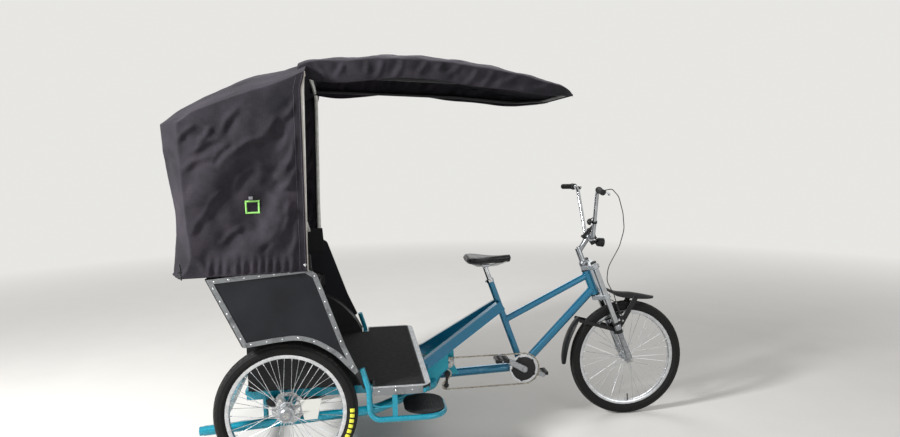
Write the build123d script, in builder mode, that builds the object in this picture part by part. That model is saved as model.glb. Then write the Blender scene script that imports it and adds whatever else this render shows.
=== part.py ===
from build123d import *
import os
from math import acos, atan2, cos, hypot, pi, radians, sin, sqrt, tan

os.makedirs("parts", exist_ok=True)

# Cycle rickshaw, millimetres. X forward, Y to the rider's left, Z up.
# Lengths along the vehicle are given forward of the rear axle and heights above the ground.

# Wheels
WHEELBASE = 1915
REAR_TRACK = 1096
TYRE_OD = 679
TYRE_W = 62
RIM_OD = 571
RIM_W = 32
RIM_DEPTH = 22
RIM_WALL = 3
SPOKE_D = 3
FRONT_SPOKES = 36
REAR_SPOKES = 48
SPOKE_CROSS = 3
FRONT_FLANGE_D = 52
REAR_FLANGE_D = 78
FLANGE_T = 4
FRONT_HUB_W = 100
REAR_HUB_W = 94
FRONT_BARREL_D = 30
REAR_BARREL_D = 54
FRONT_AXLE_D = 12
HALF_SHAFT_D = 25
FIT_GAP = 0.3

# Steering geometry
HEAD_ANGLE = 69
FORK_OFFSET = 38
LEG_SPACING = 136
STANCHION_D = 34
LOWER_LEG_D = 46
LOWER_LEG_TOP = 235
CROWN_T = 28
CROWN_GAP = 6
LOWER_CROWN_S = 397
HEAD_TUBE_L = 150
HEAD_TUBE_D = 50
STEERER_D = 30
STEM_RISE = 110

# Front frame
BB_X = 1284
BB_Z = 321
BB_W = 73
BB_SHELL_D = 46
SEAT_ANGLE = 70.5
SEAT_TUBE_D = 38
SEAT_TUBE_L = 535
TOP_TUBE_D = 38
TOP_TUBE_DROP = 285
DOWN_TUBE_D = 48
DRIVE_TUBE_D = 50
DRIVE_REAR_X = 770
DRIVE_RISE = 14
SADDLE_TOP_Z = 985
SEAT_POST_D = 30

# Rear carriage frame
BEAM_W = 36
BEAM_H = 56
BEAM_REAR_Y = 140
BEAM_FRONT_Y = 37
BEAM_BEND_X = 700
BEAM_BEND_Z = 404
RAIL_H = 40
RAIL_TOP_Z = 413
CROSS_H = 20
CROSS_W = 30
LOWER_TUBE_D = 48
LOWER_TUBE_IN = 98
SIDE_RAIL_IN = 30
SIDE_RAIL_W = 40
REAR_STUB_X = -405
REAR_STUB_Z = 238
SPIGOT_D = 44
SPIGOT_L = 20
LOWER_BEND_X = 420
LOWER_FRONT_Z = 288

# Drive
JACK_X = 851
JACK_Z = 378
CHAIN_PITCH = 12.7
RING_TEETH = 44
COG_TEETH = 15
JACK_REAR_TEETH = 13
AXLE_TEETH = 28
CHAIN_H = 9
CHAIN_W = 7
FRONT_CHAIN_Y = -52
REAR_CHAIN_Y = 40
CRANK_L = 170
CRANK_ANGLE = 150
PEDAL_W = 95
PEDAL_L = 80
PEDAL_T = 22
PULLEY_R = 22

# Body
WHEEL_BAY_OUT = 64
WHEEL_BAY_IN = 58
PANEL_T = 12
WELL_T = 8
FLOOR_INSET = 14
FLOOR_T = 12
FLOOR_FRONT_X = 690
SEAT_BOARD_Z = 730
BACK_X = -174
BACK_KNEE_Z = 681
BACK_TOP_X = -327
BACK_TOP_Z = 1006
STEP_TUBE_D = 28
STEP_Z = 290
STEP_LOOP_W = 278
STEP_FRONT_X = 765
STEP_REAR_X = 396

# Hood and awning
HOOD_OVERHANG = 8
HOOD_T = 4
HOOD_FRONT_X = 145
HOOD_BACK_X = -545
HOOD_HEM_Z = 1020
BOW_D = 22
AWNING_T = 4

FLOOR_Z = RAIL_TOP_Z + CROSS_H + FLOOR_T
TYRE_R = TYRE_OD / 2
RIM_R = RIM_OD / 2
REAR_AXLE_X = -(WHEELBASE + TYRE_R + HOOD_BACK_X) / 2
TRACK_HALF = REAR_TRACK / 2
BODY_HALF_W = TRACK_HALF + WHEEL_BAY_OUT
WELL_INNER_Y = TRACK_HALF - WHEEL_BAY_IN
LOWER_TUBE_Y = TRACK_HALF - LOWER_TUBE_IN
SIDE_RAIL_Y = LOWER_TUBE_Y - SIDE_RAIL_IN
FLOOR_HALF_W = BODY_HALF_W - FLOOR_INSET
STEP_OUT_Y = FLOOR_HALF_W
STEP_IN_Y = STEP_OUT_Y - STEP_LOOP_W
HOOD_HALF_W = BODY_HALF_W + HOOD_OVERHANG
SIDES = {"right": -1, "left": 1}


def at(x, y, z):
    """A point x forward of the rear axle, y to the left, z above the ground."""
    return Vector(REAR_AXLE_X + x, y, z)


def side_plane(y):
    """Upright lengthwise plane: local x runs forward, local y up, its normal points right."""
    return Plane(origin=at(0, y, 0), x_dir=(1, 0, 0), z_dir=(0, -1, 0))


def cross_plane(x):
    """Upright crosswise plane: local x runs to the left, local y up, its normal points forward."""
    return Plane(origin=at(x, 0, 0), x_dir=(0, 1, 0), z_dir=(1, 0, 0))


def level_plane(z):
    return Plane(origin=at(0, 0, z), x_dir=(1, 0, 0), z_dir=(0, 0, 1))


STEER_UP = Vector(-cos(radians(HEAD_ANGLE)), 0, sin(radians(HEAD_ANGLE)))
STEER_AHEAD = Vector(sin(radians(HEAD_ANGLE)), 0, cos(radians(HEAD_ANGLE)))
FRONT_HUB = at(WHEELBASE, 0, TYRE_R)
STEER_ORIGIN = FRONT_HUB - STEER_AHEAD * FORK_OFFSET


def fork_at(up, ahead=0, left=0):
    """A point up the steering axis from wheel height, ahead of it and to the left."""
    return STEER_ORIGIN + STEER_UP * up + STEER_AHEAD * ahead + Vector(0, left, 0)


def fork_plane(up):
    """Plane square to the steering axis: local x points ahead, local y left."""
    return Plane(origin=fork_at(up), x_dir=STEER_AHEAD, z_dir=STEER_UP)


def rod(start, end, diameter, mode=Mode.ADD):
    """Round bar or tube from one point to another."""
    reach = Vector(end) - Vector(start)
    with BuildSketch(Plane(origin=start, z_dir=reach)) as section:
        Circle(diameter / 2)
    extrude(section.sketch, amount=reach.length, mode=mode)


def bent_tube(points, diameter, radii):
    """Round tube along straight runs joined by arcs."""
    with BuildLine() as route:
        FilletPolyline(*points, radius=radii)
    path = route.wire()
    with BuildSketch(Plane(origin=path @ 0, z_dir=path % 0)) as section:
        Circle(diameter / 2)
    sweep(section.sketch, path=path)


def bar(start, end, width, height):
    """Rectangular tube between two points, its width level."""
    reach = Vector(end) - Vector(start)
    level = Vector(0, 0, 1).cross(reach)
    if level.length < 1e-6:
        level = Vector(0, 1, 0)
    with BuildSketch(Plane(origin=start, x_dir=level, z_dir=reach)) as section:
        Rectangle(width, height)
    extrude(section.sketch, amount=reach.length)


def save(builder, label):
    builder.part.label = label
    export_step(builder.part, "parts/" + label + ".step")


def pitch_radius(teeth):
    return CHAIN_PITCH / (2 * sin(pi / teeth))


# Wheels: a tyre, a rim laced to its hub, and the axle or half shaft

FLANGE_TOP = RIM_R + FIT_GAP
TYRE_CENTRE_R = TYRE_R - TYRE_W / 2
TYRE_SHELF = sqrt((TYRE_W / 2) ** 2 - (TYRE_CENTRE_R - FLANGE_TOP) ** 2)
BEAD_HALF = RIM_W / 2 - RIM_WALL - FIT_GAP
RIM_SEAT_R = RIM_R - 6


def make_tyre(label, centre):
    radial = Plane(origin=centre, x_dir=(0, 1, 0), z_dir=(1, 0, 0))
    with BuildPart() as tyre:
        with BuildSketch(radial):
            with BuildLine():
                Polyline(
                    (-TYRE_SHELF, FLANGE_TOP),
                    (-BEAD_HALF, FLANGE_TOP),
                    (-BEAD_HALF, RIM_SEAT_R + FIT_GAP),
                    (BEAD_HALF, RIM_SEAT_R + FIT_GAP),
                    (BEAD_HALF, FLANGE_TOP),
                    (TYRE_SHELF, FLANGE_TOP),
                )
                ThreePointArc((TYRE_SHELF, FLANGE_TOP), (0, TYRE_R), (-TYRE_SHELF, FLANGE_TOP))
            make_face()
        revolve(axis=Axis(centre, (0, 1, 0)))
    save(tyre, label)


def make_laced_rim(label, centre, spokes, flange_d, hub_w, barrel_d, bore_d):
    """Rim, spokes and hub shell in one piece."""
    radial = Plane(origin=centre, x_dir=(0, 1, 0), z_dir=(1, 0, 0))
    flange_y = hub_w / 2 - 14
    hole_r = flange_d / 2 - 4
    rim_in = RIM_R - RIM_DEPTH
    spoke_solids = []
    for number in range(spokes):
        side = 1 if number % 2 else -1
        lean = 1 if number % 4 < 2 else -1
        rim_angle = 2 * pi * number / spokes
        hub_angle = rim_angle + lean * SPOKE_CROSS * 2 * pi / spokes
        start = centre + Vector(
            hole_r * cos(hub_angle), side * (flange_y + FLANGE_T / 2), hole_r * sin(hub_angle)
        )
        end = centre + Vector((rim_in + 2) * cos(rim_angle), 0, (rim_in + 2) * sin(rim_angle))
        with BuildPart() as spoke:
            with BuildSketch(Plane(origin=start, z_dir=end - start)):
                RegularPolygon(radius=SPOKE_D / 2, side_count=4)
            extrude(amount=(end - start).length)
        spoke_solids.append(spoke.part)
    with BuildPart() as laced:
        with BuildSketch(radial):
            with BuildLine():
                Polyline(
                    (-RIM_W / 2, RIM_R),
                    (-RIM_W / 2, rim_in + 8),
                    (-RIM_W / 4, rim_in),
                    (RIM_W / 4, rim_in),
                    (RIM_W / 2, rim_in + 8),
                    (RIM_W / 2, RIM_R),
                    (RIM_W / 2 - RIM_WALL, RIM_R),
                    (RIM_W / 2 - RIM_WALL, RIM_SEAT_R),
                    (-RIM_W / 2 + RIM_WALL, RIM_SEAT_R),
                    (-RIM_W / 2 + RIM_WALL, RIM_R),
                    close=True,
                )
            make_face()
            with BuildLine():
                Polyline(
                    (-hub_w / 2, bore_d / 2),
                    (-hub_w / 2, barrel_d / 2),
                    (-flange_y - FLANGE_T, barrel_d / 2),
                    (-flange_y - FLANGE_T, flange_d / 2),
                    (-flange_y, flange_d / 2),
                    (-flange_y, barrel_d / 2),
                    (flange_y, barrel_d / 2),
                    (flange_y, flange_d / 2),
                    (flange_y + FLANGE_T, flange_d / 2),
                    (flange_y + FLANGE_T, barrel_d / 2),
                    (hub_w / 2, barrel_d / 2),
                    (hub_w / 2, bore_d / 2),
                    close=True,
                )
            make_face()
        revolve(axis=Axis(centre, (0, 1, 0)))
        add(spoke_solids)
    save(laced, label)


make_tyre("front_tyre", FRONT_HUB)
make_laced_rim(
    "front_laced_rim", FRONT_HUB, FRONT_SPOKES, FRONT_FLANGE_D, FRONT_HUB_W,
    FRONT_BARREL_D, FRONT_AXLE_D + 2 * FIT_GAP,
)

DISC_IN = 62
DISC_Y = TRACK_HALF - DISC_IN
DISC_D = 160
DISC_T = 2
DIFF_HALF_W = 55
SHAFT_END_Y = DIFF_HALF_W + 1
for name, side in SIDES.items():
    hub = at(0, side * TRACK_HALF, TYRE_R)
    make_tyre("rear_tyre_" + name, hub)
    make_laced_rim(
        "rear_laced_rim_" + name, hub, REAR_SPOKES, REAR_FLANGE_D, REAR_HUB_W,
        REAR_BARREL_D, HALF_SHAFT_D,
    )
    outer_y = TRACK_HALF + REAR_HUB_W / 2
    with BuildPart() as shaft:
        rod(at(0, side * SHAFT_END_Y, TYRE_R), at(0, side * outer_y, TYRE_R), HALF_SHAFT_D)
        rod(
            at(0, side * outer_y, TYRE_R), at(0, side * (outer_y + 5), TYRE_R),
            REAR_BARREL_D - 8,
        )
        rod(
            at(0, side * (DISC_Y - 6), TYRE_R),
            at(0, side * (TRACK_HALF - REAR_HUB_W / 2), TYRE_R),
            HALF_SHAFT_D + 20,
        )
        with BuildSketch(side_plane(side * DISC_Y)):
            with Locations((0, TYRE_R)):
                Circle(DISC_D / 2)
                with PolarLocations(DISC_D / 2 - 28, 6):
                    Circle(11, mode=Mode.SUBTRACT)
        extrude(amount=DISC_T / 2, both=True)
    save(shaft, "half_shaft_" + name)

# Fork: two crowns on a steerer, chrome stanchions in silver lower legs

LEG_Y = LEG_SPACING / 2
UPPER_CROWN_S = LOWER_CROWN_S + CROWN_T + HEAD_TUBE_L + 2 * CROWN_GAP
CROWN_TOP_S = UPPER_CROWN_S + CROWN_T
STEERER_TOP_S = CROWN_TOP_S + 4


def crown_outline(mode=Mode.ADD):
    """Crown plan: a bar across the legs that bows back to the steerer."""
    bosses = [
        # ahead, left, radius
        (0, 0, HEAD_TUBE_D / 2),
        (FORK_OFFSET, LEG_Y, STANCHION_D / 2 + 8),
        (FORK_OFFSET, -LEG_Y, STANCHION_D / 2 + 8),
    ]
    for ahead, left, radius in bosses:
        with Locations((ahead, left)):
            Circle(radius, mode=mode)
    make_hull(mode=mode)


with BuildPart() as fork_crowns:
    for base in (LOWER_CROWN_S, UPPER_CROWN_S):
        with BuildSketch(fork_plane(base)):
            crown_outline()
            with Locations((FORK_OFFSET, LEG_Y), (FORK_OFFSET, -LEG_Y)):
                Circle(STANCHION_D / 2, mode=Mode.SUBTRACT)
        extrude(amount=CROWN_T)
    rod(fork_at(LOWER_CROWN_S), fork_at(CROWN_TOP_S), STEERER_D)
save(fork_crowns, "fork_crowns")

with BuildPart() as stanchions:
    for left in (-LEG_Y, LEG_Y):
        rod(
            fork_at(LOWER_LEG_TOP, FORK_OFFSET, left),
            fork_at(CROWN_TOP_S + 8, FORK_OFFSET, left),
            STANCHION_D,
        )
save(stanchions, "fork_stanchions")

LEG_BASE_S = 18
with BuildPart() as lower_legs:
    for left in (-LEG_Y, LEG_Y):
        rod(fork_at(LEG_BASE_S, FORK_OFFSET, left), fork_at(LOWER_LEG_TOP, FORK_OFFSET, left), LOWER_LEG_D)
        rod(
            fork_at(LOWER_LEG_TOP - 12, FORK_OFFSET, left),
            fork_at(LOWER_LEG_TOP, FORK_OFFSET, left),
            LOWER_LEG_D + 6,
        )
    for side in SIDES.values():
        inner = side * (FRONT_HUB_W / 2 + FIT_GAP)
        rod(
            FRONT_HUB + Vector(0, inner, 0),
            FRONT_HUB + Vector(0, side * (LEG_Y + 5), 0),
            44,
        )
    rod(
        FRONT_HUB + Vector(0, -LEG_Y - LOWER_LEG_D / 2 - 4, 0),
        FRONT_HUB + Vector(0, LEG_Y + LOWER_LEG_D / 2 + 4, 0),
        FRONT_AXLE_D,
    )
save(lower_legs, "fork_lower_legs")

# Stem, handlebar and controls

CLAMP_UP = CROWN_TOP_S + STEM_RISE + 30
CLAMP_AHEAD = 88
BAR_D = 22.2
CLAMP_D = 46
CLAMP_W = 60
BAR_RISE = 285
BAR_HALF_W = 350
CLAMP = fork_at(CLAMP_UP, CLAMP_AHEAD)

with BuildPart() as handlebar:
    bent_tube(
        [
            CLAMP + Vector(-48, -BAR_HALF_W, BAR_RISE - 8),
            CLAMP + Vector(-14, -BAR_HALF_W + 175, BAR_RISE),
            CLAMP + Vector(0, -CLAMP_W / 2 - 34, 0),
            CLAMP + Vector(0, CLAMP_W / 2 + 34, 0),
            CLAMP + Vector(-14, BAR_HALF_W - 175, BAR_RISE),
            CLAMP + Vector(-48, BAR_HALF_W, BAR_RISE - 8),
        ],
        BAR_D,
        [55, 32, 32, 55],
    )
save(handlebar, "handlebar")

with BuildPart() as stem:
    rod(fork_at(CROWN_TOP_S + FIT_GAP), fork_at(CROWN_TOP_S + STEM_RISE), 34)
    rod(fork_at(CROWN_TOP_S + FIT_GAP), fork_at(CROWN_TOP_S + 22), 50)
    bar(fork_at(CROWN_TOP_S + STEM_RISE - 20), CLAMP, 34, 38)
    rod(CLAMP + Vector(0, -CLAMP_W / 2, 0), CLAMP + Vector(0, CLAMP_W / 2, 0), CLAMP_D)
    add(handlebar.part, mode=Mode.SUBTRACT)
save(stem, "stem")

GRIP_D = 32
GRIP_L = 125
with BuildPart() as grips:
    for side in SIDES.values():
        outer = CLAMP + Vector(-48, side * BAR_HALF_W, BAR_RISE - 8)
        inner = CLAMP + Vector(-14, side * (BAR_HALF_W - 175), BAR_RISE)
        along = (inner - outer).normalized()
        rod(outer - along * 4, outer + along * GRIP_L, GRIP_D)
    add(handlebar.part, mode=Mode.SUBTRACT)
save(grips, "grips")

LEVER_L = 95
with BuildPart() as brake_levers:
    for side in SIDES.values():
        outer = CLAMP + Vector(-48, side * BAR_HALF_W, BAR_RISE - 8)
        inner = CLAMP + Vector(-14, side * (BAR_HALF_W - 175), BAR_RISE)
        along = (inner - outer).normalized()
        perch = outer + along * (GRIP_L + 14)
        rod(perch - along * 9, perch + along * 9, 34)
        pivot = perch + Vector(36, 0, -10)
        rod(perch, pivot, 16)
        rod(pivot, pivot - along * LEVER_L + Vector(6, 0, -6), 12)
    add(handlebar.part, mode=Mode.SUBTRACT)
save(brake_levers, "brake_levers")

LAMP_D = 52
with BuildPart() as headlight:
    lamp = CLAMP + Vector(CLAMP_D / 2 + 16, 0, -30)
    rod(lamp, lamp + Vector(46, 0, -6), LAMP_D)
    rod(CLAMP + Vector(10, 0, -18), lamp + Vector(14, 0, 0), 18)
    add(stem.part, mode=Mode.SUBTRACT)
save(headlight, "headlight")

# Front fender on two stays from the lower legs, and the rim brake ahead of them

FENDER_R = 384
FENDER_T = 3
FENDER_HALF_W = 43
FENDER_BLADE = [
    # forward of the front axle, height
    (-125, 762), (-70, 738), (10, 730), (163, 699), (163, 695), (10, 725), (-70, 733), (-127, 757),
]
STAY_Y = 41
STAY_D = 8
with BuildPart() as front_fender:
    with BuildSketch(side_plane(0)):
        with BuildLine():
            Polyline(*[(WHEELBASE + x, z) for x, z in FENDER_BLADE], close=True)
        make_face()
    extrude(amount=FENDER_HALF_W, both=True)
    with BuildSketch(side_plane(0)):
        with BuildLine():
            CenterArc((WHEELBASE, TYRE_R), FENDER_R, 140, 42)
            CenterArc((WHEELBASE, TYRE_R), FENDER_R + FENDER_T, 140, 42)
            for angle in (140, 182):
                out = Vector(cos(radians(angle)), sin(radians(angle)))
                Line(
                    Vector(WHEELBASE, TYRE_R) + out * FENDER_R,
                    Vector(WHEELBASE, TYRE_R) + out * (FENDER_R + FENDER_T),
                )
        make_face()
    extrude(amount=FENDER_HALF_W, both=True)
    for side in SIDES.values():
        foot = fork_at(LOWER_LEG_TOP - 30, FORK_OFFSET, side * (STAY_Y + 2))
        rod(foot, at(WHEELBASE - 300, side * STAY_Y, 582), STAY_D)
        rod(foot, at(WHEELBASE + 75, side * STAY_Y, 712), STAY_D)
    add(lower_legs.part, mode=Mode.SUBTRACT)
save(front_fender, "front_fender")

BRAKE_Y = 56
with BuildPart() as rim_brake:
    for side in SIDES.values():
        post = fork_at(LOWER_LEG_TOP - 8, FORK_OFFSET + 20, side * (LEG_Y - 8))
        pivot = fork_at(LOWER_LEG_TOP - 2, FORK_OFFSET + 44, side * BRAKE_Y)
        rod(post, pivot, 12)
        bar(pivot - STEER_UP * 12, pivot + STEER_UP * 124, 10, 14)
        pad = fork_at(LOWER_LEG_TOP + 34, FORK_OFFSET + 44, side * (RIM_W / 2 + 2))
        rod(pad, pad + Vector(0, side * (BRAKE_Y - RIM_W / 2), 0), 11)
    add(lower_legs.part, mode=Mode.SUBTRACT)
save(rim_brake, "front_brake")

# Brake cable: from the right lever round the lamp and down to the rim brake's two arms

CABLE_D = 5
CABLE_ROUTE = [
    # forward of the front axle, left, height
    (-206, -196, 1342),
    (-150, -165, 1346),
    (-93, -118, 1300),
    (-56, -88, 1205),
    (-42, -74, 1110),
    (-66, -64, 1010),
    (-133, -61, 890),
    (-140, -61, 810),
    (-98, -64, 730),
    (-84, -66, 682),
    (-84, 66, 682),
]
CABLE_BENDS = [50, 70, 90, 120, 120, 150, 80, 80, 12]
with BuildPart() as brake_cable:
    bent_tube([at(WHEELBASE + x, y, z) for x, y, z in CABLE_ROUTE], CABLE_D, CABLE_BENDS)
    add(rim_brake.part, mode=Mode.SUBTRACT)
    add(brake_levers.part, mode=Mode.SUBTRACT)
save(brake_cable, "brake_cable")

# Front frame: head, top, down and seat tubes meeting the bottom bracket shell

BB = at(BB_X, 0, BB_Z)
SEAT_UP = Vector(-cos(radians(SEAT_ANGLE)), 0, sin(radians(SEAT_ANGLE)))
HEAD_BASE_S = LOWER_CROWN_S + CROWN_T + CROWN_GAP
HEAD_TOP_S = HEAD_BASE_S + HEAD_TUBE_L
SEAT_JOIN = BB + SEAT_UP * (SEAT_TUBE_L - TOP_TUBE_DROP + 45)

with BuildPart() as front_frame:
    rod(BB + Vector(0, -BB_W / 2, 0), BB + Vector(0, BB_W / 2, 0), BB_SHELL_D)
    rod(BB, BB + SEAT_UP * SEAT_TUBE_L, SEAT_TUBE_D)
    rod(BB, fork_at(HEAD_BASE_S + 34), DOWN_TUBE_D)
    rod(SEAT_JOIN, fork_at(HEAD_TOP_S - 30), TOP_TUBE_D)
    rod(fork_at(HEAD_BASE_S), fork_at(HEAD_TOP_S), HEAD_TUBE_D)
    rod(BB, at(DRIVE_REAR_X, 0, LOWER_FRONT_Z + DRIVE_RISE), DRIVE_TUBE_D)
    rod(fork_at(HEAD_BASE_S - 1), fork_at(HEAD_TOP_S + 1), STEERER_D + 2 * FIT_GAP, Mode.SUBTRACT)
    rod(
        BB + Vector(0, -BB_W / 2 - 1, 0), BB + Vector(0, BB_W / 2 + 1, 0),
        24 + 2 * FIT_GAP, Mode.SUBTRACT,
    )
    rod(
        BB + SEAT_UP * (SEAT_TUBE_L - 160), BB + SEAT_UP * (SEAT_TUBE_L + 1),
        SEAT_POST_D, Mode.SUBTRACT,
    )
save(front_frame, "front_frame")

SADDLE_L = 270
SADDLE_W = 210
POST_TOP = (SADDLE_TOP_Z - 75 - BB_Z) / SEAT_UP.Z
with BuildPart() as seat_post:
    rod(BB + SEAT_UP * (SEAT_TUBE_L - 158), BB + SEAT_UP * POST_TOP, SEAT_POST_D)
    rod(BB + SEAT_UP * (SEAT_TUBE_L + FIT_GAP), BB + SEAT_UP * (SEAT_TUBE_L + 18), SEAT_TUBE_D + 8)
save(seat_post, "seat_post")

SADDLE = BB + SEAT_UP * POST_TOP
with BuildPart() as saddle:
    with BuildSketch(Plane(origin=SADDLE + Vector(0, 0, 20))):
        with BuildLine():
            Polyline((SADDLE_L * 0.55, 16), (0, 34), (-SADDLE_L * 0.25, SADDLE_W / 2))
            Polyline(
                (-SADDLE_L * 0.25, SADDLE_W / 2), (-SADDLE_L * 0.42, SADDLE_W / 2 - 12),
                (-SADDLE_L * 0.42, 0), (SADDLE_L * 0.55, 0), (SADDLE_L * 0.55, 16),
            )
        make_face()
        mirror(about=Plane.XZ)
    extrude(amount=55)
    rod(SADDLE + Vector(0, 0, FIT_GAP), SADDLE + Vector(0, 0, 22), 34)
    add(seat_post.part, mode=Mode.SUBTRACT)
save(saddle, "saddle")

# Rear beams: two rectangular tubes that part from the seat tube and run back under the floor

BEAM_FRONT = 1160
BEAM_FRONT_Z = 696
RAIL_Z = RAIL_TOP_Z - RAIL_H / 2
RAIL_REAR_X = -200
with BuildPart() as rear_beams:
    for side in SIDES.values():
        knee = at(BEAM_BEND_X, side * BEAM_REAR_Y, BEAM_BEND_Z)
        bar(knee, at(BEAM_FRONT, side * BEAM_FRONT_Y, BEAM_FRONT_Z), BEAM_W, BEAM_H)
        bar(
            at(RAIL_REAR_X, side * BEAM_REAR_Y, RAIL_Z),
            at(BEAM_BEND_X + 20, side * BEAM_REAR_Y, RAIL_Z),
            BEAM_W, RAIL_H,
        )
    add(front_frame.part, mode=Mode.SUBTRACT)
save(rear_beams, "rear_beams")

# Carriage frame: side rails, cross bars and the low side tubes with their posts

CROSS_Z = RAIL_TOP_Z + CROSS_H / 2
BOARD_SEAM_X = 140
CROSS_BARS = [
    # x, half length
    (-185, SIDE_RAIL_Y + 55),
    (BOARD_SEAM_X, SIDE_RAIL_Y + 20),
    (394, FLOOR_HALF_W - 2),
    (650, FLOOR_HALF_W - 2),
]
POST_XS = (-112, 300)
POST_Y = LOWER_TUBE_Y - 18
POST_D = 25
with BuildPart() as carriage_frame:
    for x, half in CROSS_BARS:
        bar(at(x, -half, CROSS_Z), at(x, half, CROSS_Z), CROSS_W, CROSS_H)
    for side in SIDES.values():
        bar(
            at(RAIL_REAR_X, side * SIDE_RAIL_Y, RAIL_Z),
            at(CROSS_BARS[-1][0] + CROSS_W / 2, side * SIDE_RAIL_Y, RAIL_Z),
            SIDE_RAIL_W, RAIL_H,
        )
        bent_tube(
            [
                at(REAR_STUB_X, side * LOWER_TUBE_Y, REAR_STUB_Z),
                at(LOWER_BEND_X, side * LOWER_TUBE_Y, LOWER_FRONT_Z),
                at(BEAM_BEND_X + 45, side * (BEAM_REAR_Y + 10), LOWER_FRONT_Z + 6),
                at(DRIVE_REAR_X + 15, side * 30, LOWER_FRONT_Z + DRIVE_RISE),
            ],
            LOWER_TUBE_D,
            [140, 60],
        )
        for x in POST_XS:
            rod(
                at(x, side * POST_Y, REAR_STUB_Z + 30), at(x, side * POST_Y, RAIL_Z),
                POST_D,
            )
    tube_run = at(LOWER_BEND_X, 0, LOWER_FRONT_Z) - at(REAR_STUB_X, 0, REAR_STUB_Z)
    tube_back = -tube_run.normalized()
    for side in SIDES.values():
        stub = at(REAR_STUB_X, side * LOWER_TUBE_Y, REAR_STUB_Z)
        rod(stub, stub + tube_back * SPIGOT_L, SPIGOT_D)
    rear_bar = REAR_STUB_X + 60
    bar(
        at(rear_bar, -LOWER_TUBE_Y, REAR_STUB_Z + 4), at(rear_bar, LOWER_TUBE_Y, REAR_STUB_Z + 4),
        30, 40,
    )
    add(front_frame.part, mode=Mode.SUBTRACT)
save(carriage_frame, "carriage_frame")

# Cranks, chainring and pedals

CRANK_UP = radians(CRANK_ANGLE)
RING_R = pitch_radius(RING_TEETH)
CRANK_Y = 72
CRANK_DIR = Vector(cos(CRANK_UP), 0, sin(CRANK_UP))
PEDAL_Y = CRANK_Y + 12
with BuildPart() as crankset:
    rod(BB + Vector(0, -CRANK_Y, 0), BB + Vector(0, CRANK_Y, 0), 24)
    with BuildSketch(side_plane(FRONT_CHAIN_Y)):
        with Locations((BB_X, BB_Z)):
            Circle(RING_R - CHAIN_H / 2 - 1)
            Circle(RING_R - 24, mode=Mode.SUBTRACT)
            for arm in range(5):
                with Locations(Rotation(0, 0, 72 * arm)):
                    with Locations((RING_R / 2, 0)):
                        Rectangle(RING_R - 20, 18)
            Circle(26)
    extrude(amount=2, both=True)
    for side in SIDES.values():
        arm_end = BB + CRANK_DIR * (-side * CRANK_L)
        with BuildSketch(side_plane(side * (CRANK_Y - 6))):
            with Locations((BB_X, BB_Z)):
                Circle(19)
            with Locations((arm_end.X - REAR_AXLE_X, arm_end.Z)):
                Circle(13)
            make_hull()
        extrude(amount=7, both=True)
        rod(
            arm_end + Vector(0, side * (CRANK_Y - 2), 0),
            arm_end + Vector(0, side * (PEDAL_Y + PEDAL_W), 0),
            10,
        )
save(crankset, "crankset")

for name, side in SIDES.items():
    pedal_centre = BB + CRANK_DIR * (-side * CRANK_L)
    with BuildPart() as pedal:
        with BuildSketch(Plane(origin=pedal_centre + Vector(0, side * (PEDAL_Y + PEDAL_W / 2), 0))):
            RectangleRounded(PEDAL_L, PEDAL_W, 14)
            with GridLocations(PEDAL_L / 2 + 8, 0, 2, 1):
                RectangleRounded(PEDAL_L / 2 - 18, PEDAL_W - 24, 6, mode=Mode.SUBTRACT)
        extrude(amount=PEDAL_T / 2, both=True)
        rod(
            pedal_centre + Vector(0, side * (PEDAL_Y - 1), 0),
            pedal_centre + Vector(0, side * (PEDAL_Y + PEDAL_W + 1), 0),
            10 + 2 * FIT_GAP,
            Mode.SUBTRACT,
        )
    save(pedal, "pedal_" + name)

# Jackshaft, derailleur, differential and the two chains

JACK = at(JACK_X, 0, JACK_Z)
COG_R = pitch_radius(COG_TEETH)
JACK_REAR_R = pitch_radius(JACK_REAR_TEETH)
AXLE_R = pitch_radius(AXLE_TEETH)
HALF_CHAIN = CHAIN_H / 2
UPPER_PULLEY = (JACK_X - 10, 318)
LOWER_PULLEY = (JACK_X - 18, 250)


def tangent_points(first, first_r, second, second_r):
    """Touch points of the tangent that runs clockwise off the first circle onto the second.

    A negative radius is a circle that the chain passes the other way round."""
    dx = second[0] - first[0]
    dz = second[1] - first[1]
    span = hypot(dx, dz)
    turn = atan2(dz, dx) + acos((first_r - second_r) / span)
    nx, nz = cos(turn), sin(turn)
    return (
        (first[0] + first_r * nx, first[1] + first_r * nz),
        (second[0] + second_r * nx, second[1] + second_r * nz),
    )


def chain_loop(wheels):
    """Closed path over wheels given clockwise as (x, z, radius)."""
    runs = []
    for index, (x, z, radius) in enumerate(wheels):
        nx, nz, next_r = wheels[(index + 1) % len(wheels)]
        runs.append(tangent_points((x, z), radius, (nx, nz), next_r))
    for index, (x, z, radius) in enumerate(wheels):
        leave = runs[index][0]
        arrive = runs[index - 1][1]
        start = atan2(arrive[1] - z, arrive[0] - x)
        end = atan2(leave[1] - z, leave[0] - x)
        swing = (start - end) % (2 * pi) if radius > 0 else -((end - start) % (2 * pi))
        middle = start - swing / 2
        ThreePointArc(
            arrive, (x + abs(radius) * cos(middle), z + abs(radius) * sin(middle)), leave
        )
        Line(*runs[index])


with BuildPart() as jackshaft:
    rod(JACK + Vector(0, FRONT_CHAIN_Y - 14, 0), JACK + Vector(0, REAR_CHAIN_Y + 14, 0), 17)
    for y, radius in (
        (FRONT_CHAIN_Y, COG_R), (FRONT_CHAIN_Y + 8, COG_R + 5), (FRONT_CHAIN_Y + 15, COG_R + 10),
        (REAR_CHAIN_Y, JACK_REAR_R),
    ):
        rod(JACK + Vector(0, y - 1, 0), JACK + Vector(0, y + 1, 0), 2 * (radius - HALF_CHAIN - 0.4))
save(jackshaft, "jackshaft")

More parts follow.
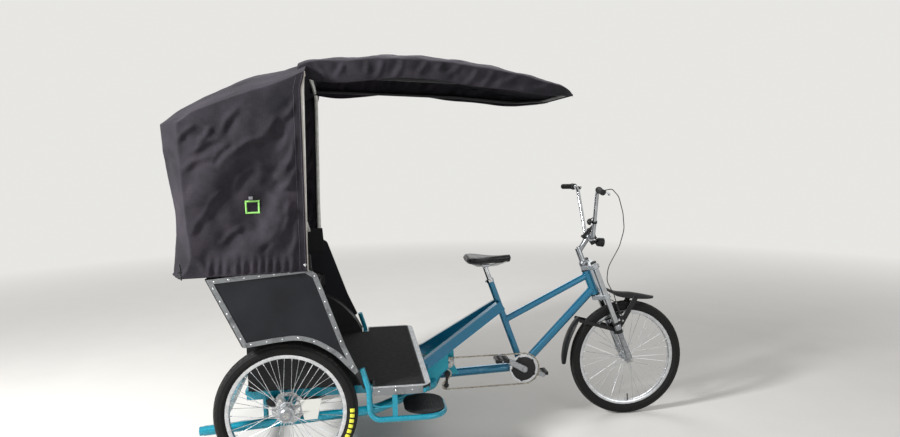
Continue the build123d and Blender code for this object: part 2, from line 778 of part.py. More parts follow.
GUSSET_Y = 124
with BuildPart() as jack_plates:
    for side in SIDES.values():
        with BuildSketch(side_plane(side * GUSSET_Y)):
            with BuildLine():
                Polyline(
                    (BEAM_BEND_X - 5, BEAM_BEND_Z - 9), (JACK_X - 13, JACK_Z + 92),
                    (JACK_X - 13, JACK_Z - 6), (JACK_X - 59, LOWER_FRONT_Z + 47),
                    (JACK_X - 83, LOWER_FRONT_Z + 9), (BEAM_BEND_X - 10, LOWER_FRONT_Z + 3),
                    close=True,
                )
            make_face()
        extrude(amount=1.5, both=True)
    for y in (-24, 20):
        with BuildSketch(side_plane(y)):
            with BuildLine():
                Polyline(
                    (JACK_X - 30, JACK_Z + 60), (JACK_X + 30, JACK_Z + 90),
                    (JACK_X + 34, JACK_Z - 20), (JACK_X + 60, JACK_Z - 72),
                    (JACK_X - 20, JACK_Z - 72), (JACK_X - 34, JACK_Z - 20),
                    close=True,
                )
            make_face()
            with Locations((JACK_X, JACK_Z)):
                Circle(17 / 2 + 0.1, mode=Mode.SUBTRACT)
        extrude(amount=3, both=True)
    for piece in (front_frame, rear_beams, carriage_frame):
        add(piece.part, mode=Mode.SUBTRACT)
save(jack_plates, "jack_plates")

with BuildPart() as derailleur:
    for x, z in (UPPER_PULLEY, LOWER_PULLEY):
        rod(at(x, FRONT_CHAIN_Y - 3, z), at(x, FRONT_CHAIN_Y + 3, z), 2 * (PULLEY_R - HALF_CHAIN - 0.4))
        rod(at(x, FRONT_CHAIN_Y - 8, z), at(x, FRONT_CHAIN_Y + 8, z), 8)
    upper, lower = UPPER_PULLEY, LOWER_PULLEY
    for y in (FRONT_CHAIN_Y - 7, FRONT_CHAIN_Y + 7):
        with BuildSketch(side_plane(y)):
            for spot in (upper, lower):
                with Locations(spot):
                    Circle(11)
            make_hull()
        extrude(amount=1, both=True)
    rod(at(upper[0], FRONT_CHAIN_Y + 6, upper[1]), at(upper[0], -28, upper[1]), 18)
    add(jack_plates.part, mode=Mode.SUBTRACT)
save(derailleur, "derailleur")

with BuildPart() as differential:
    rod(at(0, -DIFF_HALF_W, TYRE_R), at(0, DIFF_HALF_W, TYRE_R), 84)
    rod(at(0, REAR_CHAIN_Y - 3, TYRE_R), at(0, REAR_CHAIN_Y + 3, TYRE_R), 2 * (AXLE_R - HALF_CHAIN - 0.4))
save(differential, "differential")

FRONT_LOOP = [
    # x, z, pitch radius, negative where the chain passes the other way round
    (BB_X, BB_Z, RING_R),
    (*LOWER_PULLEY, PULLEY_R),
    (*UPPER_PULLEY, -PULLEY_R),
    (JACK_X, JACK_Z, COG_R),
]
REAR_LOOP = [(JACK_X, JACK_Z, JACK_REAR_R), (0, TYRE_R, AXLE_R)]
LINK_WAIST = 1.3
with BuildPart() as drive_chains:
    for y, wheels in ((FRONT_CHAIN_Y, FRONT_LOOP), (REAR_CHAIN_Y, REAR_LOOP)):
        with BuildLine() as route:
            chain_loop(wheels)
        path = route.wire()
        half_links = 2 * round(path.length / CHAIN_PITCH)
        outer, inner = [], []
        for step in range(half_links):
            point, ahead = path @ (step / half_links), path % (step / half_links)
            aside = Vector(-ahead.Y, ahead.X) * (HALF_CHAIN - (LINK_WAIST if step % 2 else 0))
            outer.append(point + aside)
            inner.append(point - aside)
        with BuildSketch(side_plane(y)):
            Polygon(*[(p.X, p.Y) for p in outer], align=None)
            Polygon(*[(p.X, p.Y) for p in inner], align=None, mode=Mode.SUBTRACT)
        extrude(amount=CHAIN_W / 2, both=True)
save(drive_chains, "drive_chains")

# Rear bearings and brake callipers

BEARING_Y = SIDE_RAIL_Y - 32
BEARING_W = 30
with BuildPart() as axle_bearings:
    for side in SIDES.values():
        with BuildSketch(side_plane(side * BEARING_Y)):
            with BuildLine():
                Polyline(
                    (-42, RAIL_TOP_Z - RAIL_H), (42, RAIL_TOP_Z - RAIL_H),
                    (30, TYRE_R - 12), (14, TYRE_R - 30), (-14, TYRE_R - 30), (-30, TYRE_R - 12),
                    close=True,
                )
            make_face()
            with Locations((0, TYRE_R)):
                Circle(HALF_SHAFT_D / 2 + FIT_GAP, mode=Mode.SUBTRACT)
        extrude(amount=BEARING_W / 2, both=True)
    for side in SIDES.values():
        bar(
            at(-42, side * BEARING_Y, RAIL_Z), at(42, side * BEARING_Y, RAIL_Z), BEARING_W, RAIL_H
        )
    add(carriage_frame.part, mode=Mode.SUBTRACT)
save(axle_bearings, "axle_bearings")

with BuildPart() as brake_calipers:
    for side in SIDES.values():
        with BuildSketch(cross_plane(-94)):
            with Locations((side * DISC_Y, TYRE_R + 34)):
                Rectangle(28, 44)
        extrude(amount=40)
        with BuildSketch(side_plane(side * DISC_Y)):
            with Locations((0, TYRE_R)):
                Circle(DISC_D / 2 + 3)
        extrude(amount=DISC_T / 2 + 1.5, both=True, mode=Mode.SUBTRACT)
        rod(at(-108, side * POST_Y, TYRE_R + 20), at(-90, side * (DISC_Y - 8), TYRE_R + 28), 14)
    add(carriage_frame.part, mode=Mode.SUBTRACT)
save(brake_calipers, "rear_brakes")

# Floor and its bright edging

FLOOR_CORNER = 60
FLOOR_REAR_X = BACK_X
WELL_FRONT_X = 372
FLOOR_WIDE_X = 412
TRIM_LAP = 24
TRIM_LIP = 3
MAT_T = 4
with BuildPart() as floor_deck:
    with BuildSketch(level_plane(FLOOR_Z - FLOOR_T)):
        with BuildLine():
            Polyline(
                (FLOOR_REAR_X, 0), (FLOOR_REAR_X, WELL_INNER_Y - WELL_T - FIT_GAP),
                (FLOOR_WIDE_X, WELL_INNER_Y - WELL_T - FIT_GAP), (FLOOR_WIDE_X, FLOOR_HALF_W),
                (FLOOR_FRONT_X, FLOOR_HALF_W), (FLOOR_FRONT_X, 0), close=True,
            )
        make_face()
        mirror(about=Plane.XZ)
    extrude(amount=FLOOR_T)
    corners = floor_deck.edges().filter_by(Axis.Z).group_by(Axis.X)[-1]
    fillet(corners, FLOOR_CORNER)
    add(rear_beams.part, mode=Mode.SUBTRACT)
    with BuildSketch(level_plane(FLOOR_Z + FIT_GAP)):
        with BuildLine():
            Polyline(
                (BOARD_SEAM_X, 0), (BOARD_SEAM_X, WELL_INNER_Y - WELL_T - 4),
                (FLOOR_WIDE_X + 4, WELL_INNER_Y - WELL_T - 4),
                (FLOOR_WIDE_X + 4, FLOOR_HALF_W - TRIM_LAP - FIT_GAP),
                (FLOOR_FRONT_X - TRIM_LAP - FIT_GAP, FLOOR_HALF_W - TRIM_LAP - FIT_GAP),
                (FLOOR_FRONT_X - TRIM_LAP - FIT_GAP, 0), close=True,
            )
        make_face()
        mirror(about=Plane.XZ)
    extrude(amount=MAT_T)
save(floor_deck, "floor_deck")

TRIM_H = 34
with BuildPart() as floor_trim:
    with BuildSketch(level_plane(FLOOR_Z - TRIM_H)):
        with BuildLine():
            Polyline(
                (FLOOR_WIDE_X, 0), (FLOOR_WIDE_X, FLOOR_HALF_W + 4),
                (FLOOR_FRONT_X + 4, FLOOR_HALF_W + 4), (FLOOR_FRONT_X + 4, 0), close=True,
            )
        make_face()
        mirror(about=Plane.XZ)
    extrude(amount=TRIM_H + TRIM_LIP)
    fillet(floor_trim.edges().filter_by(Axis.Z).group_by(Axis.X)[-1], FLOOR_CORNER + 4)
    with BuildSketch(level_plane(FLOOR_Z - TRIM_H)):
        with BuildLine():
            Polyline(
                (FLOOR_WIDE_X - 1, 0), (FLOOR_WIDE_X - 1, FLOOR_HALF_W),
                (FLOOR_FRONT_X, FLOOR_HALF_W), (FLOOR_FRONT_X, 0), close=True,
            )
        make_face()
        mirror(about=Plane.XZ)
    extrude(amount=TRIM_H, mode=Mode.SUBTRACT)
    with BuildSketch(level_plane(FLOOR_Z)):
        with Locations(((FLOOR_WIDE_X + FLOOR_FRONT_X - TRIM_LAP) / 2 - 30, 0)):
            Rectangle(
                FLOOR_FRONT_X - TRIM_LAP - FLOOR_WIDE_X + 60, 2 * (FLOOR_HALF_W - TRIM_LAP)
            )
    extrude(amount=TRIM_LIP, mode=Mode.SUBTRACT)
    for piece in (floor_deck, carriage_frame, rear_beams):
        add(piece.part, mode=Mode.SUBTRACT)
save(floor_trim, "floor_trim")

# Wheel wells: an arched shelf over each tyre and the wall between wheel and cabin

ARCH = [
    # forward of the axle, height
    (BACK_X, BACK_KNEE_Z + 4),
    (-33, 704),
    (60, 712),
    (140, 695),
    (240, 630),
    (330, 530),
    (WELL_FRONT_X, FLOOR_Z + 3),
]
ARCH_BENDS = [200, 200, 250, 300, 300]

for name, side in SIDES.items():
    with BuildPart() as well:
        with BuildSketch(side_plane(side * (WELL_INNER_Y - WELL_T / 2))):
            with BuildLine():
                FilletPolyline(*ARCH, radius=ARCH_BENDS)
                Polyline(
                    ARCH[-1], (WELL_FRONT_X, FLOOR_Z - FLOOR_T), (BACK_X, FLOOR_Z - FLOOR_T), ARCH[0]
                )
            make_face()
        extrude(amount=WELL_T / 2, both=True)
        with BuildSketch(side_plane(side * (WELL_INNER_Y - WELL_T + BODY_HALF_W - PANEL_T) / 2)):
            with BuildLine():
                FilletPolyline(*ARCH, radius=ARCH_BENDS)
            trace(line_width=WELL_T)
        extrude(amount=(BODY_HALF_W - PANEL_T - WELL_INNER_Y + WELL_T) / 2 - FIT_GAP, both=True)
    save(well, "wheel_well_" + name)

# Side panels with their arches, the back board and the seat

PANEL_TOP = [
    # forward of the axle, height, corner radius
    (BACK_TOP_X, BACK_TOP_Z, 0),
    (120, 1044, 40),
    (168, 1012, 30),
    (190, 950, 60),
    (288, 668, 0),
    (345, 540, 0),
]
PANEL_LAP = 4


def panel_face():
    """Side panel outline: straight top, curved front edge, arch below."""
    rise = [(x, z - PANEL_LAP) for x, z in ARCH[:-1]]
    FilletPolyline(
        *[(x, z) for x, z, corner in PANEL_TOP],
        radius=[corner if corner else 5 for x, z, corner in PANEL_TOP[1:-1]],
    )
    Line(PANEL_TOP[-1][:2], rise[-1])
    FilletPolyline(*rise, radius=ARCH_BENDS[:-1])
    Line(rise[0], PANEL_TOP[0][:2])


PANEL_MID_Y = BODY_HALF_W - PANEL_T / 2
for name, side in SIDES.items():
    with BuildPart() as panel:
        with BuildSketch(side_plane(side * PANEL_MID_Y)):
            with BuildLine():
                panel_face()
            make_face()
        extrude(amount=PANEL_T / 2, both=True)
    save(panel, "side_panel_" + name)

TRIM_W = 22
TRIM_T = 3
with BuildPart() as panel_trims:
    for side in SIDES.values():
        with BuildSketch(side_plane(side * (BODY_HALF_W + FIT_GAP))):
            with BuildLine():
                panel_face()
            make_face()
            offset(amount=-TRIM_W, mode=Mode.SUBTRACT)
        extrude(amount=-side * TRIM_T)
save(panel_trims, "panel_trims")

BACK_T = 8
BACK_DROP = FLOOR_Z - FLOOR_T
with BuildPart() as back_board:
    with BuildSketch(side_plane(0)):
        with BuildLine():
            Polyline(
                (BACK_X - FIT_GAP, BACK_DROP), (BACK_X - FIT_GAP, BACK_KNEE_Z),
                (BACK_TOP_X, BACK_TOP_Z), (BACK_TOP_X - BACK_T, BACK_TOP_Z),
                (BACK_X - BACK_T, BACK_KNEE_Z - 4), (BACK_X - BACK_T, BACK_DROP),
                close=True,
            )
        make_face()
    extrude(amount=BODY_HALF_W - PANEL_T - FIT_GAP, both=True)
    with BuildSketch(cross_plane(BACK_X)):
        for side in SIDES.values():
            with Locations((side * (WELL_INNER_Y + 100), (BACK_DROP + BACK_KNEE_Z) / 2)):
                Rectangle(200, BACK_KNEE_Z - BACK_DROP)
    extrude(amount=-40, mode=Mode.SUBTRACT)
save(back_board, "back_board")

SEAT_FRONT_X = 150
SEAT_BASE_Y = WELL_INNER_Y - WELL_T - 1
BOARD_T = 12
with BuildPart() as seat_base:
    with BuildSketch(side_plane(0)):
        with BuildLine():
            Polyline(
                (SEAT_FRONT_X - 40, FLOOR_Z), (SEAT_FRONT_X - 20, SEAT_BOARD_Z - BOARD_T),
                (SEAT_FRONT_X - 20 - BOARD_T, SEAT_BOARD_Z - BOARD_T), (SEAT_FRONT_X - 40 - BOARD_T, FLOOR_Z),
                close=True,
            )
        make_face()
    extrude(amount=SEAT_BASE_Y, both=True)
    with BuildSketch(side_plane(0)):
        with BuildLine():
            Polyline(
                (BACK_X + 20, SEAT_BOARD_Z - BOARD_T), (SEAT_FRONT_X, SEAT_BOARD_Z - BOARD_T),
                (SEAT_FRONT_X, SEAT_BOARD_Z), (BACK_X + 4, SEAT_BOARD_Z), close=True,
            )
        make_face()
    extrude(amount=BODY_HALF_W - PANEL_T - 1, both=True)
save(seat_base, "seat_base")

CUSHION_T = 85
CUSHION_GAP = 10
CUSHION_HALF_W = BODY_HALF_W - PANEL_T - CUSHION_GAP
LEAN = atan2(BACK_X - BACK_TOP_X, BACK_TOP_Z - BACK_KNEE_Z)
BACK_CUSHION_T = 80
BACK_CUSHION_L = 400
with BuildPart() as seat_cushion:
    with BuildSketch(side_plane(0)):
        with BuildLine():
            Polyline(
                (BACK_X + 62, SEAT_BOARD_Z + FIT_GAP), (SEAT_FRONT_X + 8, SEAT_BOARD_Z + FIT_GAP),
                (SEAT_FRONT_X + 8, SEAT_BOARD_Z + CUSHION_T),
                (BACK_X + 62 - CUSHION_T * tan(LEAN), SEAT_BOARD_Z + CUSHION_T), close=True,
            )
        make_face()
    extrude(amount=CUSHION_HALF_W, both=True)
save(seat_cushion, "seat_cushion")

with BuildPart() as back_cushion:
    base = at(BACK_X - (SEAT_BOARD_Z - BACK_KNEE_Z) * tan(LEAN), 0, SEAT_BOARD_Z + 2)
    lean_up = Vector(-sin(LEAN), 0, cos(LEAN))
    lean_out = Vector(cos(LEAN), 0, sin(LEAN))
    with BuildSketch(Plane(origin=base + lean_out * 1.0 + lean_up * 8, x_dir=(0, 1, 0), z_dir=lean_up)):
        with Locations((0, -BACK_CUSHION_T / 2)):
            Rectangle(2 * CUSHION_HALF_W, BACK_CUSHION_T)
    extrude(amount=BACK_CUSHION_L)
    add(seat_cushion.part, mode=Mode.SUBTRACT)
save(back_cushion, "back_cushion")

# Entry steps: a tube that drops from the panel's foot and loops round a tread

STEP_TOP_Z = 545
STEP_POST_X = 515
TREAD_X = 665
TREAD_L = 200
TREAD_CORNER_R = 96
with BuildPart() as entry_steps:
    for side in SIDES.values():
        bent_tube(
            [
                at(WELL_FRONT_X - 10, side * (BODY_HALF_W - PANEL_T - STEP_TUBE_D / 2 - FIT_GAP), STEP_TOP_Z),
                at(STEP_REAR_X - 3, side * STEP_OUT_Y, STEP_TOP_Z - 105),
                at(STEP_REAR_X, side * STEP_OUT_Y, STEP_Z),
                at(STEP_FRONT_X, side * STEP_OUT_Y, STEP_Z),
                at(STEP_FRONT_X, side * STEP_IN_Y, STEP_Z),
                at(TREAD_X - TREAD_L / 2, side * STEP_IN_Y, STEP_Z),
            ],
            STEP_TUBE_D,
            [60, 55, 95, 95],
        )
        bar(
            at(STEP_POST_X, side * STEP_OUT_Y, STEP_Z),
            at(STEP_POST_X, side * STEP_OUT_Y, FLOOR_Z - FLOOR_T - 1), 6, 25,
        )
        bent_tube(
            [
                at(STEP_REAR_X, side * STEP_OUT_Y, STEP_Z + 85),
                at(STEP_REAR_X + 35, side * (STEP_OUT_Y - 8), STEP_Z + 60),
                at(STEP_POST_X, side * (STEP_OUT_Y - 8), STEP_Z + 62),
            ],
            12,
            [60],
        )
    add(carriage_frame.part, mode=Mode.SUBTRACT)
    add(floor_trim.part, mode=Mode.SUBTRACT)
save(entry_steps, "entry_steps")

TREAD_T = 6
with BuildPart() as step_treads:
    for side in SIDES.values():
        with BuildSketch(level_plane(STEP_Z + STEP_TUBE_D / 2 + FIT_GAP)):
            with Locations((TREAD_X, side * (STEP_OUT_Y + STEP_IN_Y) / 2)):
                RectangleRounded(TREAD_L, STEP_OUT_Y - STEP_IN_Y, TREAD_CORNER_R)
        extrude(amount=TREAD_T)
save(step_treads, "step_treads")

# Hood: three bows under a canvas shell, and the long awning on its hoop

HOOD_STATIONS = [
    # forward of the axle, height of the side fold, height of the crown
    (HOOD_FRONT_X, 1935, 2040),
    (-100, 1862, 1985),
    (-330, 1776, 1902),
    (-460, 1712, 1832),
    (-560, 1640, 1740),
]
HOOD_BACK = [
    # forward of the axle, height
    (HOOD_BACK_X, 1711),
    (-533, 1597),
    (-512, 1413),
    (-498, 1227),
    (-510, 1078),
    (-517, HOOD_HEM_Z),
]
HOOD_CORNERS = [
    # height, forward of the axle where the side ends and where the back begins
    (HOOD_HEM_Z - 10, -386, -470),
    (2100, -440, -556),
]
BACK_HALF_W = 500
HOOD_TOP_Z = 2100
EAVE_Z = 1880
BOW_SHOWS = 17


def hood_solid(inset):
    """Closed hood form, its skin pulled in by inset on every side."""
    with BuildPart() as form:
        for x, fold, crown in HOOD_STATIONS:
            half = HOOD_HALF_W - inset
            with BuildSketch(cross_plane(x)):
                with BuildLine():
                    Polyline(
                        (-half, fold - inset), (-half, HOOD_HEM_Z - inset),
                        (half, HOOD_HEM_Z - inset), (half, fold - inset),
                    )
                    ThreePointArc((half, fold - inset), (0, crown - inset), (-half, fold - inset))
                make_face()
        loft(ruled=True)
        with BuildSketch(side_plane(0)):
            with BuildLine():
                Polyline(
                    (HOOD_FRONT_X + inset, HOOD_HEM_Z - inset), (HOOD_FRONT_X + inset, HOOD_TOP_Z),
                    (HOOD_BACK_X + inset, HOOD_TOP_Z), *[(x + inset, z) for x, z in HOOD_BACK[:-1]],
                    (HOOD_BACK[-1][0] + inset, HOOD_HEM_Z - inset), close=True,
                )
            make_face()
        extrude(amount=HOOD_HALF_W, both=True, mode=Mode.INTERSECT)
    with BuildPart() as plan:
        for z, side_end, back_start in HOOD_CORNERS:
            with BuildSketch(level_plane(z)):
                with BuildLine():
                    Polyline(
                        (HOOD_FRONT_X + 1, 0), (HOOD_FRONT_X + 1, HOOD_HALF_W + 1),
                        (side_end + inset * 0.7, HOOD_HALF_W + 1),
                        (back_start + inset * 0.7, BACK_HALF_W),
                        (back_start - 60, BACK_HALF_W - 60), (back_start - 60, 0), close=True,
                    )
                make_face()
                mirror(about=Plane.XZ)
        loft(ruled=True)
    return form.part & plan.part


outer_form = hood_solid(0)
inner_form = hood_solid(HOOD_T)
with BuildPart() as hood_cover:
    add(outer_form)
    add(inner_form, mode=Mode.SUBTRACT)
    with BuildSketch(cross_plane(HOOD_FRONT_X)):
        with Locations((0, (HOOD_HEM_Z + EAVE_Z) / 2)):
            Rectangle(2 * HOOD_HALF_W + HOOD_T, EAVE_Z - HOOD_HEM_Z + HOOD_T)
    extrude(amount=-BOW_SHOWS, mode=Mode.SUBTRACT)
save(hood_cover, "hood_cover")

BOW_Y = HOOD_HALF_W - HOOD_T - FIT_GAP - BOW_D / 2
INNER_BOW_Y = BOW_Y - 45
BOW_CORNER_R = 90
BOW_FOOT = (60, BACK_TOP_Z + 70)
FRONT_BOW_X = HOOD_FRONT_X - BOW_D / 2 - 2
FRONT_BOW = (FRONT_BOW_X, 1913, 2024)
MIDDLE_BOW = (-150, 1815, 1949)
REAR_BOW = (-490, 1706, 1782)
REAR_BOW_CORNER = (-405, 1700)
REAR_BOW_HALF_W = 470
KNUCKLE_FOOT_Z = 960


def crown_radius(rise, half_span, corner_r):
    """Largest easy arc over a shallow roof that springs from two rounded corners."""
    slope = atan2(rise, half_span)
    straight = hypot(rise, half_span) - corner_r * tan((pi / 2 - slope) / 2)
    return 0.9 * straight / tan(slope)


def mirrored(points):
    """A half route from the right side, its last point on the centre plane, and its mirror image."""
    return points + [Vector(p.X, -p.Y, p.Z) for p in reversed(points[:-1])]


with BuildPart() as hood_bows:
    x, fold, crown = FRONT_BOW
    bent_tube(
        mirrored([at(BOW_FOOT[0] + 60, -BOW_Y, BOW_FOOT[1]), at(x, -BOW_Y, fold), at(x, 0, crown)]),
        BOW_D,
        [BOW_CORNER_R, crown_radius(crown - fold, BOW_Y, BOW_CORNER_R), BOW_CORNER_R],
    )
    knee = at(BOW_FOOT[0] - 18, -INNER_BOW_Y, BOW_FOOT[1] + 75)
    x, fold, crown = MIDDLE_BOW
    bent_tube(
        mirrored([at(BOW_FOOT[0], -BOW_Y, BOW_FOOT[1]), knee, at(x, -INNER_BOW_Y, fold), at(x, 0, crown)]),
        BOW_D,
        [
            BOW_CORNER_R, BOW_CORNER_R, crown_radius(crown - fold, INNER_BOW_Y, BOW_CORNER_R),
            BOW_CORNER_R, BOW_CORNER_R,
        ],
    )
    x, fold, crown = REAR_BOW
    bent_tube(
        mirrored([
            at(BOW_FOOT[0], -BOW_Y, BOW_FOOT[1]), knee,
            at(REAR_BOW_CORNER[0], -INNER_BOW_Y, REAR_BOW_CORNER[1]),
            at(x, -REAR_BOW_HALF_W, fold), at(x, 0, crown),
        ]),
        BOW_D,
        [60, 60, 60, crown_radius(crown - fold, REAR_BOW_HALF_W, 60), 60, 60, 60],
    )
    for side in SIDES.values():
        with BuildSketch(side_plane(side * (BODY_HALF_W - PANEL_T - 4))):
            with BuildLine():
                Polyline(
                    (BOW_FOOT[0] - 30, KNUCKLE_FOOT_Z), (BOW_FOOT[0] + 90, KNUCKLE_FOOT_Z),
                    (BOW_FOOT[0] + 80, KNUCKLE_FOOT_Z + 140), (BOW_FOOT[0] - 20, KNUCKLE_FOOT_Z + 140),
                    close=True,
                )
            make_face()
        extrude(amount=3, both=True)
save(hood_bows, "hood_bows")

AWNING_STATIONS = [
    # forward of the axle, half width, hem height, shoulder height, crown height
    (HOOD_FRONT_X + FIT_GAP, 470, 1925, 2005, 2052),
    (560, 465, 1932, 2020, 2082),
    (1000, 445, 1882, 1970, 2035),
    (1300, 405, 1842, 1915, 1968),
    (1450, 330, 1848, 1880, 1922),
    (1512, 240, 1850, 1862, 1885),
]


def awning_solid(inset):
    with BuildPart() as form:
        for x, half, hem, shoulder, crown in AWNING_STATIONS:
            with BuildSketch(cross_plane(x - (inset if x == AWNING_STATIONS[-1][0] else 0))):
                with BuildLine():
                    Polyline(
                        (-half + inset, shoulder - inset), (-half + inset, hem - inset / 2),
                        (half - inset, hem - inset / 2), (half - inset, shoulder - inset),
                    )
                    ThreePointArc(
                        (half - inset, shoulder - inset), (0, crown - inset),
                        (-half + inset, shoulder - inset),
                    )
                make_face()
        loft(ruled=True)
    return form.part


outer_awning = awning_solid(0)
inner_awning = awning_solid(AWNING_T)
with BuildPart() as awning_cover:
    add(outer_awning)
    add(inner_awning, mode=Mode.SUBTRACT)
save(awning_cover, "awning_cover")

AWNING_TUBE_D = 22
AWNING_TUBE_Z = 1945
with BuildPart() as awning_frame:
    bent_tube(
        [
            at(FRONT_BOW_X, -440, AWNING_TUBE_Z),
            at(1000, -425, 1902),
            at(1330, -375, 1862),
            at(1488, -200, 1862),
            at(1488, 200, 1862),
            at(1330, 375, 1862),
            at(1000, 425, 1902),
            at(FRONT_BOW_X, 440, AWNING_TUBE_Z),
        ],
        AWNING_TUBE_D,
        [400, 200, 100, 100, 200, 400],
    )
    add(hood_bows.part, mode=Mode.SUBTRACT)
save(awning_frame, "awning_frame")
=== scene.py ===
# %% [markdown]
# A pedal cab with a canvas hood
#
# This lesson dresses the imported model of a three-wheeled pedal cab. The frame, wheels, drive and body come
# from the CAD model and stay where they are. Each step takes one piece or one finish of the real vehicle,
# says what it is made of, and builds it with meshes and shader nodes.

# %% Load the model
import math

import bmesh
import bpy
import numpy as np
from mathutils import Matrix, Vector, noise


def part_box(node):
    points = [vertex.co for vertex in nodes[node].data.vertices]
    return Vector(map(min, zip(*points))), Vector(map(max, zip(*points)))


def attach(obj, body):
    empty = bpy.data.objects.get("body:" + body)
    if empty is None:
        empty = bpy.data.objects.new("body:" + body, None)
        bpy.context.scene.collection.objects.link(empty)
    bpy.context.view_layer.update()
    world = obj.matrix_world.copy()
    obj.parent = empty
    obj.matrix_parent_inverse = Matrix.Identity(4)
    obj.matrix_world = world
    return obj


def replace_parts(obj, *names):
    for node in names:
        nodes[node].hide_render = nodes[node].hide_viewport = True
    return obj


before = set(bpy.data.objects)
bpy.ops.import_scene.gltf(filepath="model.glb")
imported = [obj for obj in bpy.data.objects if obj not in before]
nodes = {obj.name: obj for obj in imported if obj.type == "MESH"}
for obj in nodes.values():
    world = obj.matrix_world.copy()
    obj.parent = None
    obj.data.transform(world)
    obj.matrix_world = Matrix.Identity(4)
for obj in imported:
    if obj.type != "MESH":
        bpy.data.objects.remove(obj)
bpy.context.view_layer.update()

# %% [markdown]
# Places are given as the vehicle's builder gives them: millimetres forward of the rear axle, to the left of
# the centre plane and above the ground. The rear wheel's own box says where that axle is in the shared
# frame, so nothing here has to be fitted by eye.

# %% Places
wheel_low, wheel_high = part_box("rear_tyre_right")
REAR_AXLE_X = (wheel_low.x + wheel_high.x) / 2
TYRE_R = 500 * (wheel_high.z - wheel_low.z)
TYRE_W = 1000 * (wheel_high.y - wheel_low.y)
TRACK_HALF = -500 * (wheel_low.y + wheel_high.y)
front_low, front_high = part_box("front_tyre")
WHEELBASE = 500 * (front_low.x + front_high.x) - 1000 * REAR_AXLE_X
SIDES = {"right": -1, "left": 1}


def at(x, y, z):
    """A point in metres from millimetres forward of the rear axle, left of centre and above ground."""
    return Vector((REAR_AXLE_X + x / 1000, y / 1000, z / 1000))


print("rear axle x", round(REAR_AXLE_X, 4), "wheelbase", round(WHEELBASE), "half track", round(TRACK_HALF))

# %% [markdown]
# The camera stands where the photographer stood: beside the cab at eye height, a little ahead of the rear
# axle, turned a few degrees forward and down, and held about one degree off level. Its angles come from
# fitting the two near wheels and the hood's upright edge.

# %% Camera
CAMERA_AT = at(359.7, -3825, 1559.4)
CAMERA_TURN = math.radians(7.73)
CAMERA_DIP = math.radians(5.41)
CAMERA_LEAN = math.radians(-1.03)
LENS_MM = 27.6
SENSOR_MM = 36

ahead = Vector((math.sin(CAMERA_TURN), math.cos(CAMERA_TURN), 0))
right = Vector((math.cos(CAMERA_TURN), -math.sin(CAMERA_TURN), 0))
look = ahead * math.cos(CAMERA_DIP) - Vector((0, 0, math.sin(CAMERA_DIP)))
level_up = right.cross(look)
right = right * math.cos(CAMERA_LEAN) + level_up * math.sin(CAMERA_LEAN)
camera_axes = Matrix((right, right.cross(look), -look)).transposed()

camera = bpy.data.objects.new("camera", bpy.data.cameras.new("camera"))
camera.data.lens = LENS_MM
camera.data.sensor_width = SENSOR_MM
camera.matrix_world = Matrix.Translation(CAMERA_AT) @ camera_axes.to_4x4()
bpy.context.scene.collection.objects.link(camera)
bpy.context.scene.camera = camera
print("camera at", [round(v, 3) for v in CAMERA_AT])

# %% [markdown]
# A finish is a material made of shader nodes. Real paint and cloth are given as sRGB colours, and
# shaders work in linear light, so one function turns a hex value into linear numbers. One more function
# adds a node with its settings and its links, and every finish below is written with it.

# %% Node tools
def linear(hex_colour):
    """Linear RGBA from an sRGB hex colour."""
    channels = [int(hex_colour[i:i + 2], 16) / 255 for i in (1, 3, 5)]
    return [c / 12.92 if c <= 0.04045 else ((c + 0.055) / 1.055) ** 2.4 for c in channels] + [1]


def socket(sockets, name):
    """The socket of that number or name. A mix node has several of one name, and only one is enabled."""
    return sockets[name] if isinstance(name, int) else next(
        s for s in sockets if s.name == name and s.enabled
    )


def add_node(tree, kind, settings=None, links=None):
    """Adds a node with its settings and links.

    A setting in small letters is an option, and another is an input. A link is a node or (node, output).
    """
    made = tree.nodes.new("ShaderNode" + kind)
    for name, value in (settings or {}).items():
        if isinstance(name, str) and name.islower():
            setattr(made, name, value)
        else:
            socket(made.inputs, name).default_value = linear(value) if isinstance(value, str) else value
    for name, source in (links or {}).items():
        source, output = source if isinstance(source, tuple) else (source, 0)
        if output == 0 and source.bl_idname == "ShaderNodeMix":
            output = "Result"
        tree.links.new(socket(source.outputs, output), socket(made.inputs, name))
    return made


def start_finish(name):
    """An empty material and its object coordinates, which are the vehicle's own metres."""
    material = bpy.data.materials.new(name)
    material.use_nodes = True
    tree = material.node_tree
    tree.nodes.clear()
    place = add_node(tree, "TexCoord")
    return material, tree, (place, "Object")


print("node tools ready")

# %% [markdown]
# The cab's steel tubes are painted with a metallic enamel: a blue base full of fine aluminium flakes under
# a clear coat. That gives the eye a bright narrow highlight on a body that shifts from teal to deep blue.
# The flakes are far finer than a pixel, so their speckle is drawn about 3 mm wide. Road dust gathers on the
# low tubes, and a noise that fades out with height paints it.

# %% Metallic blue enamel
FLAKE_MM = 3
PEEL_MM = 6
blue_enamel, tree, place = start_finish("metallic_blue_enamel")
flakes = add_node(tree, "TexNoise", {"Scale": 1000 / FLAKE_MM, "Detail": 2}, {"Vector": place})
shade = add_node(tree, "TexNoise", {"Scale": 9, "Detail": 3}, {"Vector": place})
flake_amount = add_node(tree, "MapRange", {"From Min": 0.4, "From Max": 0.62}, {"Value": flakes})
shade_amount = add_node(tree, "MapRange", {"From Min": 0.35, "From Max": 0.65}, {"Value": shade})
base = add_node(tree, "Mix", {"data_type": "RGBA", "A": "#045a7e", "B": "#0a779e"}, {0: flake_amount})
deep = add_node(tree, "Mix", {"data_type": "RGBA", "B": "#066a8a"}, {0: shade_amount, "A": base})
height = add_node(tree, "SeparateXYZ", {}, {0: place})
low = add_node(tree, "MapRange", {"From Min": 0.55, "From Max": 0.1}, {"Value": (height, "Z")})
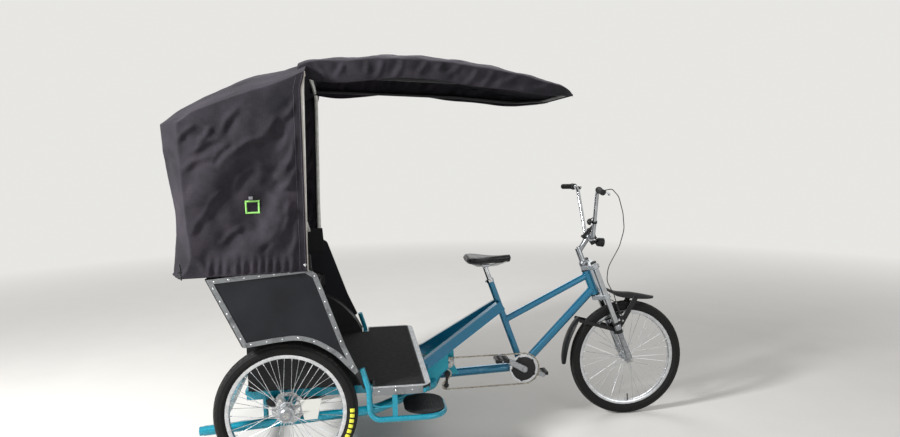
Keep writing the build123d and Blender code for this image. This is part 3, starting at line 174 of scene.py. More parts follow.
grime = add_node(tree, "TexNoise", {"Scale": 30, "Detail": 6, "Roughness": 0.65}, {"Vector": place})
grime_amount = add_node(
    tree, "MapRange", {"From Min": 0.5, "From Max": 0.75, "To Max": 0.45}, {"Value": grime}
)
dust = add_node(tree, "Math", {"operation": "MULTIPLY"}, {0: low, 1: grime_amount})
colour = add_node(tree, "Mix", {"data_type": "RGBA", "B": "#6f7c80"}, {0: dust, "A": deep})
rough = add_node(tree, "MapRange", {"To Min": 0.24, "To Max": 0.6}, {"Value": dust})
peel = add_node(tree, "TexNoise", {"Scale": 1000 / PEEL_MM, "Detail": 1}, {"Vector": place})
relief = add_node(tree, "Bump", {"Distance": 0.0002, "Strength": 0.35}, {"Height": peel})
surface = add_node(
    tree, "BsdfPrincipled", {"Metallic": 0.35, "Coat Weight": 0.6, "Coat Roughness": 0.07},
    {"Base Color": colour, "Roughness": rough, "Normal": relief},
)
add_node(tree, "OutputMaterial", {}, {"Surface": surface})
print("made", blue_enamel.name)

# %% [markdown]
# Several finishes are one metal or paint whose shade and gloss wander a little: polished rims, stainless
# spokes, chrome stanchions, silver paint, black powder coat and moulded plastic. They differ only in
# numbers, so a table lists what each is and one loop makes them. The grain is the size of the real
# surface's unevenness: brush lines, sprayed texture or moulding texture, with 4 mm or more where the real
# one wouldn't show.

# %% Metals, paints and plastics
PLAIN_FINISHES = [
    # name, dark shade, light shade, metallic, least and most roughness, coat, grain mm, relief mm
    ("polished_aluminium", "#b9bcc0", "#d3d5d8", 1.0, 0.18, 0.36, 0.0, 25, 0.02),
    ("stainless_spoke_steel", "#b4b7ba", "#cfd1d3", 1.0, 0.2, 0.38, 0.0, 30, 0.0),
    ("anodised_aluminium", "#83868a", "#9c9fa3", 1.0, 0.22, 0.4, 0.0, 18, 0.02),
    ("cast_aluminium", "#8f9296", "#a9acb0", 1.0, 0.34, 0.52, 0.0, 5, 0.05),
    ("chrome_plate", "#a6a9ad", "#bdc0c3", 1.0, 0.07, 0.18, 0.0, 40, 0.0),
    ("silver_enamel", "#9a9ea2", "#b0b4b7", 0.6, 0.3, 0.46, 0.3, 4, 0.03),
    ("black_powder_coat", "#0b0c0e", "#141518", 0.0, 0.38, 0.6, 0.1, 4, 0.08),
    ("moulded_black_abs", "#0a0b0c", "#121315", 0.0, 0.4, 0.58, 0.0, 4, 0.05),
    ("grip_rubber", "#0b0b0c", "#141415", 0.0, 0.62, 0.85, 0.0, 5, 0.08),
    ("zinc_plated_steel", "#8d8f90", "#b3b4b3", 1.0, 0.26, 0.5, 0.0, 12, 0.02),
    ("disc_steel", "#9a9c9e", "#bfc1c2", 1.0, 0.2, 0.4, 0.0, 8, 0.0),
    ("white_bow_enamel", "#c9c9c3", "#e3e3dd", 0.0, 0.3, 0.5, 0.3, 30, 0.03),
    ("black_well_liner", "#101113", "#191a1d", 0.0, 0.5, 0.75, 0.0, 14, 0.1),
    ("cable_housing_pvc", "#141416", "#222225", 0.0, 0.3, 0.5, 0.0, 10, 0.02),
    ("yellow_sidewall_print", "#d8d637", "#efec55", 0.0, 0.5, 0.75, 0.0, 5, 0.05),
    ("lime_woven_tape", "#7cbf5c", "#9bd97a", 0.0, 0.6, 0.8, 0.0, 4, 0.12),
    ("grey_webbing", "#77777c", "#9a9aa0", 0.0, 0.7, 0.9, 0.0, 4, 0.12),
    # a lighter cyan blue: partly a powder coat of its own and partly painted sunlight
    ("blue_powder_coat", "#0d8297", "#17a3b8", 0.0, 0.34, 0.5, 0.2, 5, 0.06),
    # a lighter turquoise: partly an enamel of its own and partly painted sunlight on the blue frame enamel
    ("turquoise_enamel_painted_sunlit", "#0b7a92", "#1597ae", 0.35, 0.24, 0.42, 0.6, 4, 0.03),
    ("bright_steel_screw", "#c4c6c8", "#dcdee0", 1.0, 0.14, 0.3, 0.0, 8, 0.02),
]
finishes = {"metallic_blue_enamel": blue_enamel}
for name, dark, light, metallic, smooth, worn, coat, grain_mm, relief_mm in PLAIN_FINISHES:
    material, tree, place = start_finish(name)
    patches = add_node(
        tree, "TexNoise", {"Scale": 1000 / grain_mm, "Detail": 4, "Roughness": 0.6}, {"Vector": place}
    )
    wear = add_node(tree, "TexNoise", {"Scale": 14, "Detail": 5, "Roughness": 0.7}, {"Vector": place})
    amount = add_node(tree, "MapRange", {"From Min": 0.35, "From Max": 0.65}, {"Value": patches})
    colour = add_node(tree, "Mix", {"data_type": "RGBA", "A": dark, "B": light}, {0: amount})
    rough = add_node(
        tree, "MapRange", {"From Min": 0.4, "From Max": 0.68, "To Min": smooth, "To Max": worn},
        {"Value": wear}
    )
    relief = add_node(tree, "Bump", {"Distance": relief_mm / 1000, "Strength": 0.6}, {"Height": patches})
    surface = add_node(
        tree, "BsdfPrincipled",
        {"Metallic": metallic, "Coat Weight": coat, "Coat Roughness": 0.12, "Specular IOR Level": 0.3},
        {"Base Color": colour, "Roughness": rough, "Normal": relief},
    )
    add_node(tree, "OutputMaterial", {}, {"Surface": surface})
    finishes[name] = material
print("made", len(PLAIN_FINISHES), "plain finishes")

# %% [markdown]
# Tyre rubber is matt black that greys with road dust. The dust follows a noise with patches about 20 mm
# across, over a fine grain of 4 mm. The tread, which the road rubs, is greyer, and its own finish is made
# where the tyres are built.

# %% Tyre rubber
DUST_MM = 20
GRIT_MM = 4
tyre_rubber, tree, place = start_finish("dusty_tyre_rubber")
patches = add_node(
    tree, "TexNoise", {"Scale": 1000 / DUST_MM, "Detail": 7, "Roughness": 0.7}, {"Vector": place}
)
grit = add_node(tree, "TexNoise", {"Scale": 1000 / GRIT_MM, "Detail": 3}, {"Vector": place})
amount = add_node(tree, "MapRange", {"From Min": 0.42, "From Max": 0.72, "To Max": 0.8}, {"Value": patches})
colour = add_node(tree, "Mix", {"data_type": "RGBA", "A": "#0a0a0b", "B": "#181715"}, {0: amount})
rough = add_node(tree, "MapRange", {"To Min": 0.6, "To Max": 0.9}, {"Value": patches})
relief = add_node(tree, "Bump", {"Distance": 0.0003, "Strength": 0.5}, {"Height": grit})
surface = add_node(
    tree, "BsdfPrincipled", {"Specular IOR Level": 0.25},
    {"Base Color": colour, "Roughness": rough, "Normal": relief},
)
add_node(tree, "OutputMaterial", {}, {"Surface": surface})
finishes["tyre_rubber"] = tyre_rubber
print("made", tyre_rubber.name)

# %% [markdown]
# The hood is cotton and polyester canvas of a plain weave, once black and now faded to a warm charcoal
# where the sun and dust reach. Its threads lie about 0.7 mm apart, which is finer than a pixel here, so the
# weave is drawn at 3.2 mm: two crossed waves, one for the warp and one for the weft. The colour is made
# darker in the gaps between the threads, which is painted shade. The cloth carries its own flat coordinates
# in metres, so that the threads follow it over every fold. Fuzz gives a soft sheen at grazing view.

# %% Canvas
THREAD_MM = 3.2
FADE_MM = 160
canvas, tree, place = start_finish("faded_black_canvas")
flat = add_node(tree, "TexCoord")
threads = [
    add_node(
        tree, "TexWave", {"bands_direction": direction, "Scale": 1000 / THREAD_MM / 6.3, "Distortion": 0.6},
        {"Vector": (flat, "UV")},
    )
    for direction in ("X", "Y")
]
weave = add_node(tree, "Math", {"operation": "MAXIMUM"}, {0: (threads[0], "Fac"), 1: (threads[1], "Fac")})
fade = add_node(
    tree, "TexNoise", {"Scale": 1000 / FADE_MM, "Detail": 6, "Roughness": 0.62}, {"Vector": place}
)
lint = add_node(tree, "TexNoise", {"Scale": 260, "Detail": 4, "Roughness": 0.8}, {"Vector": place})
fade_amount = add_node(tree, "MapRange", {"From Min": 0.36, "From Max": 0.68}, {"Value": fade})
lint_amount = add_node(tree, "MapRange", {"From Min": 0.55, "From Max": 0.75, "To Max": 0.4}, {"Value": lint})
dyed = add_node(tree, "Mix", {"data_type": "RGBA", "A": "#1e1d21", "B": "#343037"}, {0: fade_amount})
linty = add_node(tree, "Mix", {"data_type": "RGBA", "B": "#5a555f"}, {0: lint_amount, "A": dyed})
# painted shade: the colour is darkened where the weave is low, in the gaps between the threads
gap_shade = add_node(tree, "MapRange", {"From Min": 0.3, "From Max": 0.8, "To Min": 0.6}, {"Value": weave})
colour = add_node(
    tree, "Mix", {"data_type": "RGBA", "blend_type": "MULTIPLY", 0: 0.75}, {"A": linty, "B": gap_shade}
)
relief = add_node(tree, "Bump", {"Distance": 0.0007, "Strength": 0.55}, {"Height": weave})
surface = add_node(
    tree, "BsdfPrincipled",
    {"Roughness": 0.88, "Sheen Weight": 0.25, "Sheen Roughness": 0.45, "Sheen Tint": "#8f8a94",
     "Specular IOR Level": 0.15},
    {"Base Color": colour, "Normal": relief},
)
add_node(tree, "OutputMaterial", {}, {"Surface": surface})
finishes["canvas"] = canvas
print("made", canvas.name, "with threads drawn", THREAD_MM, "mm apart")

# %% [markdown]
# The cab's side panels are plywood faced with black laminate: smooth, satin, with long fine scuffs where
# bags and shoes have rubbed. Scuffs are a noise stretched along the panel, so that they run in streaks.

# %% Black laminate
laminate, tree, place = start_finish("satin_black_laminate")
stretch = add_node(tree, "Mapping", {"Scale": (1, 6, 9)}, {"Vector": place})
scuffs = add_node(tree, "TexNoise", {"Scale": 26, "Detail": 8, "Roughness": 0.72}, {"Vector": stretch})
cloud = add_node(tree, "TexNoise", {"Scale": 5, "Detail": 3}, {"Vector": place})
scuff_amount = add_node(
    tree, "MapRange", {"From Min": 0.58, "From Max": 0.8, "To Max": 0.5}, {"Value": scuffs}
)
cloud_amount = add_node(tree, "MapRange", {"From Min": 0.35, "From Max": 0.65}, {"Value": cloud})
base = add_node(tree, "Mix", {"data_type": "RGBA", "A": "#141519", "B": "#1c1e22"}, {0: cloud_amount})
colour = add_node(tree, "Mix", {"data_type": "RGBA", "B": "#34363a"}, {0: scuff_amount, "A": base})
rough = add_node(tree, "MapRange", {"To Min": 0.36, "To Max": 0.62}, {"Value": scuffs})
relief = add_node(tree, "Bump", {"Distance": 0.0001, "Strength": 0.4}, {"Height": scuffs})
surface = add_node(
    tree, "BsdfPrincipled", {"Specular IOR Level": 0.2},
    {"Base Color": colour, "Roughness": rough, "Normal": relief},
)
add_node(tree, "OutputMaterial", {}, {"Surface": surface})
finishes["laminate"] = laminate
print("made", laminate.name)

# %% [markdown]
# The edging is extruded aluminium, left bright and rubbed by years of hands and shoes. Its wear is short
# dark scratches across a satin ground. The upholstery is leatherette, a vinyl skin embossed with a grain of
# cells about 2 mm wide, drawn here at 4 mm. The deck rubber has low ribs of its own and only needs a dusty
# matt black.

# %% Edging, leatherette and deck rubber
edging, tree, place = start_finish("extruded_aluminium_edging")
scratches = add_node(tree, "TexNoise", {"Scale": 90, "Detail": 6, "Roughness": 0.75}, {"Vector": place})
dirt = add_node(tree, "TexNoise", {"Scale": 22, "Detail": 5, "Roughness": 0.6}, {"Vector": place})
dirt_amount = add_node(tree, "MapRange", {"From Min": 0.52, "From Max": 0.7, "To Max": 0.7}, {"Value": dirt})
colour = add_node(tree, "Mix", {"data_type": "RGBA", "A": "#84878a", "B": "#4e5053"}, {0: dirt_amount})
rough = add_node(
    tree, "MapRange", {"From Min": 0.35, "From Max": 0.7, "To Min": 0.25, "To Max": 0.6}, {"Value": scratches}
)
relief = add_node(tree, "Bump", {"Distance": 0.0002, "Strength": 0.4}, {"Height": scratches})
surface = add_node(
    tree, "BsdfPrincipled", {"Metallic": 0.9}, {"Base Color": colour, "Roughness": rough, "Normal": relief}
)
add_node(tree, "OutputMaterial", {}, {"Surface": surface})
finishes["edging"] = edging

GRAIN_MM = 4
leatherette, tree, place = start_finish("black_leatherette")
cells = add_node(tree, "TexVoronoi", {"Scale": 1000 / GRAIN_MM}, {"Vector": place})
cloud = add_node(tree, "TexNoise", {"Scale": 12, "Detail": 4}, {"Vector": place})
colour = add_node(tree, "Mix", {"data_type": "RGBA", "A": "#101012", "B": "#1c1c1f"}, {0: cloud})
rough = add_node(tree, "MapRange", {"To Min": 0.32, "To Max": 0.56}, {"Value": cloud})
relief = add_node(tree, "Bump", {"Distance": 0.0005, "Strength": 0.5}, {"Height": (cells, "Distance")})
surface = add_node(
    tree, "BsdfPrincipled", {"Coat Weight": 0.1, "Coat Roughness": 0.4, "Specular IOR Level": 0.3},
    {"Base Color": colour, "Roughness": rough, "Normal": relief},
)
add_node(tree, "OutputMaterial", {}, {"Surface": surface})
finishes["leatherette"] = leatherette

deck_rubber, tree, place = start_finish("ribbed_deck_rubber")
dust = add_node(tree, "TexNoise", {"Scale": 40, "Detail": 7, "Roughness": 0.7}, {"Vector": place})
amount = add_node(tree, "MapRange", {"From Min": 0.45, "From Max": 0.75, "To Max": 0.7}, {"Value": dust})
colour = add_node(tree, "Mix", {"data_type": "RGBA", "A": "#121315", "B": "#38383a"}, {0: amount})
rough = add_node(tree, "MapRange", {"To Min": 0.6, "To Max": 0.85}, {"Value": dust})
relief = add_node(tree, "Bump", {"Distance": 0.0003, "Strength": 0.4}, {"Height": dust})
surface = add_node(
    tree, "BsdfPrincipled", {"Specular IOR Level": 0.25},
    {"Base Color": colour, "Roughness": rough, "Normal": relief},
)
add_node(tree, "OutputMaterial", {}, {"Surface": surface})
finishes["deck_rubber"] = deck_rubber

# %% [markdown]
# A chain is oiled steel: brown-black oil in the gaps and bright plates where the sprockets rub. The lamp's
# window is clear acrylic, and a spoke reflector is a pale prismatic plastic, drawn with cells 5 mm wide.

# %% Chain steel, lens and reflector
chain_steel, tree, place = start_finish("oiled_chain_steel")
oil = add_node(tree, "TexNoise", {"Scale": 120, "Detail": 5, "Roughness": 0.7}, {"Vector": place})
amount = add_node(tree, "MapRange", {"From Min": 0.42, "From Max": 0.62}, {"Value": oil})
colour = add_node(tree, "Mix", {"data_type": "RGBA", "A": "#b5b0a4", "B": "#5f584c"}, {0: amount})
rough = add_node(tree, "MapRange", {"To Min": 0.28, "To Max": 0.5}, {"Value": oil})
surface = add_node(tree, "BsdfPrincipled", {"Metallic": 0.85}, {"Base Color": colour, "Roughness": rough})
add_node(tree, "OutputMaterial", {}, {"Surface": surface})
finishes["chain_steel"] = chain_steel

lens, tree, place = start_finish("clear_acrylic_lens")
haze = add_node(tree, "TexNoise", {"Scale": 60, "Detail": 4}, {"Vector": place})
rough = add_node(tree, "MapRange", {"To Min": 0.03, "To Max": 0.12}, {"Value": haze})
surface = add_node(
    tree, "BsdfPrincipled", {"Base Color": "#eef2f4", "IOR": 1.49, "Transmission Weight": 0.92},
    {"Roughness": rough},
)
add_node(tree, "OutputMaterial", {}, {"Surface": surface})
finishes["lens"] = lens

PRISM_MM = 5
reflector, tree, place = start_finish("prismatic_reflector_plastic")
prisms = add_node(
    tree, "TexVoronoi", {"distance": "CHEBYCHEV", "Scale": 1000 / PRISM_MM, "Randomness": 0.0},
    {"Vector": place},
)
colour = add_node(
    tree, "Mix", {"data_type": "RGBA", "A": "#bdbdb8", "B": "#d8d7d2"}, {0: (prisms, "Distance")}
)
relief = add_node(tree, "Bump", {"Distance": 0.0006, "Strength": 0.6}, {"Height": (prisms, "Distance")})
surface = add_node(
    tree, "BsdfPrincipled", {"Roughness": 0.16, "IOR": 1.49}, {"Base Color": colour, "Normal": relief}
)
add_node(tree, "OutputMaterial", {}, {"Surface": surface})
finishes["reflector"] = reflector
print("finishes made:", len(finishes))

# %% [markdown]
# Most nodes of the CAD model already have their real shape and only need the finish of the real part. The
# table lists which finish goes on which node.

# %% Finishes on the model's own nodes
NODE_FINISHES = {
    "metallic_blue_enamel": ["front_frame", "rear_beams"],
    # The carriage and the steps take the turquoise, whose lightness is partly painted sunlight.
    "turquoise_enamel_painted_sunlit": ["carriage_frame", "entry_steps"],
    # The plates and bearings take the light blue powder coat, whose lightness is partly painted sunlight.
    "blue_powder_coat": ["jack_plates", "axle_bearings"],
    "laminate": ["side_panel_right", "side_panel_left", "back_board", "seat_base"],
    "black_well_liner": ["wheel_well_right", "wheel_well_left"],
    "edging": ["panel_trims", "floor_trim"],
    "deck_rubber": ["floor_deck", "step_treads"],
    "leatherette": ["seat_cushion", "back_cushion", "saddle"],
    "canvas": ["hood_cover", "awning_cover"],
    "white_bow_enamel": ["hood_bows"],
    "black_powder_coat": ["awning_frame", "front_fender", "rear_brakes", "derailleur"],
    "chrome_plate": ["fork_stanchions", "seat_post", "handlebar"],
    "silver_enamel": ["fork_crowns", "fork_lower_legs"],
    "polished_aluminium": ["stem", "front_laced_rim", "rear_laced_rim_right", "rear_laced_rim_left"],
    "cast_aluminium": ["crankset", "front_brake", "brake_levers"],
    "zinc_plated_steel": ["jackshaft", "half_shaft_right", "half_shaft_left", "differential"],
    "moulded_black_abs": ["headlight", "pedal_right", "pedal_left"],
    "grip_rubber": ["grips"],
    "cable_housing_pvc": ["brake_cable"],
    "chain_steel": ["drive_chains"],
    "tyre_rubber": ["front_tyre", "rear_tyre_right", "rear_tyre_left"],
}
for finish, names in NODE_FINISHES.items():
    for name in names:
        if name in nodes:
            nodes[name].data.materials.clear()
            nodes[name].data.materials.append(finishes[finish])
finished = {name for names in NODE_FINISHES.values() for name in names}
print("nodes without a finish:", sorted(set(nodes) - finished))

# %% [markdown]
# Three area lamps model the shapes: a small key from the rear and above, which rakes along the hood's
# folds, a broad fill beside the camera and a rim from behind. The world adds an even glow. Rays from the
# camera, and those that a glossy or clear surface sends, see a pale backdrop instead of the glow.

# %% Lamps and world
LAMPS = [
    # name, place in metres, width, watts
    ("key", (-4.1, -2.1, 3.3), 0.8, 385),
    ("fill", (3.2, -5.2, 2.6), 4.0, 85),
    ("rim", (0.6, 4.6, 4.4), 3.5, 100),
]
AIM = Vector((0, 0, 0.9))
BACKDROP = "#f0efec"
BACKDROP_STRENGTH = 0.92
GLOW = "#ffffff"
GLOW_STRENGTH = 0.4
for name, spot, width, watts in LAMPS:
    lamp = bpy.data.objects.new(name, bpy.data.lights.new(name, "AREA"))
    lamp.data.shape = "SQUARE"
    lamp.data.size = width
    lamp.data.energy = watts
    lamp.location = spot
    lamp.rotation_euler = (AIM - lamp.location).to_track_quat("-Z", "Y").to_euler()
    bpy.context.scene.collection.objects.link(lamp)

world = bpy.data.worlds.new("studio")
world.use_nodes = True
tree = world.node_tree
tree.nodes.clear()
ray = add_node(tree, "LightPath")
seen = add_node(
    tree, "Math", {"operation": "MAXIMUM"}, {0: (ray, "Is Camera Ray"), 1: (ray, "Is Glossy Ray")}
)
clear = add_node(tree, "Math", {"operation": "MAXIMUM"}, {0: seen, 1: (ray, "Is Transmission Ray")})
glow = add_node(tree, "Background", {"Color": GLOW, "Strength": GLOW_STRENGTH})
backdrop = add_node(tree, "Background", {"Color": BACKDROP, "Strength": BACKDROP_STRENGTH})
either = add_node(tree, "MixShader", {}, {0: clear, 1: glow, 2: backdrop})
add_node(tree, "OutputWorld", {}, {"Surface": either})
bpy.context.scene.world = world
bpy.context.scene.view_settings.view_transform = "Standard"
print("lamps:", [row[0] for row in LAMPS])

# %% [markdown]
# The floor is a sheet of pale paper. Near the cab it is matt and takes the shadows. Further out it turns
# into the backdrop's own shade, so that no horizon shows, and from below it is clear.

# %% Floor
FLOOR_HALF = 30
FLOOR_DOWN = -0.001
FLOOR_SHADES = ("#dddbd7", "#d6d4d0")
FLOOR_FADE = (3.2, 8.5)
floor_finish, tree, place = start_finish("pale_studio_floor")
distance = add_node(tree, "VectorMath", {"operation": "LENGTH"}, {0: place})
far = add_node(
    tree, "MapRange", {"From Min": FLOOR_FADE[0], "From Max": FLOOR_FADE[1]},
    {"Value": (distance, "Value")},
)
paper = add_node(tree, "TexNoise", {"Scale": 3, "Detail": 4}, {"Vector": place})
tone = add_node(
    tree, "Mix", {"data_type": "RGBA", "A": FLOOR_SHADES[0], "B": FLOOR_SHADES[1]}, {0: paper}
)
matt = add_node(tree, "BsdfDiffuse", {}, {"Color": tone})
shine = add_node(tree, "Emission", {"Color": BACKDROP, "Strength": BACKDROP_STRENGTH})
near_far = add_node(tree, "MixShader", {}, {0: far, 1: matt, 2: shine})
facing = add_node(tree, "NewGeometry")
nothing = add_node(tree, "BsdfTransparent")
upper = add_node(tree, "MixShader", {}, {0: (facing, "Backfacing"), 1: near_far, 2: nothing})
add_node(tree, "OutputMaterial", {}, {"Surface": upper})
floor_mesh = bpy.data.meshes.new("studio_floor")
corners = [
    (-FLOOR_HALF, -FLOOR_HALF), (FLOOR_HALF, -FLOOR_HALF), (FLOOR_HALF, FLOOR_HALF),
    (-FLOOR_HALF, FLOOR_HALF)
]
floor_mesh.from_pydata([(x, y, FLOOR_DOWN) for x, y in corners], [], [(0, 1, 2, 3)])
floor_mesh.materials.append(floor_finish)
floor = bpy.data.objects.new("studio_floor", floor_mesh)
bpy.context.scene.collection.objects.link(floor)
print("floor of", 2 * FLOOR_HALF, "m")

# %% [markdown]
# Every piece built below is a mesh of a few kinds of form: a tube along a path, a profile turned about
# an axis, a plate with eased edges, or a sheet. One small class collects the points and faces of a piece in
# the builder's millimetres, and one method of it turns them into an object that rides on its body.

# %% Piece class
class Piece:
    """Points and faces of one piece, in millimetres forward of the rear axle, to the left and up."""

    def __init__(self):
        self.points = []
        self.faces = []
        self.looks = []
        self.look = 0
        self.count = 0

    def add(self, points, faces):
        points = np.asarray(points, float).reshape(-1, 3)
        self.faces += [[self.count + i for i in face] for face in faces]
        self.looks += [self.look] * len(faces)
        self.points.append(points)
        self.count += len(points)

    def grid(self, points, closed_rows=False, closed_columns=False):
        """A net of points, row after row, with four-sided faces."""
        rows, columns = points.shape[:2]
        index = np.arange(rows * columns).reshape(rows, columns)
        if closed_rows:
            index = np.vstack([index, index[:1]])
        if closed_columns:
            index = np.hstack([index, index[:, :1]])
        quads = np.stack([index[:-1, :-1], index[1:, :-1], index[1:, 1:], index[:-1, 1:]], -1)
        self.add(points, quads.reshape(-1, 4).tolist())

    def tube(self, path, radius, around=12, closed=False, flat=1.0):
        """A round or flattened tube along a path. The radius may be a list, one for each point."""
        path = np.asarray([tuple(p) for p in path], float)
        radius = np.broadcast_to(np.asarray(radius, float), (len(path),))
        ahead = np.roll(path, -1, 0) - np.roll(path, 1, 0) if closed else np.gradient(path, axis=0)
        ahead /= np.linalg.norm(ahead, axis=1)[:, None]
        side = np.cross(ahead[0], (0, 0, 1.0))
        if np.linalg.norm(side) < 0.05:
            side = np.cross(ahead[0], (0, 1.0, 0))
        sides = []
        for direction in ahead:
            side = side - direction * (side @ direction)
            side = side / np.linalg.norm(side)
            sides.append(side)
        sides = np.array(sides)
        ups = np.cross(sides, ahead)
        turn = 2 * np.pi * np.arange(around) / around
        ring = np.cos(turn)[None, :, None] * sides[:, None] + flat * np.sin(turn)[
            None, :, None
        ] * ups[:, None]
        first = self.count
        self.grid(path[:, None] + radius[:, None, None] * ring, closed_rows=closed, closed_columns=True)
        if not closed:
            last = first + (len(path) - 1) * around
            self.faces += [list(range(first, first + around)), list(range(last, last + around))[::-1]]
            self.looks += [self.look] * 2

    def turned(self, profile, centre, axis=(0, 1, 0), around=48, ring=False):
        """A profile of (radius, place along the axis) turned about the axis. A ring's profile is closed."""
        axis = np.asarray(Vector(axis).normalized(), float)
        first_arm = np.cross(axis, (0, 0, 1.0)) if abs(axis[2]) < 0.9 else np.cross(axis, (0, 1.0, 0))
        first_arm /= np.linalg.norm(first_arm)
        second_arm = np.cross(axis, first_arm)
        turn = 2 * np.pi * np.arange(around) / around
        arms = np.cos(turn)[:, None] * first_arm + np.sin(turn)[:, None] * second_arm
        profile = np.asarray(profile, float)
        points = (
            np.asarray(centre, float) + arms[:, None] * profile[None, :, :1] + axis * profile[None, :, 1:]
        )
        first = self.count
        self.grid(points, closed_rows=True, closed_columns=ring)
        if not ring:
            for end in (0, len(profile) - 1):
                if profile[end, 0] > 0.01:
                    self.faces.append([first + end + step * len(profile) for step in range(around)])
                    self.looks.append(self.look)

    def plate(self, outline, origin, across, up, thickness, ease=0.5):
        """A flat outline made thick to both sides of its plane, with eased edges."""
        across, up = np.asarray(Vector(across).normalized()), np.asarray(Vector(up).normalized())
        out = np.cross(across, up)
        outline = np.asarray(outline, float)
        before, after = outline - np.roll(outline, 1, 0), np.roll(outline, -1, 0) - outline
        normals = np.stack([before[:, 1] + after[:, 1], -before[:, 0] - after[:, 0]], -1)
        normals /= np.linalg.norm(normals, axis=1)[:, None] + 1e-9
        turning = np.sum(before[:, 0] * after[:, 1] - before[:, 1] * after[:, 0])
        normals *= 1 if turning > 0 else -1
        rows = []
        for inset, level in ((ease, -0.5), (0, -0.5), (0, 0.5), (ease, 0.5)):
            flat = outline - normals * inset
            lift = level * thickness + (0 if inset else -math.copysign(ease, level))
            rows.append(np.asarray(origin) + flat[:, :1] * across + flat[:, 1:] * up + lift * out)
        first, number = self.count, len(outline)
        self.grid(np.array(rows), closed_columns=True)
        self.faces += [
            list(range(first, first + number)), list(range(first + 3 * number, first + 4 * number))[::-1]
        ]
        self.looks += [self.look] * 2

    def bolt(self, place, direction, size=6):
        """A hexagon head on a washer, lying on its seat."""
        direction = Vector(direction).normalized()
        self.turned([(0, 1), (size, 1), (size * 1.05, 0.6), (size * 1.05, 0)], place, direction, 16)
        head = [
            (0, 0.62 * size + 1), (0.75 * size, 0.62 * size + 1), (0.86 * size, 0.5 * size + 1),
            (0.86 * size, 1)
        ]
        self.turned(head, place, direction, 6)

    def finish(self, name, looks, body, slot, sharp_deg=38, sheet=False):
        """The object, with its edges marked sharp where the surface turns by more than sharp_deg."""
        mesh = bpy.data.meshes.new(name)
        points = np.vstack(self.points) / 1000 + (REAR_AXLE_X, 0, 0)
        mesh.from_pydata(points.tolist(), [], self.faces)
        for look in looks if isinstance(looks, list) else [looks]:
            mesh.materials.append(finishes[look])
        mesh.polygons.foreach_set("material_index", self.looks)
        shaped = bmesh.new()
        shaped.from_mesh(mesh)
        if not sheet:
            bmesh.ops.recalc_face_normals(shaped, faces=shaped.faces)
        limit = math.radians(sharp_deg)
        for edge in shaped.edges:
            edge.smooth = edge.calc_face_angle(0) < limit
        for face in shaped.faces:
            face.smooth = True
        shaped.to_mesh(mesh)
        shaped.free()
        piece = bpy.data.objects.new(name, mesh)
        bpy.context.scene.collection.objects.link(piece)
        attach(piece, body)
        print(name, len(mesh.vertices), "points", len(mesh.polygons), "faces")
        return piece


print("piece class ready")

# %% [markdown]
# Outlines and long forms come from short tables. One function gives points of a circle, for rounded
# outlines, and one reads a table along a smooth curve that passes through its rows.

# %% Outlines and curves
def round_points(radius, degrees, centre=(0, 0)):
    """Points of a circle at the given degrees, for an outline."""
    return [
        (centre[0] + radius * math.cos(math.radians(a)), centre[1] + radius * math.sin(math.radians(a)))
        for a in degrees
    ]


def eased(table, column, value):
    """A column of a table read between its rows along a smooth curve that passes through them."""
    table = np.asarray(table, float)
    order = np.argsort(table[:, 0])
    xs, ys = table[order, 0], table[order, column]
    slopes = np.gradient(ys, xs)
    value = np.clip(np.asarray(value, float), xs[0], xs[-1])
    k = np.clip(np.searchsorted(xs, value) - 1, 0, len(xs) - 2)
    step = xs[k + 1] - xs[k]
    t = (value - xs[k]) / step
    return (
        ys[k] * (2 * t ** 3 - 3 * t ** 2 + 1) + ys[k + 1] * (3 * t ** 2 - 2 * t ** 3)
        + step * (slopes[k] * (t ** 3 - 2 * t ** 2 + t) + slopes[k + 1] * (t ** 3 - t ** 2))
    )


print("outline tools ready")

# %% [markdown]
# The hood is one sheet of canvas over three bows: two side walls, a back whose corners are cut off where
# the rear bow turns, and a roof that sags between the bows. It could be draped by a cloth solver, but the
# folds that tell this hood apart are known, so the sheet is built as two nets that share their rim, and
# pushed in and out by a short table of places where the cloth stands proud or hollow.

# %% Hood form
HOOD_HALF = 618
HOOD_HEM_Z = 1020
HOOD_ROOF = [
    # forward of the axle, side fold height, crown height
    (145, 1938, 2037), (16, 1883, 2012), (-116, 1843, 1980), (-269, 1791, 1928),
    (-356, 1757, 1888), (-408, 1720, 1860), (-460, 1700, 1830), (-545, 1668, 1748),
]
REAR_RIDGE = [
    # height, forward of the axle at the side wall's rear fold
    (1000, -446), (1017, -440), (1050, -408), (1092, -392), (1238, -396), (1417, -407), (1595, -415),
    (1760, -418),
]
REAR_OUT = [
    # height, forward of the axle where the back wall begins
    (1000, -498), (1020, -494), (1078, -486), (1227, -474), (1413, -490), (1597, -510), (1711, -517),
    (1760, -518),
]
BACK_FROM_Y = 500
BACK_BULGE = 22
FRONT_EDGE_X = 128
ROOF_FRONT_X = 145


def roof_height(x, y):
    """Height of the roof: a shallow arch from side to side that falls towards the back."""
    fold, crown = eased(HOOD_ROOF, 1, x), eased(HOOD_ROOF, 2, x)
    return fold + (crown - fold) * (1 - np.minimum(np.abs(y) / HOOD_HALF, 1) ** 2)


def front_edge(z):
    """The side wall stops short of the front bow, and only the roof reaches over it."""
    rise = np.clip((z - 1850) / 80, 0, 1)
    return FRONT_EDGE_X + (ROOF_FRONT_X - FRONT_EDGE_X) * rise * rise * (3 - 2 * rise)


def hem_height(x):
    """The hem runs level and lifts a little towards the front bow."""
    return HOOD_HEM_Z - 3 + 14 * np.clip((np.asarray(x, float) + 445) / 570, 0, 1)


print("hood tables:", len(HOOD_ROOF), "roof rows,", len(REAR_RIDGE), "ridge rows")

# %% [markdown]
# The side walls, the cut corners and the back are nets of points that share their edges. Each is laid out
# between a lower and an upper line, and together they make one wall net. The roof net takes its rear edge
# from the walls' top row, so that the two meet point for point.

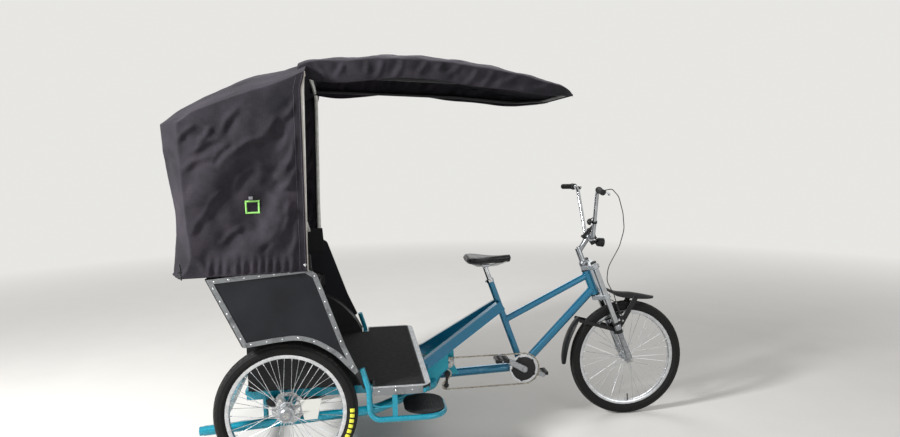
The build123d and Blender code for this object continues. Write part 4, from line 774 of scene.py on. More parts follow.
# %% Hood nets
side_steps, corner_steps, back_steps, up_steps = 64, 18, 112, 104
along = np.linspace(0, 1, side_steps + 1)
corner = np.linspace(0, 1, corner_steps + 1)[1:]
across = np.linspace(-BACK_FROM_Y, BACK_FROM_Y, back_steps + 1)
up = np.linspace(0, 1, up_steps + 1)[:, None]

side_top_x = ROOF_FRONT_X + (REAR_RIDGE[-1][1] - ROOF_FRONT_X) * along
side_z = hem_height(side_top_x) + (roof_height(side_top_x, HOOD_HALF) - hem_height(side_top_x)) * up
side_x = front_edge(side_z) + (eased(REAR_RIDGE, 1, side_z) - front_edge(side_z)) * along
corner_y = HOOD_HALF + (BACK_FROM_Y - HOOD_HALF) * corner
corner_top_x = REAR_RIDGE[-1][1] + (REAR_OUT[-1][1] - REAR_RIDGE[-1][1]) * corner
corner_z = HOOD_HEM_Z - 3 + (roof_height(corner_top_x, corner_y) - HOOD_HEM_Z + 3) * up
ridge_x, out_x = eased(REAR_RIDGE, 1, corner_z), eased(REAR_OUT, 1, corner_z)
corner_x = ridge_x + (out_x - ridge_x) * corner
back_top_x = REAR_OUT[-1][1] - BACK_BULGE * (1 - (across / BACK_FROM_Y) ** 2)
back_z = HOOD_HEM_Z - 3 + (roof_height(back_top_x, across) - HOOD_HEM_Z + 3) * up
back_x = eased(REAR_OUT, 1, back_z) - BACK_BULGE * (1 - (across / BACK_FROM_Y) ** 2)

right_wall = np.stack([side_x, np.full_like(side_x, -HOOD_HALF), side_z], -1)
right_corner = np.stack([corner_x, np.broadcast_to(-corner_y, corner_x.shape), corner_z], -1)
back_wall = np.stack([back_x, np.broadcast_to(across, back_x.shape), back_z], -1)[:, 1:-1]
flip = np.array([1, -1, 1])
walls = np.concatenate(
    [right_wall, right_corner, back_wall, right_corner[:, ::-1] * flip, right_wall[:, ::-1] * flip], 1
)
rim = walls[-1]
rear_rim = rim[side_steps:-side_steps]
reach = np.linspace(0, 1, side_steps + 1)[:, None]
roof_y = np.broadcast_to(rear_rim[:, 1], (side_steps + 1, len(rear_rim)))
roof_x = ROOF_FRONT_X + (rear_rim[:, 0] - ROOF_FRONT_X) * reach
roof = np.stack([roof_x, roof_y, roof_height(roof_x, roof_y)], -1)
print("wall net", walls.shape[:2], "roof net", roof.shape[:2])

# %% [markdown]
# The folds come next. The right wall hangs in a wide hollow that runs from the upper front corner down to
# the lower rear one, between two swells: one under the roof's edge and one along the front. Short creases
# fan from the rear corner and from the front band, and gathers stand above the hem. Heights are in
# millimetres proud of the plane, read between the places of the table by distance.

# %% Hood folds
SWELLS = [
    # forward of the axle, height, millimetres proud
    (-22, 1690, 15), (-142, 1639, 17), (-210, 1573, 18), (-286, 1481, 17), (-341, 1402, 13), (-60, 1760, 4),
    (28, 1649, -14), (2, 1502, -26), (-13, 1434, -30), (-57, 1340, -34), (-121, 1240, -32), (-216, 1161, -24),
    (-304, 1103, -12), (-90, 1480, -14), (-170, 1380, -16), (-250, 1290, -14), (80, 1700, -6),
    (73, 1635, 10), (54, 1474, 15), (15, 1338, 20), (-22, 1216, 20), (-112, 1137, 16), (60, 1250, 10),
    (80, 1110, 6), (-180, 1100, 10), (110, 1400, 0), (112, 1200, 0), (112, 1600, 0), (112, 1800, 0),
    (-300, 1640, 5), (-370, 1560, 6), (-330, 1250, -4), (-360, 1150, 0), (-350, 1040, 2), (-100, 1040, 4),
    (20, 1040, 3), (-200, 1740, 3), (-390, 1300, 0), (-395, 1450, 0), (-400, 1600, 0), (-390, 1120, 0),
]
CREASES = [
    # from x, z, to x, z, height, half width
    (-405, 1656, -358, 1695, 7, 15), (-356, 1734, -294, 1700, 6, 14), (-276, 1680, -310, 1641, 7, 13),
    (-218, 1680, -162, 1765, 6, 15), (-330, 1600, -250, 1640, 5, 15), (-380, 1520, -300, 1560, 5, 16),
    (-150, 1600, -60, 1640, 5, 14), (-250, 1540, -190, 1600, -5, 12), (99, 1789, 51, 1730, 7, 13),
    (100, 1635, 14, 1474, 7, 14), (94, 1486, 18, 1406, 8, 14), (99, 1438, 52, 1419, 6, 12),
    (60, 1330, -20, 1180, 6, 16), (40, 1280, -60, 1140, -5, 12), (90, 1240, 60, 1120, 5, 13),
    (-180, 1430, -120, 1500, 4, 14), (-10, 1690, 60, 1760, 5, 15), (-300, 1330, -240, 1400, 4, 14),
    (-370, 1230, -320, 1300, 4, 14), (-240, 1180, -180, 1230, 4, 13), (-380, 1110, -330, 1060, 5, 13),
]
GATHERS = [-310, -272, -235, -189, -156, -116, -83, -50, -16, 22, 60]
SWELL_GAIN = 1.3
CREASE_GAIN = 1.7


def swell(x, z, table, reach_mm=70):
    """Height of the cloth read from a table of places, each place counting more the nearer it is."""
    spots = np.asarray(table, float)
    near = (x[..., None] - spots[:, 0]) ** 2 + (z[..., None] - spots[:, 1]) ** 2
    weight = 1 / (near + reach_mm ** 2 / 4) ** 2
    return (weight * spots[:, 2]).sum(-1) / weight.sum(-1)


def creases(x, z, table):
    """Sum of narrow ridges along straight lines, each with a soft hollow beside it."""
    total = np.zeros_like(x)
    for x0, z0, x1, z1, height, width in table:
        run = math.hypot(x1 - x0, z1 - z0)
        u = ((x - x0) * (x1 - x0) + (z - z0) * (z1 - z0)) / run ** 2
        side = ((x - x0) * (z1 - z0) - (z - z0) * (x1 - x0)) / run
        bow = side + 0.08 * run * np.sin(np.pi * np.clip(u, 0, 1))
        past = np.maximum(np.maximum(-u, u - 1), 0) * run
        fade = np.exp(-(past / (1.6 * width)) ** 2)
        total += height * fade * (
            np.exp(-(bow / width) ** 2) - 0.45 * np.exp(-((bow - 1.9 * width) / (1.3 * width)) ** 2)
        )
    return total


def ripple(points, size_mm, seed):
    """Even noise of about the given size over an array of points, from -1 to 1."""
    flat = points.reshape(-1, 3) / size_mm + (seed, 0, 0)
    values = [noise.fractal(Vector(p), 0.9, 2.1, 3) for p in flat]
    return np.array(values).reshape(points.shape[:-1])


def edge_fade(value, low, high, width):
    """1 inside low..high and 0 at its ends, easing over width."""
    t = np.clip(np.minimum(value - low, high - value) / width, 0, 1)
    return t * t * (3 - 2 * t)


print(len(SWELLS), "swells,", len(CREASES), "creases,", len(GATHERS), "gathers")

# %% [markdown]
# The tables now push the wall net in and out. Each push fades towards the roof's edge, the hem and the
# front band, where the cloth is held. The back wall sags between its bows, and the roof sinks between them.

# %% Hood pushed into folds
GATHER_MM = 11
GATHER_WIDTH = 9
GATHER_Z = 1060
GATHER_BAND = 42
FINE_MM = 2.4
BROAD_MM = 5
DEEPEST_MM = -46
PROUDEST_MM = 36
BACK_SAG_MM = 16
BACK_GATHER_MM = 7
BACK_LEAN_MM = 6
ROOF_SAG_MM = 12
ROOF_RIPPLE_MM = 3
BOW_LINES = [-500, -150, 134]

wall_x, wall_y, wall_z = walls[..., 0].copy(), walls[..., 1], walls[..., 2].copy()
on_side = np.clip((np.abs(wall_y) - HOOD_HALF + 30) / 30, 0, 1)
top_fade = np.clip((roof_height(wall_x, HOOD_HALF) - wall_z) / 90, 0, 1)
proud = SWELL_GAIN * swell(wall_x, wall_z, SWELLS) * edge_fade(wall_x, -425, 106, 60)
proud = proud + CREASE_GAIN * creases(wall_x, wall_z, CREASES) * edge_fade(wall_x, -425, 104, 25)
proud = proud * top_fade
gather = sum(np.exp(-((wall_x - x - 0.1 * (wall_z - 1035)) / GATHER_WIDTH) ** 2) for x in GATHERS)
gather = gather * GATHER_MM * np.exp(-((wall_z - GATHER_Z) / GATHER_BAND) ** 2)
gather = gather * edge_fade(wall_x, -420, 104, 20)
fine = ripple(walls, 75, 3.0) * FINE_MM + ripple(walls, 230, 9.0) * BROAD_MM
fine = fine * np.clip((wall_z - HOOD_HEM_Z) / 60, 0.15, 1) * top_fade
outward = on_side * (proud + gather + fine * edge_fade(wall_x, -460, 108, 20))
walls[..., 1] += np.sign(wall_y) * np.clip(outward, DEEPEST_MM, PROUDEST_MM)

back_fade = np.clip((HOOD_HALF - 20 - np.abs(wall_y)) / 90, 0, 1)
sag = BACK_SAG_MM * np.sin(np.pi * np.clip((wall_z - HOOD_HEM_Z) / 640, 0, 1))
sag = sag * np.cos(np.pi * wall_y / 1240) ** 2
back_gather = BACK_GATHER_MM * np.sin(wall_y / 15.5 + np.sin(wall_y / 90))
back_gather = back_gather * np.exp(-((wall_z - 1050) / 48) ** 2)
lean = BACK_LEAN_MM * np.sin((wall_y + 0.5 * (wall_z - 1300)) / 62)
lean = lean * edge_fade(wall_z, 1080, 1660, 200)
walls[..., 0] += back_fade * (sag - 0.7 * fine - 0.6 * back_gather - 0.5 * lean) * top_fade ** 0.5

between = np.interp(roof[..., 0], BOW_LINES, [0, 1, 2])
slack = np.sin(np.pi * (between % 1)) ** 2 * np.cos(np.pi * roof[..., 1] / 1300) ** 2
inner = edge_fade(roof[..., 0], rear_rim[:, 0], ROOF_FRONT_X, 45) * edge_fade(
    roof[..., 1], -HOOD_HALF, HOOD_HALF, 60
)
roof_folds = ripple(roof, 110, 5.0) * ROOF_RIPPLE_MM + 2 * np.sin(roof[..., 1] / 34)
roof[..., 2] += inner * roof_folds - ROOF_SAG_MM * slack
print("right wall stands", round(float(outward.max()), 1), "to", round(float(outward.min()), 1), "mm proud")

# %% [markdown]
# The two nets are joined along their rim, and the cloth gets its flat coordinates in metres for the weave.
# A Solidify modifier gives it the thickness of lined canvas. A rope hem, a stitched band along the front
# edge and the small tape loop on the side are pieces of their own that follow the same net.

# %% Hood cover
CLOTH_MM = 2.5


def make_sheet(name, nets, looks, slot, body, thickness_mm):
    """Nets of points joined into one sheet with flat coordinates, and thickness towards the inside."""
    cloth = Piece()
    flats = []
    for net in nets:
        cloth.grid(net)
        down = np.linalg.norm(np.diff(net, axis=0, prepend=net[:1]), axis=-1).cumsum(0)
        sideways = np.linalg.norm(np.diff(net, axis=1, prepend=net[:, :1]), axis=-1).cumsum(1)
        flats.append(np.stack([sideways, down], -1).reshape(-1, 2) / 1000)
    piece = cloth.finish(name, looks, body, slot, sharp_deg=75, sheet=True)
    mesh = piece.data
    flat = np.vstack(flats)
    corners = np.empty(len(mesh.loops), int)
    mesh.loops.foreach_get("vertex_index", corners)
    layer = mesh.uv_layers.new(name="flat")
    layer.data.foreach_set("uv", flat[corners].astype(np.float32).ravel())
    shaped = bmesh.new()
    shaped.from_mesh(mesh)
    bmesh.ops.remove_doubles(shaped, verts=shaped.verts, dist=0.0002)
    bmesh.ops.recalc_face_normals(shaped, faces=shaped.faces)
    shaped.to_mesh(mesh)
    shaped.free()
    skin = piece.modifiers.new("cloth thickness", "SOLIDIFY")
    skin.thickness = thickness_mm / 1000
    skin.offset = -1
    return piece


hood_cover = make_sheet("hood_canvas", [walls, roof[:, ::-1]], "canvas", "canvas", "chassis", CLOTH_MM)
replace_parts(hood_cover, "hood_cover")

trim = Piece()
trim.tube(walls[0] + (0, 0, 1.5), 4.5, 8)
front_column = walls[:, 0]
trim.tube(front_column + (0, -1.5, 0), 3.2, 8)
trim.tube(walls[:, -1] + (0, 1.5, 0), 3.2, 8)
hood_hem = trim.finish("hood_hem", "canvas", "chassis", "canvas")

# %% [markdown]
# The awning is a second sheet. It laps over the hood's front edge, is pulled over a long hoop and narrows to
# a rounded peak above the front wheel. Its side hangs down as a valance with slanting pull lines between
# the ties.

# %% Awning
AWNING = [
    # forward of the axle, half width, hem height, shoulder height, crown height
    (104, 470, 1930, 1971, 2034), (138, 470, 1922, 1990, 2044), (300, 468, 1905, 2002, 2060),
    (420, 467, 1908, 2006, 2070),
    (590, 465, 1926, 2012, 2078), (700, 460, 1918, 2004, 2074), (840, 455, 1900, 1992, 2062),
    (1000, 445, 1880, 1968, 2035), (1170, 428, 1858, 1940, 2002), (1300, 405, 1846, 1912, 1966),
    (1400, 362, 1842, 1892, 1938), (1460, 316, 1844, 1878, 1916), (1495, 272, 1848, 1867, 1896),
    (1510, 246, 1850, 1860, 1882),
]
AWNING_CREASES = [
    # from x, z, to x, z, height, half width
    (598, 2005, 568, 1941, 6, 13), (712, 1992, 687, 1960, 6, 12), (790, 1992, 773, 1968, 5, 12),
    (877, 1984, 830, 1944, 6, 13), (1157, 1927, 1085, 1898, 6, 13), (1328, 1889, 1208, 1873, 5, 13),
    (312, 1977, 292, 1949, 5, 11), (432, 1985, 432, 1961, 5, 11), (500, 1990, 480, 1940, 5, 12),
    (960, 1955, 920, 1905, 5, 12), (1040, 1945, 1000, 1895, 5, 12), (200, 1975, 230, 1925, 5, 12),
]
FLUTTER_MM = 3.5
PULL_MM = 1.6
TOP_LINES_MM = 2.5
TOP_RIPPLE_MM = 6
long_steps, drop_steps, over_steps = 150, 9, 84
station = np.linspace(AWNING[0][0], AWNING[-1][0], long_steps + 1)[:, None]
half, hem, shoulder, crown = (eased(AWNING, column, station) for column in (1, 2, 3, 4))
drop = np.linspace(0, 1, drop_steps + 1)[None, :-1]
over = np.linspace(-1, 1, over_steps + 1)[None, :]
eave_z = hem + (shoulder - hem) * drop
over_y = half * np.sin(over * np.pi / 2)
over_z = shoulder + (crown - shoulder) * np.cos(over * np.pi / 2) ** 1.25
rows_y = np.concatenate([-half + 0 * drop, over_y, (half + 0 * drop)[:, ::-1]], 1)
rows_z = np.concatenate([eave_z, over_z, eave_z[:, ::-1]], 1)
rows_x = np.broadcast_to(station, rows_y.shape)
awning = np.stack([rows_x, rows_y, rows_z], -1)
valance = np.clip((shoulder + 25 - awning[..., 2]) / 40, 0, 1)
flutter = CREASE_GAIN * creases(awning[..., 0], awning[..., 2], AWNING_CREASES)
flutter = flutter + ripple(awning, 60, 2.0) * FLUTTER_MM
mid_flutter = np.sin(awning[..., 0] / 21 + 0.02 * awning[..., 2]) * PULL_MM
ends = edge_fade(awning[..., 0], AWNING[0][0], 1505, 90)
awning[..., 1] += np.sign(awning[..., 1]) * valance * ends * (flutter + mid_flutter)
top = 1 - valance
lines = TOP_LINES_MM * np.sin((awning[..., 0] + 0.35 * np.abs(awning[..., 1])) / 30)
lines = lines + ripple(awning, 140, 6.0) * TOP_RIPPLE_MM
awning[..., 2] += top * ends * (lines - 4)
awning[..., 2] += (1 - top) * ends * 3 * np.sin(awning[..., 0] / 55)
nose = awning[-1].copy()
nose_rows = [nose + (4, 0, -2), nose + (5, 0, -6)]
low_nose = nose.copy()
low_nose[:, 0] += 5
low_nose[:, 2] = np.minimum(nose[:, 2] - 8, np.maximum(1850, nose[:, 2] - 34))
nose_rows.append(low_nose)
awning = np.concatenate([awning, np.array(nose_rows)], 0)
awning_cover = make_sheet("awning_canvas", [awning], "canvas", "canvas", "chassis", CLOTH_MM)
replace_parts(awning_cover, "awning_cover")

trim = Piece()
for column in (0, -1):
    trim.tube(awning[:-3, column] + (0, 0, 2), 4.0, 8)
awning_hem = trim.finish("awning_hem", "canvas", "chassis", "canvas")

# %% [markdown]
# The tyres are moulded rubber, 62 mm wide, with a road tread: an unbroken centre rib, a groove on each side
# and two rows of blocks that slits cut into chevrons. One net of points goes round the wheel. Its rows
# repeat a block's few steps, with the slit as the low ones, and its columns follow the tyre's section from
# bead to bead, so real grooves cost no more faces than a smooth tyre of the same fineness.

# %% Tread tables
TREAD_ROWS = [
    # degrees from the crown, height over the carcass in mm, share of a slit's depth
    (0, 2.0, 0), (7, 2.0, 0), (8.5, -1.2, 0), (12, -1.2, 0), (13.5, 2.0, 1), (27, 2.0, 1), (28.5, -1.0, 0),
    (31, -1.0, 0), (32.5, 1.9, 1), (40, 1.7, 1), (47, 1.3, 1), (51, 0.1, 0), (58, 0.0, 0), (67, 0.1, 0),
    (69, 0.7, 0), (72, 0.7, 0), (74, 0.1, 0), (90, 0.3, 0), (104, 0.1, 0), (107, 0.7, 0), (111, 0.7, 0),
    (114, 0.0, 0), (126, 0.0, 0), (137, 0.0, 0),
]
BLOCKS = 60
BLOCK_STEPS = [0.0, 0.14, 0.2, 0.57, 0.94]
BLOCK_SLIT = [1, 1, 0, 0, 0]
SLIT_MM = 2.6
SLIT_LEAN = 0.0016
TREAD_MM = 2
SECTION_R = TYRE_W / 2
RING_R = TYRE_R - SECTION_R
BEAD = [(285.9, 19.8), (285.9, 12.8), (280.0, 12.8)]
TREAD_TO_DEG = 49
WHEELS = [
    # name, node, body, centre, side that faces out
    ("front_tyre_tread", "front_tyre", "front_wheel", (WHEELBASE, 0, TYRE_R), -1),
    ("rear_tyre_tread_right", "rear_tyre_right", "rear_wheel_right", (0, -TRACK_HALF, TYRE_R), -1),
    ("rear_tyre_tread_left", "rear_tyre_left", "rear_wheel_left", (0, TRACK_HALF, TYRE_R), 1),
]
SIDE_MARKS = [
    # degrees along the tyre where a bar starts and ends, degrees from the crown where it starts and ends
    (-26, -22.6, 64, 110), (-21.2, -17.8, 64, 110), (-16.4, -13, 64, 110), (-11.6, -8.2, 64, 110),
    (-6.8, -3.4, 64, 110), (-2, 1.4, 64, 110),
]

print(BLOCKS, "blocks round each tyre")

# %% [markdown]
# The road rubs the tread, so its rubber is greyer and rougher than the sidewall's. Dust lies on it in
# patches about 18 mm across.

# %% Tread rubber
TREAD_DUST_PER_M = 55
tread_rubber, tree, place = start_finish("road_worn_tread_rubber")
dust = add_node(
    tree, "TexNoise", {"Scale": TREAD_DUST_PER_M, "Detail": 7, "Roughness": 0.7}, {"Vector": place}
)
amount = add_node(tree, "MapRange", {"From Min": 0.38, "From Max": 0.66}, {"Value": dust})
colour = add_node(tree, "Mix", {"data_type": "RGBA", "A": "#101011", "B": "#232220"}, {0: amount})
relief = add_node(tree, "Bump", {"Distance": 0.0004, "Strength": 0.5}, {"Height": dust})
surface = add_node(tree, "BsdfPrincipled", {"Roughness": 0.86}, {"Base Color": colour, "Normal": relief})
add_node(tree, "OutputMaterial", {}, {"Surface": surface})
finishes["tread_rubber"] = tread_rubber
print("made", tread_rubber.name)

# %% [markdown]
# The table's rows are mirrored to the tyre's other side, and a few points on each side close the section
# round the bead. The turns repeat a block's steps all the way round. A wheel's place comes in last, so one
# net serves three tyres. The rear tyres also carry the printed bars of their sidewalls.

# %% Tyres
BAR_LOW_MM = 0.5
BAR_MM = 0.4
tread = np.array(TREAD_ROWS, float)
tread = np.vstack([tread[:0:-1] * (-1, 1, 1), tread])
turns = 2 * np.pi * (np.arange(BLOCKS)[:, None] + BLOCK_STEPS).ravel() / BLOCKS
slits = np.tile(BLOCK_SLIT, BLOCKS)[:, None]
bend = np.radians(tread[:, 0])
reach = SECTION_R - TREAD_MM + tread[:, 1] - SLIT_MM * slits * tread[:, 2]
angles = turns[:, None] + SLIT_LEAN * np.minimum(np.abs(tread[:, 0]), TREAD_TO_DEG)
radii = RING_R + reach * np.cos(bend)
offsets = reach * np.sin(bend)
bead = np.array(BEAD)
low_bead = np.stack(
    [angles[:, :1] + 0 * bead[:, 0], 0 * turns[:, None] + bead[::-1, 0], 0 * turns[:, None] - bead[::-1, 1]]
)
high_bead = np.stack(
    [angles[:, -1:] + 0 * bead[:, 0], 0 * turns[:, None] + bead[:, 0], 0 * turns[:, None] + bead[:, 1]]
)
around_tyre, out_tyre, across_tyre = np.concatenate([low_bead, [angles, radii, offsets], high_bead], 2)
road = np.concatenate(
    [[0] * 3, np.abs((tread[:-1, 0] + tread[1:, 0]) / 2) < TREAD_TO_DEG, [0] * 4]
).astype(int)


def on_wheel(centre, turn, radius, y):
    """Points at a turn in radians, a distance from the wheel's axis and a distance along it."""
    return np.stack(
        [centre[0] + radius * np.cos(turn), centre[1] + y + 0 * turn, centre[2] + radius * np.sin(turn)], -1
    )


for name, node, body, centre, out_side in WHEELS:
    tyre = Piece()
    tyre.grid(on_wheel(centre, around_tyre, out_tyre, across_tyre), closed_rows=True, closed_columns=True)
    tyre.looks = road.tolist() * len(turns)
    tyre.look = 2
    for start, stop, high, low in SIDE_MARKS if body != "front_wheel" else []:
        along_bar = np.radians(np.linspace(start, stop, 5))[:, None]
        over_bar = np.radians(np.linspace(high, low, 7))[None]
        face = np.zeros((5, 7))
        face[1:-1, 1:-1] = 1
        bar_reach = SECTION_R - TREAD_MM + BAR_LOW_MM + BAR_MM * face
        tyre.grid(
            on_wheel(
                centre, along_bar + 0 * over_bar, RING_R + bar_reach * np.cos(over_bar),
                out_side * bar_reach * np.sin(over_bar),
            )
        )
    piece = tyre.finish(
        name, ["tyre_rubber", "tread_rubber", "yellow_sidewall_print"], body, "tyre_rubber", 30
    )
    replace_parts(piece, node)

# %% [markdown]
# A laced wheel is a box-section rim, a hub with two flanges and 36 or 48 stainless spokes. Each spoke
# starts with a head in a flange hole, bends over the flange's edge and crosses three others on its way to a
# nipple in the rim. Loops over the spoke number lay them out, as the CAD source does. The rim's polished
# walls and the dull cast hub get their own finishes. A clip-on reflector sits between the spokes of each
# rear wheel.

# %% Laced wheels
RIM_SECTION = [
    # distance from the axis, along it
    (285.3, -15.2), (284.4, -15.9), (273, -16), (267, -13), (264.2, -8), (263.5, 0), (264.2, 8), (267, 13),
    (273, 16), (284.4, 15.9), (285.3, 15.2), (285, 13.3), (283.4, 12.9), (279.6, 12.9), (279.4, 0),
    (279.6, -12.9), (283.4, -12.9), (285, -13.3),
]
RIM_IN = 263.5
SPOKE_R = 1.35
CROSSINGS = 3
LACED = [
    # name, node, number of its wheel, spokes, flange radius, hub half width, barrel radius, bore radius,
    # degrees of the valve
    ("front_spoked_rim", "front_laced_rim", 0, 36, 26, 50, 15, 6.3, -87),
    ("rear_spoked_rim_right", "rear_laced_rim_right", 1, 48, 39, 47, 27, 12.5, 41),
    ("rear_spoked_rim_left", "rear_laced_rim_left", 2, 48, 39, 47, 27, 12.5, 141),
]
VALVE = [(0, -2), (4.2, -2), (4.2, 2), (3.2, 4), (3.0, 24), (3.9, 25), (3.9, 36), (0, 38)]
REFLECTOR = [(84, -34), (146, -32), (168, 66), (66, 64)]


def lace(wheel, centre, spokes, flange_r, flange_y):
    """Spokes and nipples between the hub's flanges and the rim."""
    centre = np.array(centre)
    for number in range(spokes):
        side = 1 if number % 2 else -1
        lean = 1 if number % 4 < 2 else -1
        rim_turn = 2 * math.pi * number / spokes
        hub_turn = rim_turn + lean * CROSSINGS * 2 * math.pi / spokes
        hub_dir = np.array([math.cos(hub_turn), 0, math.sin(hub_turn)])
        rim_dir = np.array([math.cos(rim_turn), 0, math.sin(rim_turn)])
        hole = centre + hub_dir * (flange_r - 4)
        seat = centre + rim_dir * (RIM_IN + 3) + (0, side * 2.5, 0)
        elbow = hole + (seat - hole) / np.linalg.norm(seat - hole) * 4
        flange = flange_y + 2
        head = hole + (0, side * (flange - 3 * lean), 0)
        bend = hole + (0, side * (flange + 2.4 * lean), 0)
        leave = elbow + (0, side * (flange + 3.4 * lean), 0)
        wheel.look = 1
        wheel.tube([head, bend, leave, seat], [2.4, SPOKE_R, SPOKE_R, SPOKE_R], 6)
        back = (elbow - seat) / np.linalg.norm(elbow - seat)
        wheel.tube([seat, seat + back * 5, seat + back * 15], [2.5, 2.3, 2.0], 8)


for name, node, number, spokes, flange_r, hub_half, barrel_r, bore_r, valve_deg in LACED:
    body, centre, out_side = WHEELS[number][2:]
    wheel = Piece()
    wheel.turned(RIM_SECTION, centre, around=144, ring=True)
    flange_y = hub_half - 14
    lace(wheel, centre, spokes, flange_r, flange_y)
    wheel.look = 2
    half_hub = [
        (barrel_r * 0.9, 0), (barrel_r * 0.9, flange_y - 14), (barrel_r, flange_y - 7),
        (barrel_r + 3, flange_y - 2), (flange_r - 1, flange_y - 0.4), (flange_r, flange_y + 0.6),
        (flange_r, flange_y + 3.4), (flange_r - 1, flange_y + 4.2), (barrel_r + 2, flange_y + 5),
        (barrel_r * 0.92, hub_half - 5), (barrel_r * 0.8, hub_half - 0.5), (bore_r, hub_half - 0.5),
    ]
    hub = [(r, -y) for r, y in half_hub[::-1]] + half_hub[1:]
    wheel.turned(hub, centre, around=40, ring=True)
    turn = math.radians(valve_deg)
    out = np.array([math.cos(turn), 0, math.sin(turn)])
    wheel.look = 3
    wheel.turned(VALVE, np.array(centre) + out * (RIM_IN + 1), -out, 14)
    if body != "front_wheel":
        wheel.look = 4
        wheel.plate(REFLECTOR, np.array(centre) + (0, out_side * 24, 0), (1, 0, 0), (0, 0, 1), 8, 1.5)
    looks = ["polished_aluminium", "stainless_spoke_steel", "cast_aluminium", "grip_rubber", "reflector"]
    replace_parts(wheel.finish(name, looks, body, "bright_alloy", 34), node)

# %% [markdown]
# Two roller chains drive the cab: a long one from the chainring over a spring tensioner to the jackshaft,
# and one from the jackshaft back to the differential. A roller chain is pairs of figure-of-eight plates on
# pins, inner and outer pairs by turns, 12.7 mm from pin to pin. The pins are laid along the same tangents
# and arcs that the CAD source uses, and each pair of pins gets its two plates and a roller.

# %% Chains
PITCH = 12.7
CRANK_AXIS = (1284, 321)
JACK_AXIS = (851, 378)
PULLEYS = [(841, 318), (833, 250)]
PULLEY_PITCH_R = 22
FRONT_CHAIN_Y, REAR_CHAIN_Y = -52, 40


def pitch_radius(teeth):
    return PITCH / (2 * math.sin(math.pi / teeth))


FRONT_LOOP = [
    # forward of the axle, height, pitch radius, negative where the chain passes the other way round
    (*CRANK_AXIS, pitch_radius(44)), (*PULLEYS[1], PULLEY_PITCH_R), (*PULLEYS[0], -PULLEY_PITCH_R),
    (*JACK_AXIS, pitch_radius(15)),
]
REAR_LOOP = [(*JACK_AXIS, pitch_radius(13)), (0, TYRE_R, pitch_radius(28))]
PLATE_OUTLINE = round_points(4.1, range(70, 291, 44), (-PITCH / 2, 0))
PLATE_OUTLINE += [(0, -2.9)] + [(-x, -z) for x, z in PLATE_OUTLINE] + [(0, 2.9)]


def pins_along(wheels):
    """Pin places one pitch apart along a chain that runs clockwise over its wheels."""
    count = len(wheels)
    runs = []
    for index, (x, z, radius) in enumerate(wheels):
        next_x, next_z, next_r = wheels[(index + 1) % count]
        span = math.hypot(next_x - x, next_z - z)
        turn = math.atan2(next_z - z, next_x - x) + math.acos((radius - next_r) / span)
        side = np.array([math.cos(turn), math.sin(turn)])
        runs.append((np.array([x, z]) + radius * side, np.array([next_x, next_z]) + next_r * side))
    route = []
    for index, (x, z, radius) in enumerate(wheels):
        arrive, leave = runs[index - 1][1], runs[index][0]
        start = math.atan2(arrive[1] - z, arrive[0] - x)
        end = math.atan2(leave[1] - z, leave[0] - x)
        swing = (start - end) % (2 * math.pi) if radius > 0 else -((end - start) % (2 * math.pi))
        turn = start - swing * np.linspace(0, 1, 40)
        route += list(np.array([x, z]) + abs(radius) * np.stack([np.cos(turn), np.sin(turn)], -1))
    route = np.array(route + route[:1])
    walked = np.concatenate([[0], np.linalg.norm(np.diff(route, axis=0), axis=1).cumsum()])
    links = 2 * round(walked[-1] / PITCH / 2)
    marks = np.linspace(0, walked[-1], links + 1)[:-1]
    return np.stack([np.interp(marks, walked, route[:, i]) for i in (0, 1)], -1)


print("chain loops over", len(FRONT_LOOP), "and", len(REAR_LOOP), "wheels")

# %% [markdown]
# Two neighbouring pins get two plates, set wide or narrow by turns. Each place gets a roller and a thin pin
# through it, whose ends show on both sides.

# %% Chain links
LINK_ASIDE = (3.3, 2.5)
chain = Piece()
for y, wheels in ((FRONT_CHAIN_Y, FRONT_LOOP), (REAR_CHAIN_Y, REAR_LOOP)):
    pins = pins_along(wheels)
    for number, pin in enumerate(pins):
        after = pins[(number + 1) % len(pins)]
        middle = (pin + after) / 2
        run = (after - pin) / np.linalg.norm(after - pin)
        for side in (-1, 1):
            aside = side * LINK_ASIDE[number % 2]
            chain.plate(
                PLATE_OUTLINE, (middle[0], y + aside, middle[1]), (run[0], 0, run[1]), (-run[1], 0, run[0]),
                0.8, 0.15
            )
        chain.turned([(0, -2.1), (3.8, -2.1), (3.8, 2.1), (0, 2.1)], (pin[0], y, pin[1]), around=10)
        chain.turned([(0, -3.9), (1.8, -3.9), (1.8, 3.9), (0, 3.9)], (pin[0], y, pin[1]), around=6)
    print("chain of", len(pins), "links")
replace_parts(chain.finish("roller_chains", "chain_steel", "chassis", "steel", 30), "drive_chains")

# %% [markdown]
# The crankset has a dark ring with five arms inside a bright toothed rim, as the photograph shows, and two
# forged arms that taper from the bracket to the pedal. The teeth stop just short of the rollers, because
# the ring turns on its own here while the chain stands still. One function makes a flat ring whose outer
# radius may rise and fall, and the sprockets and the brake discs use it too.

# %% Cranks
def flat_ring(piece, centre, turn, outer_r, outer_mm, inner_r, inner_mm):
    """A ring round a wheel's axis, with an outer radius for each turn and a thickness for each edge."""
    inner_r = 0 * outer_r + inner_r
    edges = ((outer_r, -outer_mm), (outer_r, outer_mm), (inner_r, inner_mm), (inner_r, -inner_mm))
    rows = [on_wheel(np.array(centre), turn, radius, y / 2) for radius, y in edges]
    piece.grid(np.array(rows), closed_rows=True, closed_columns=True)


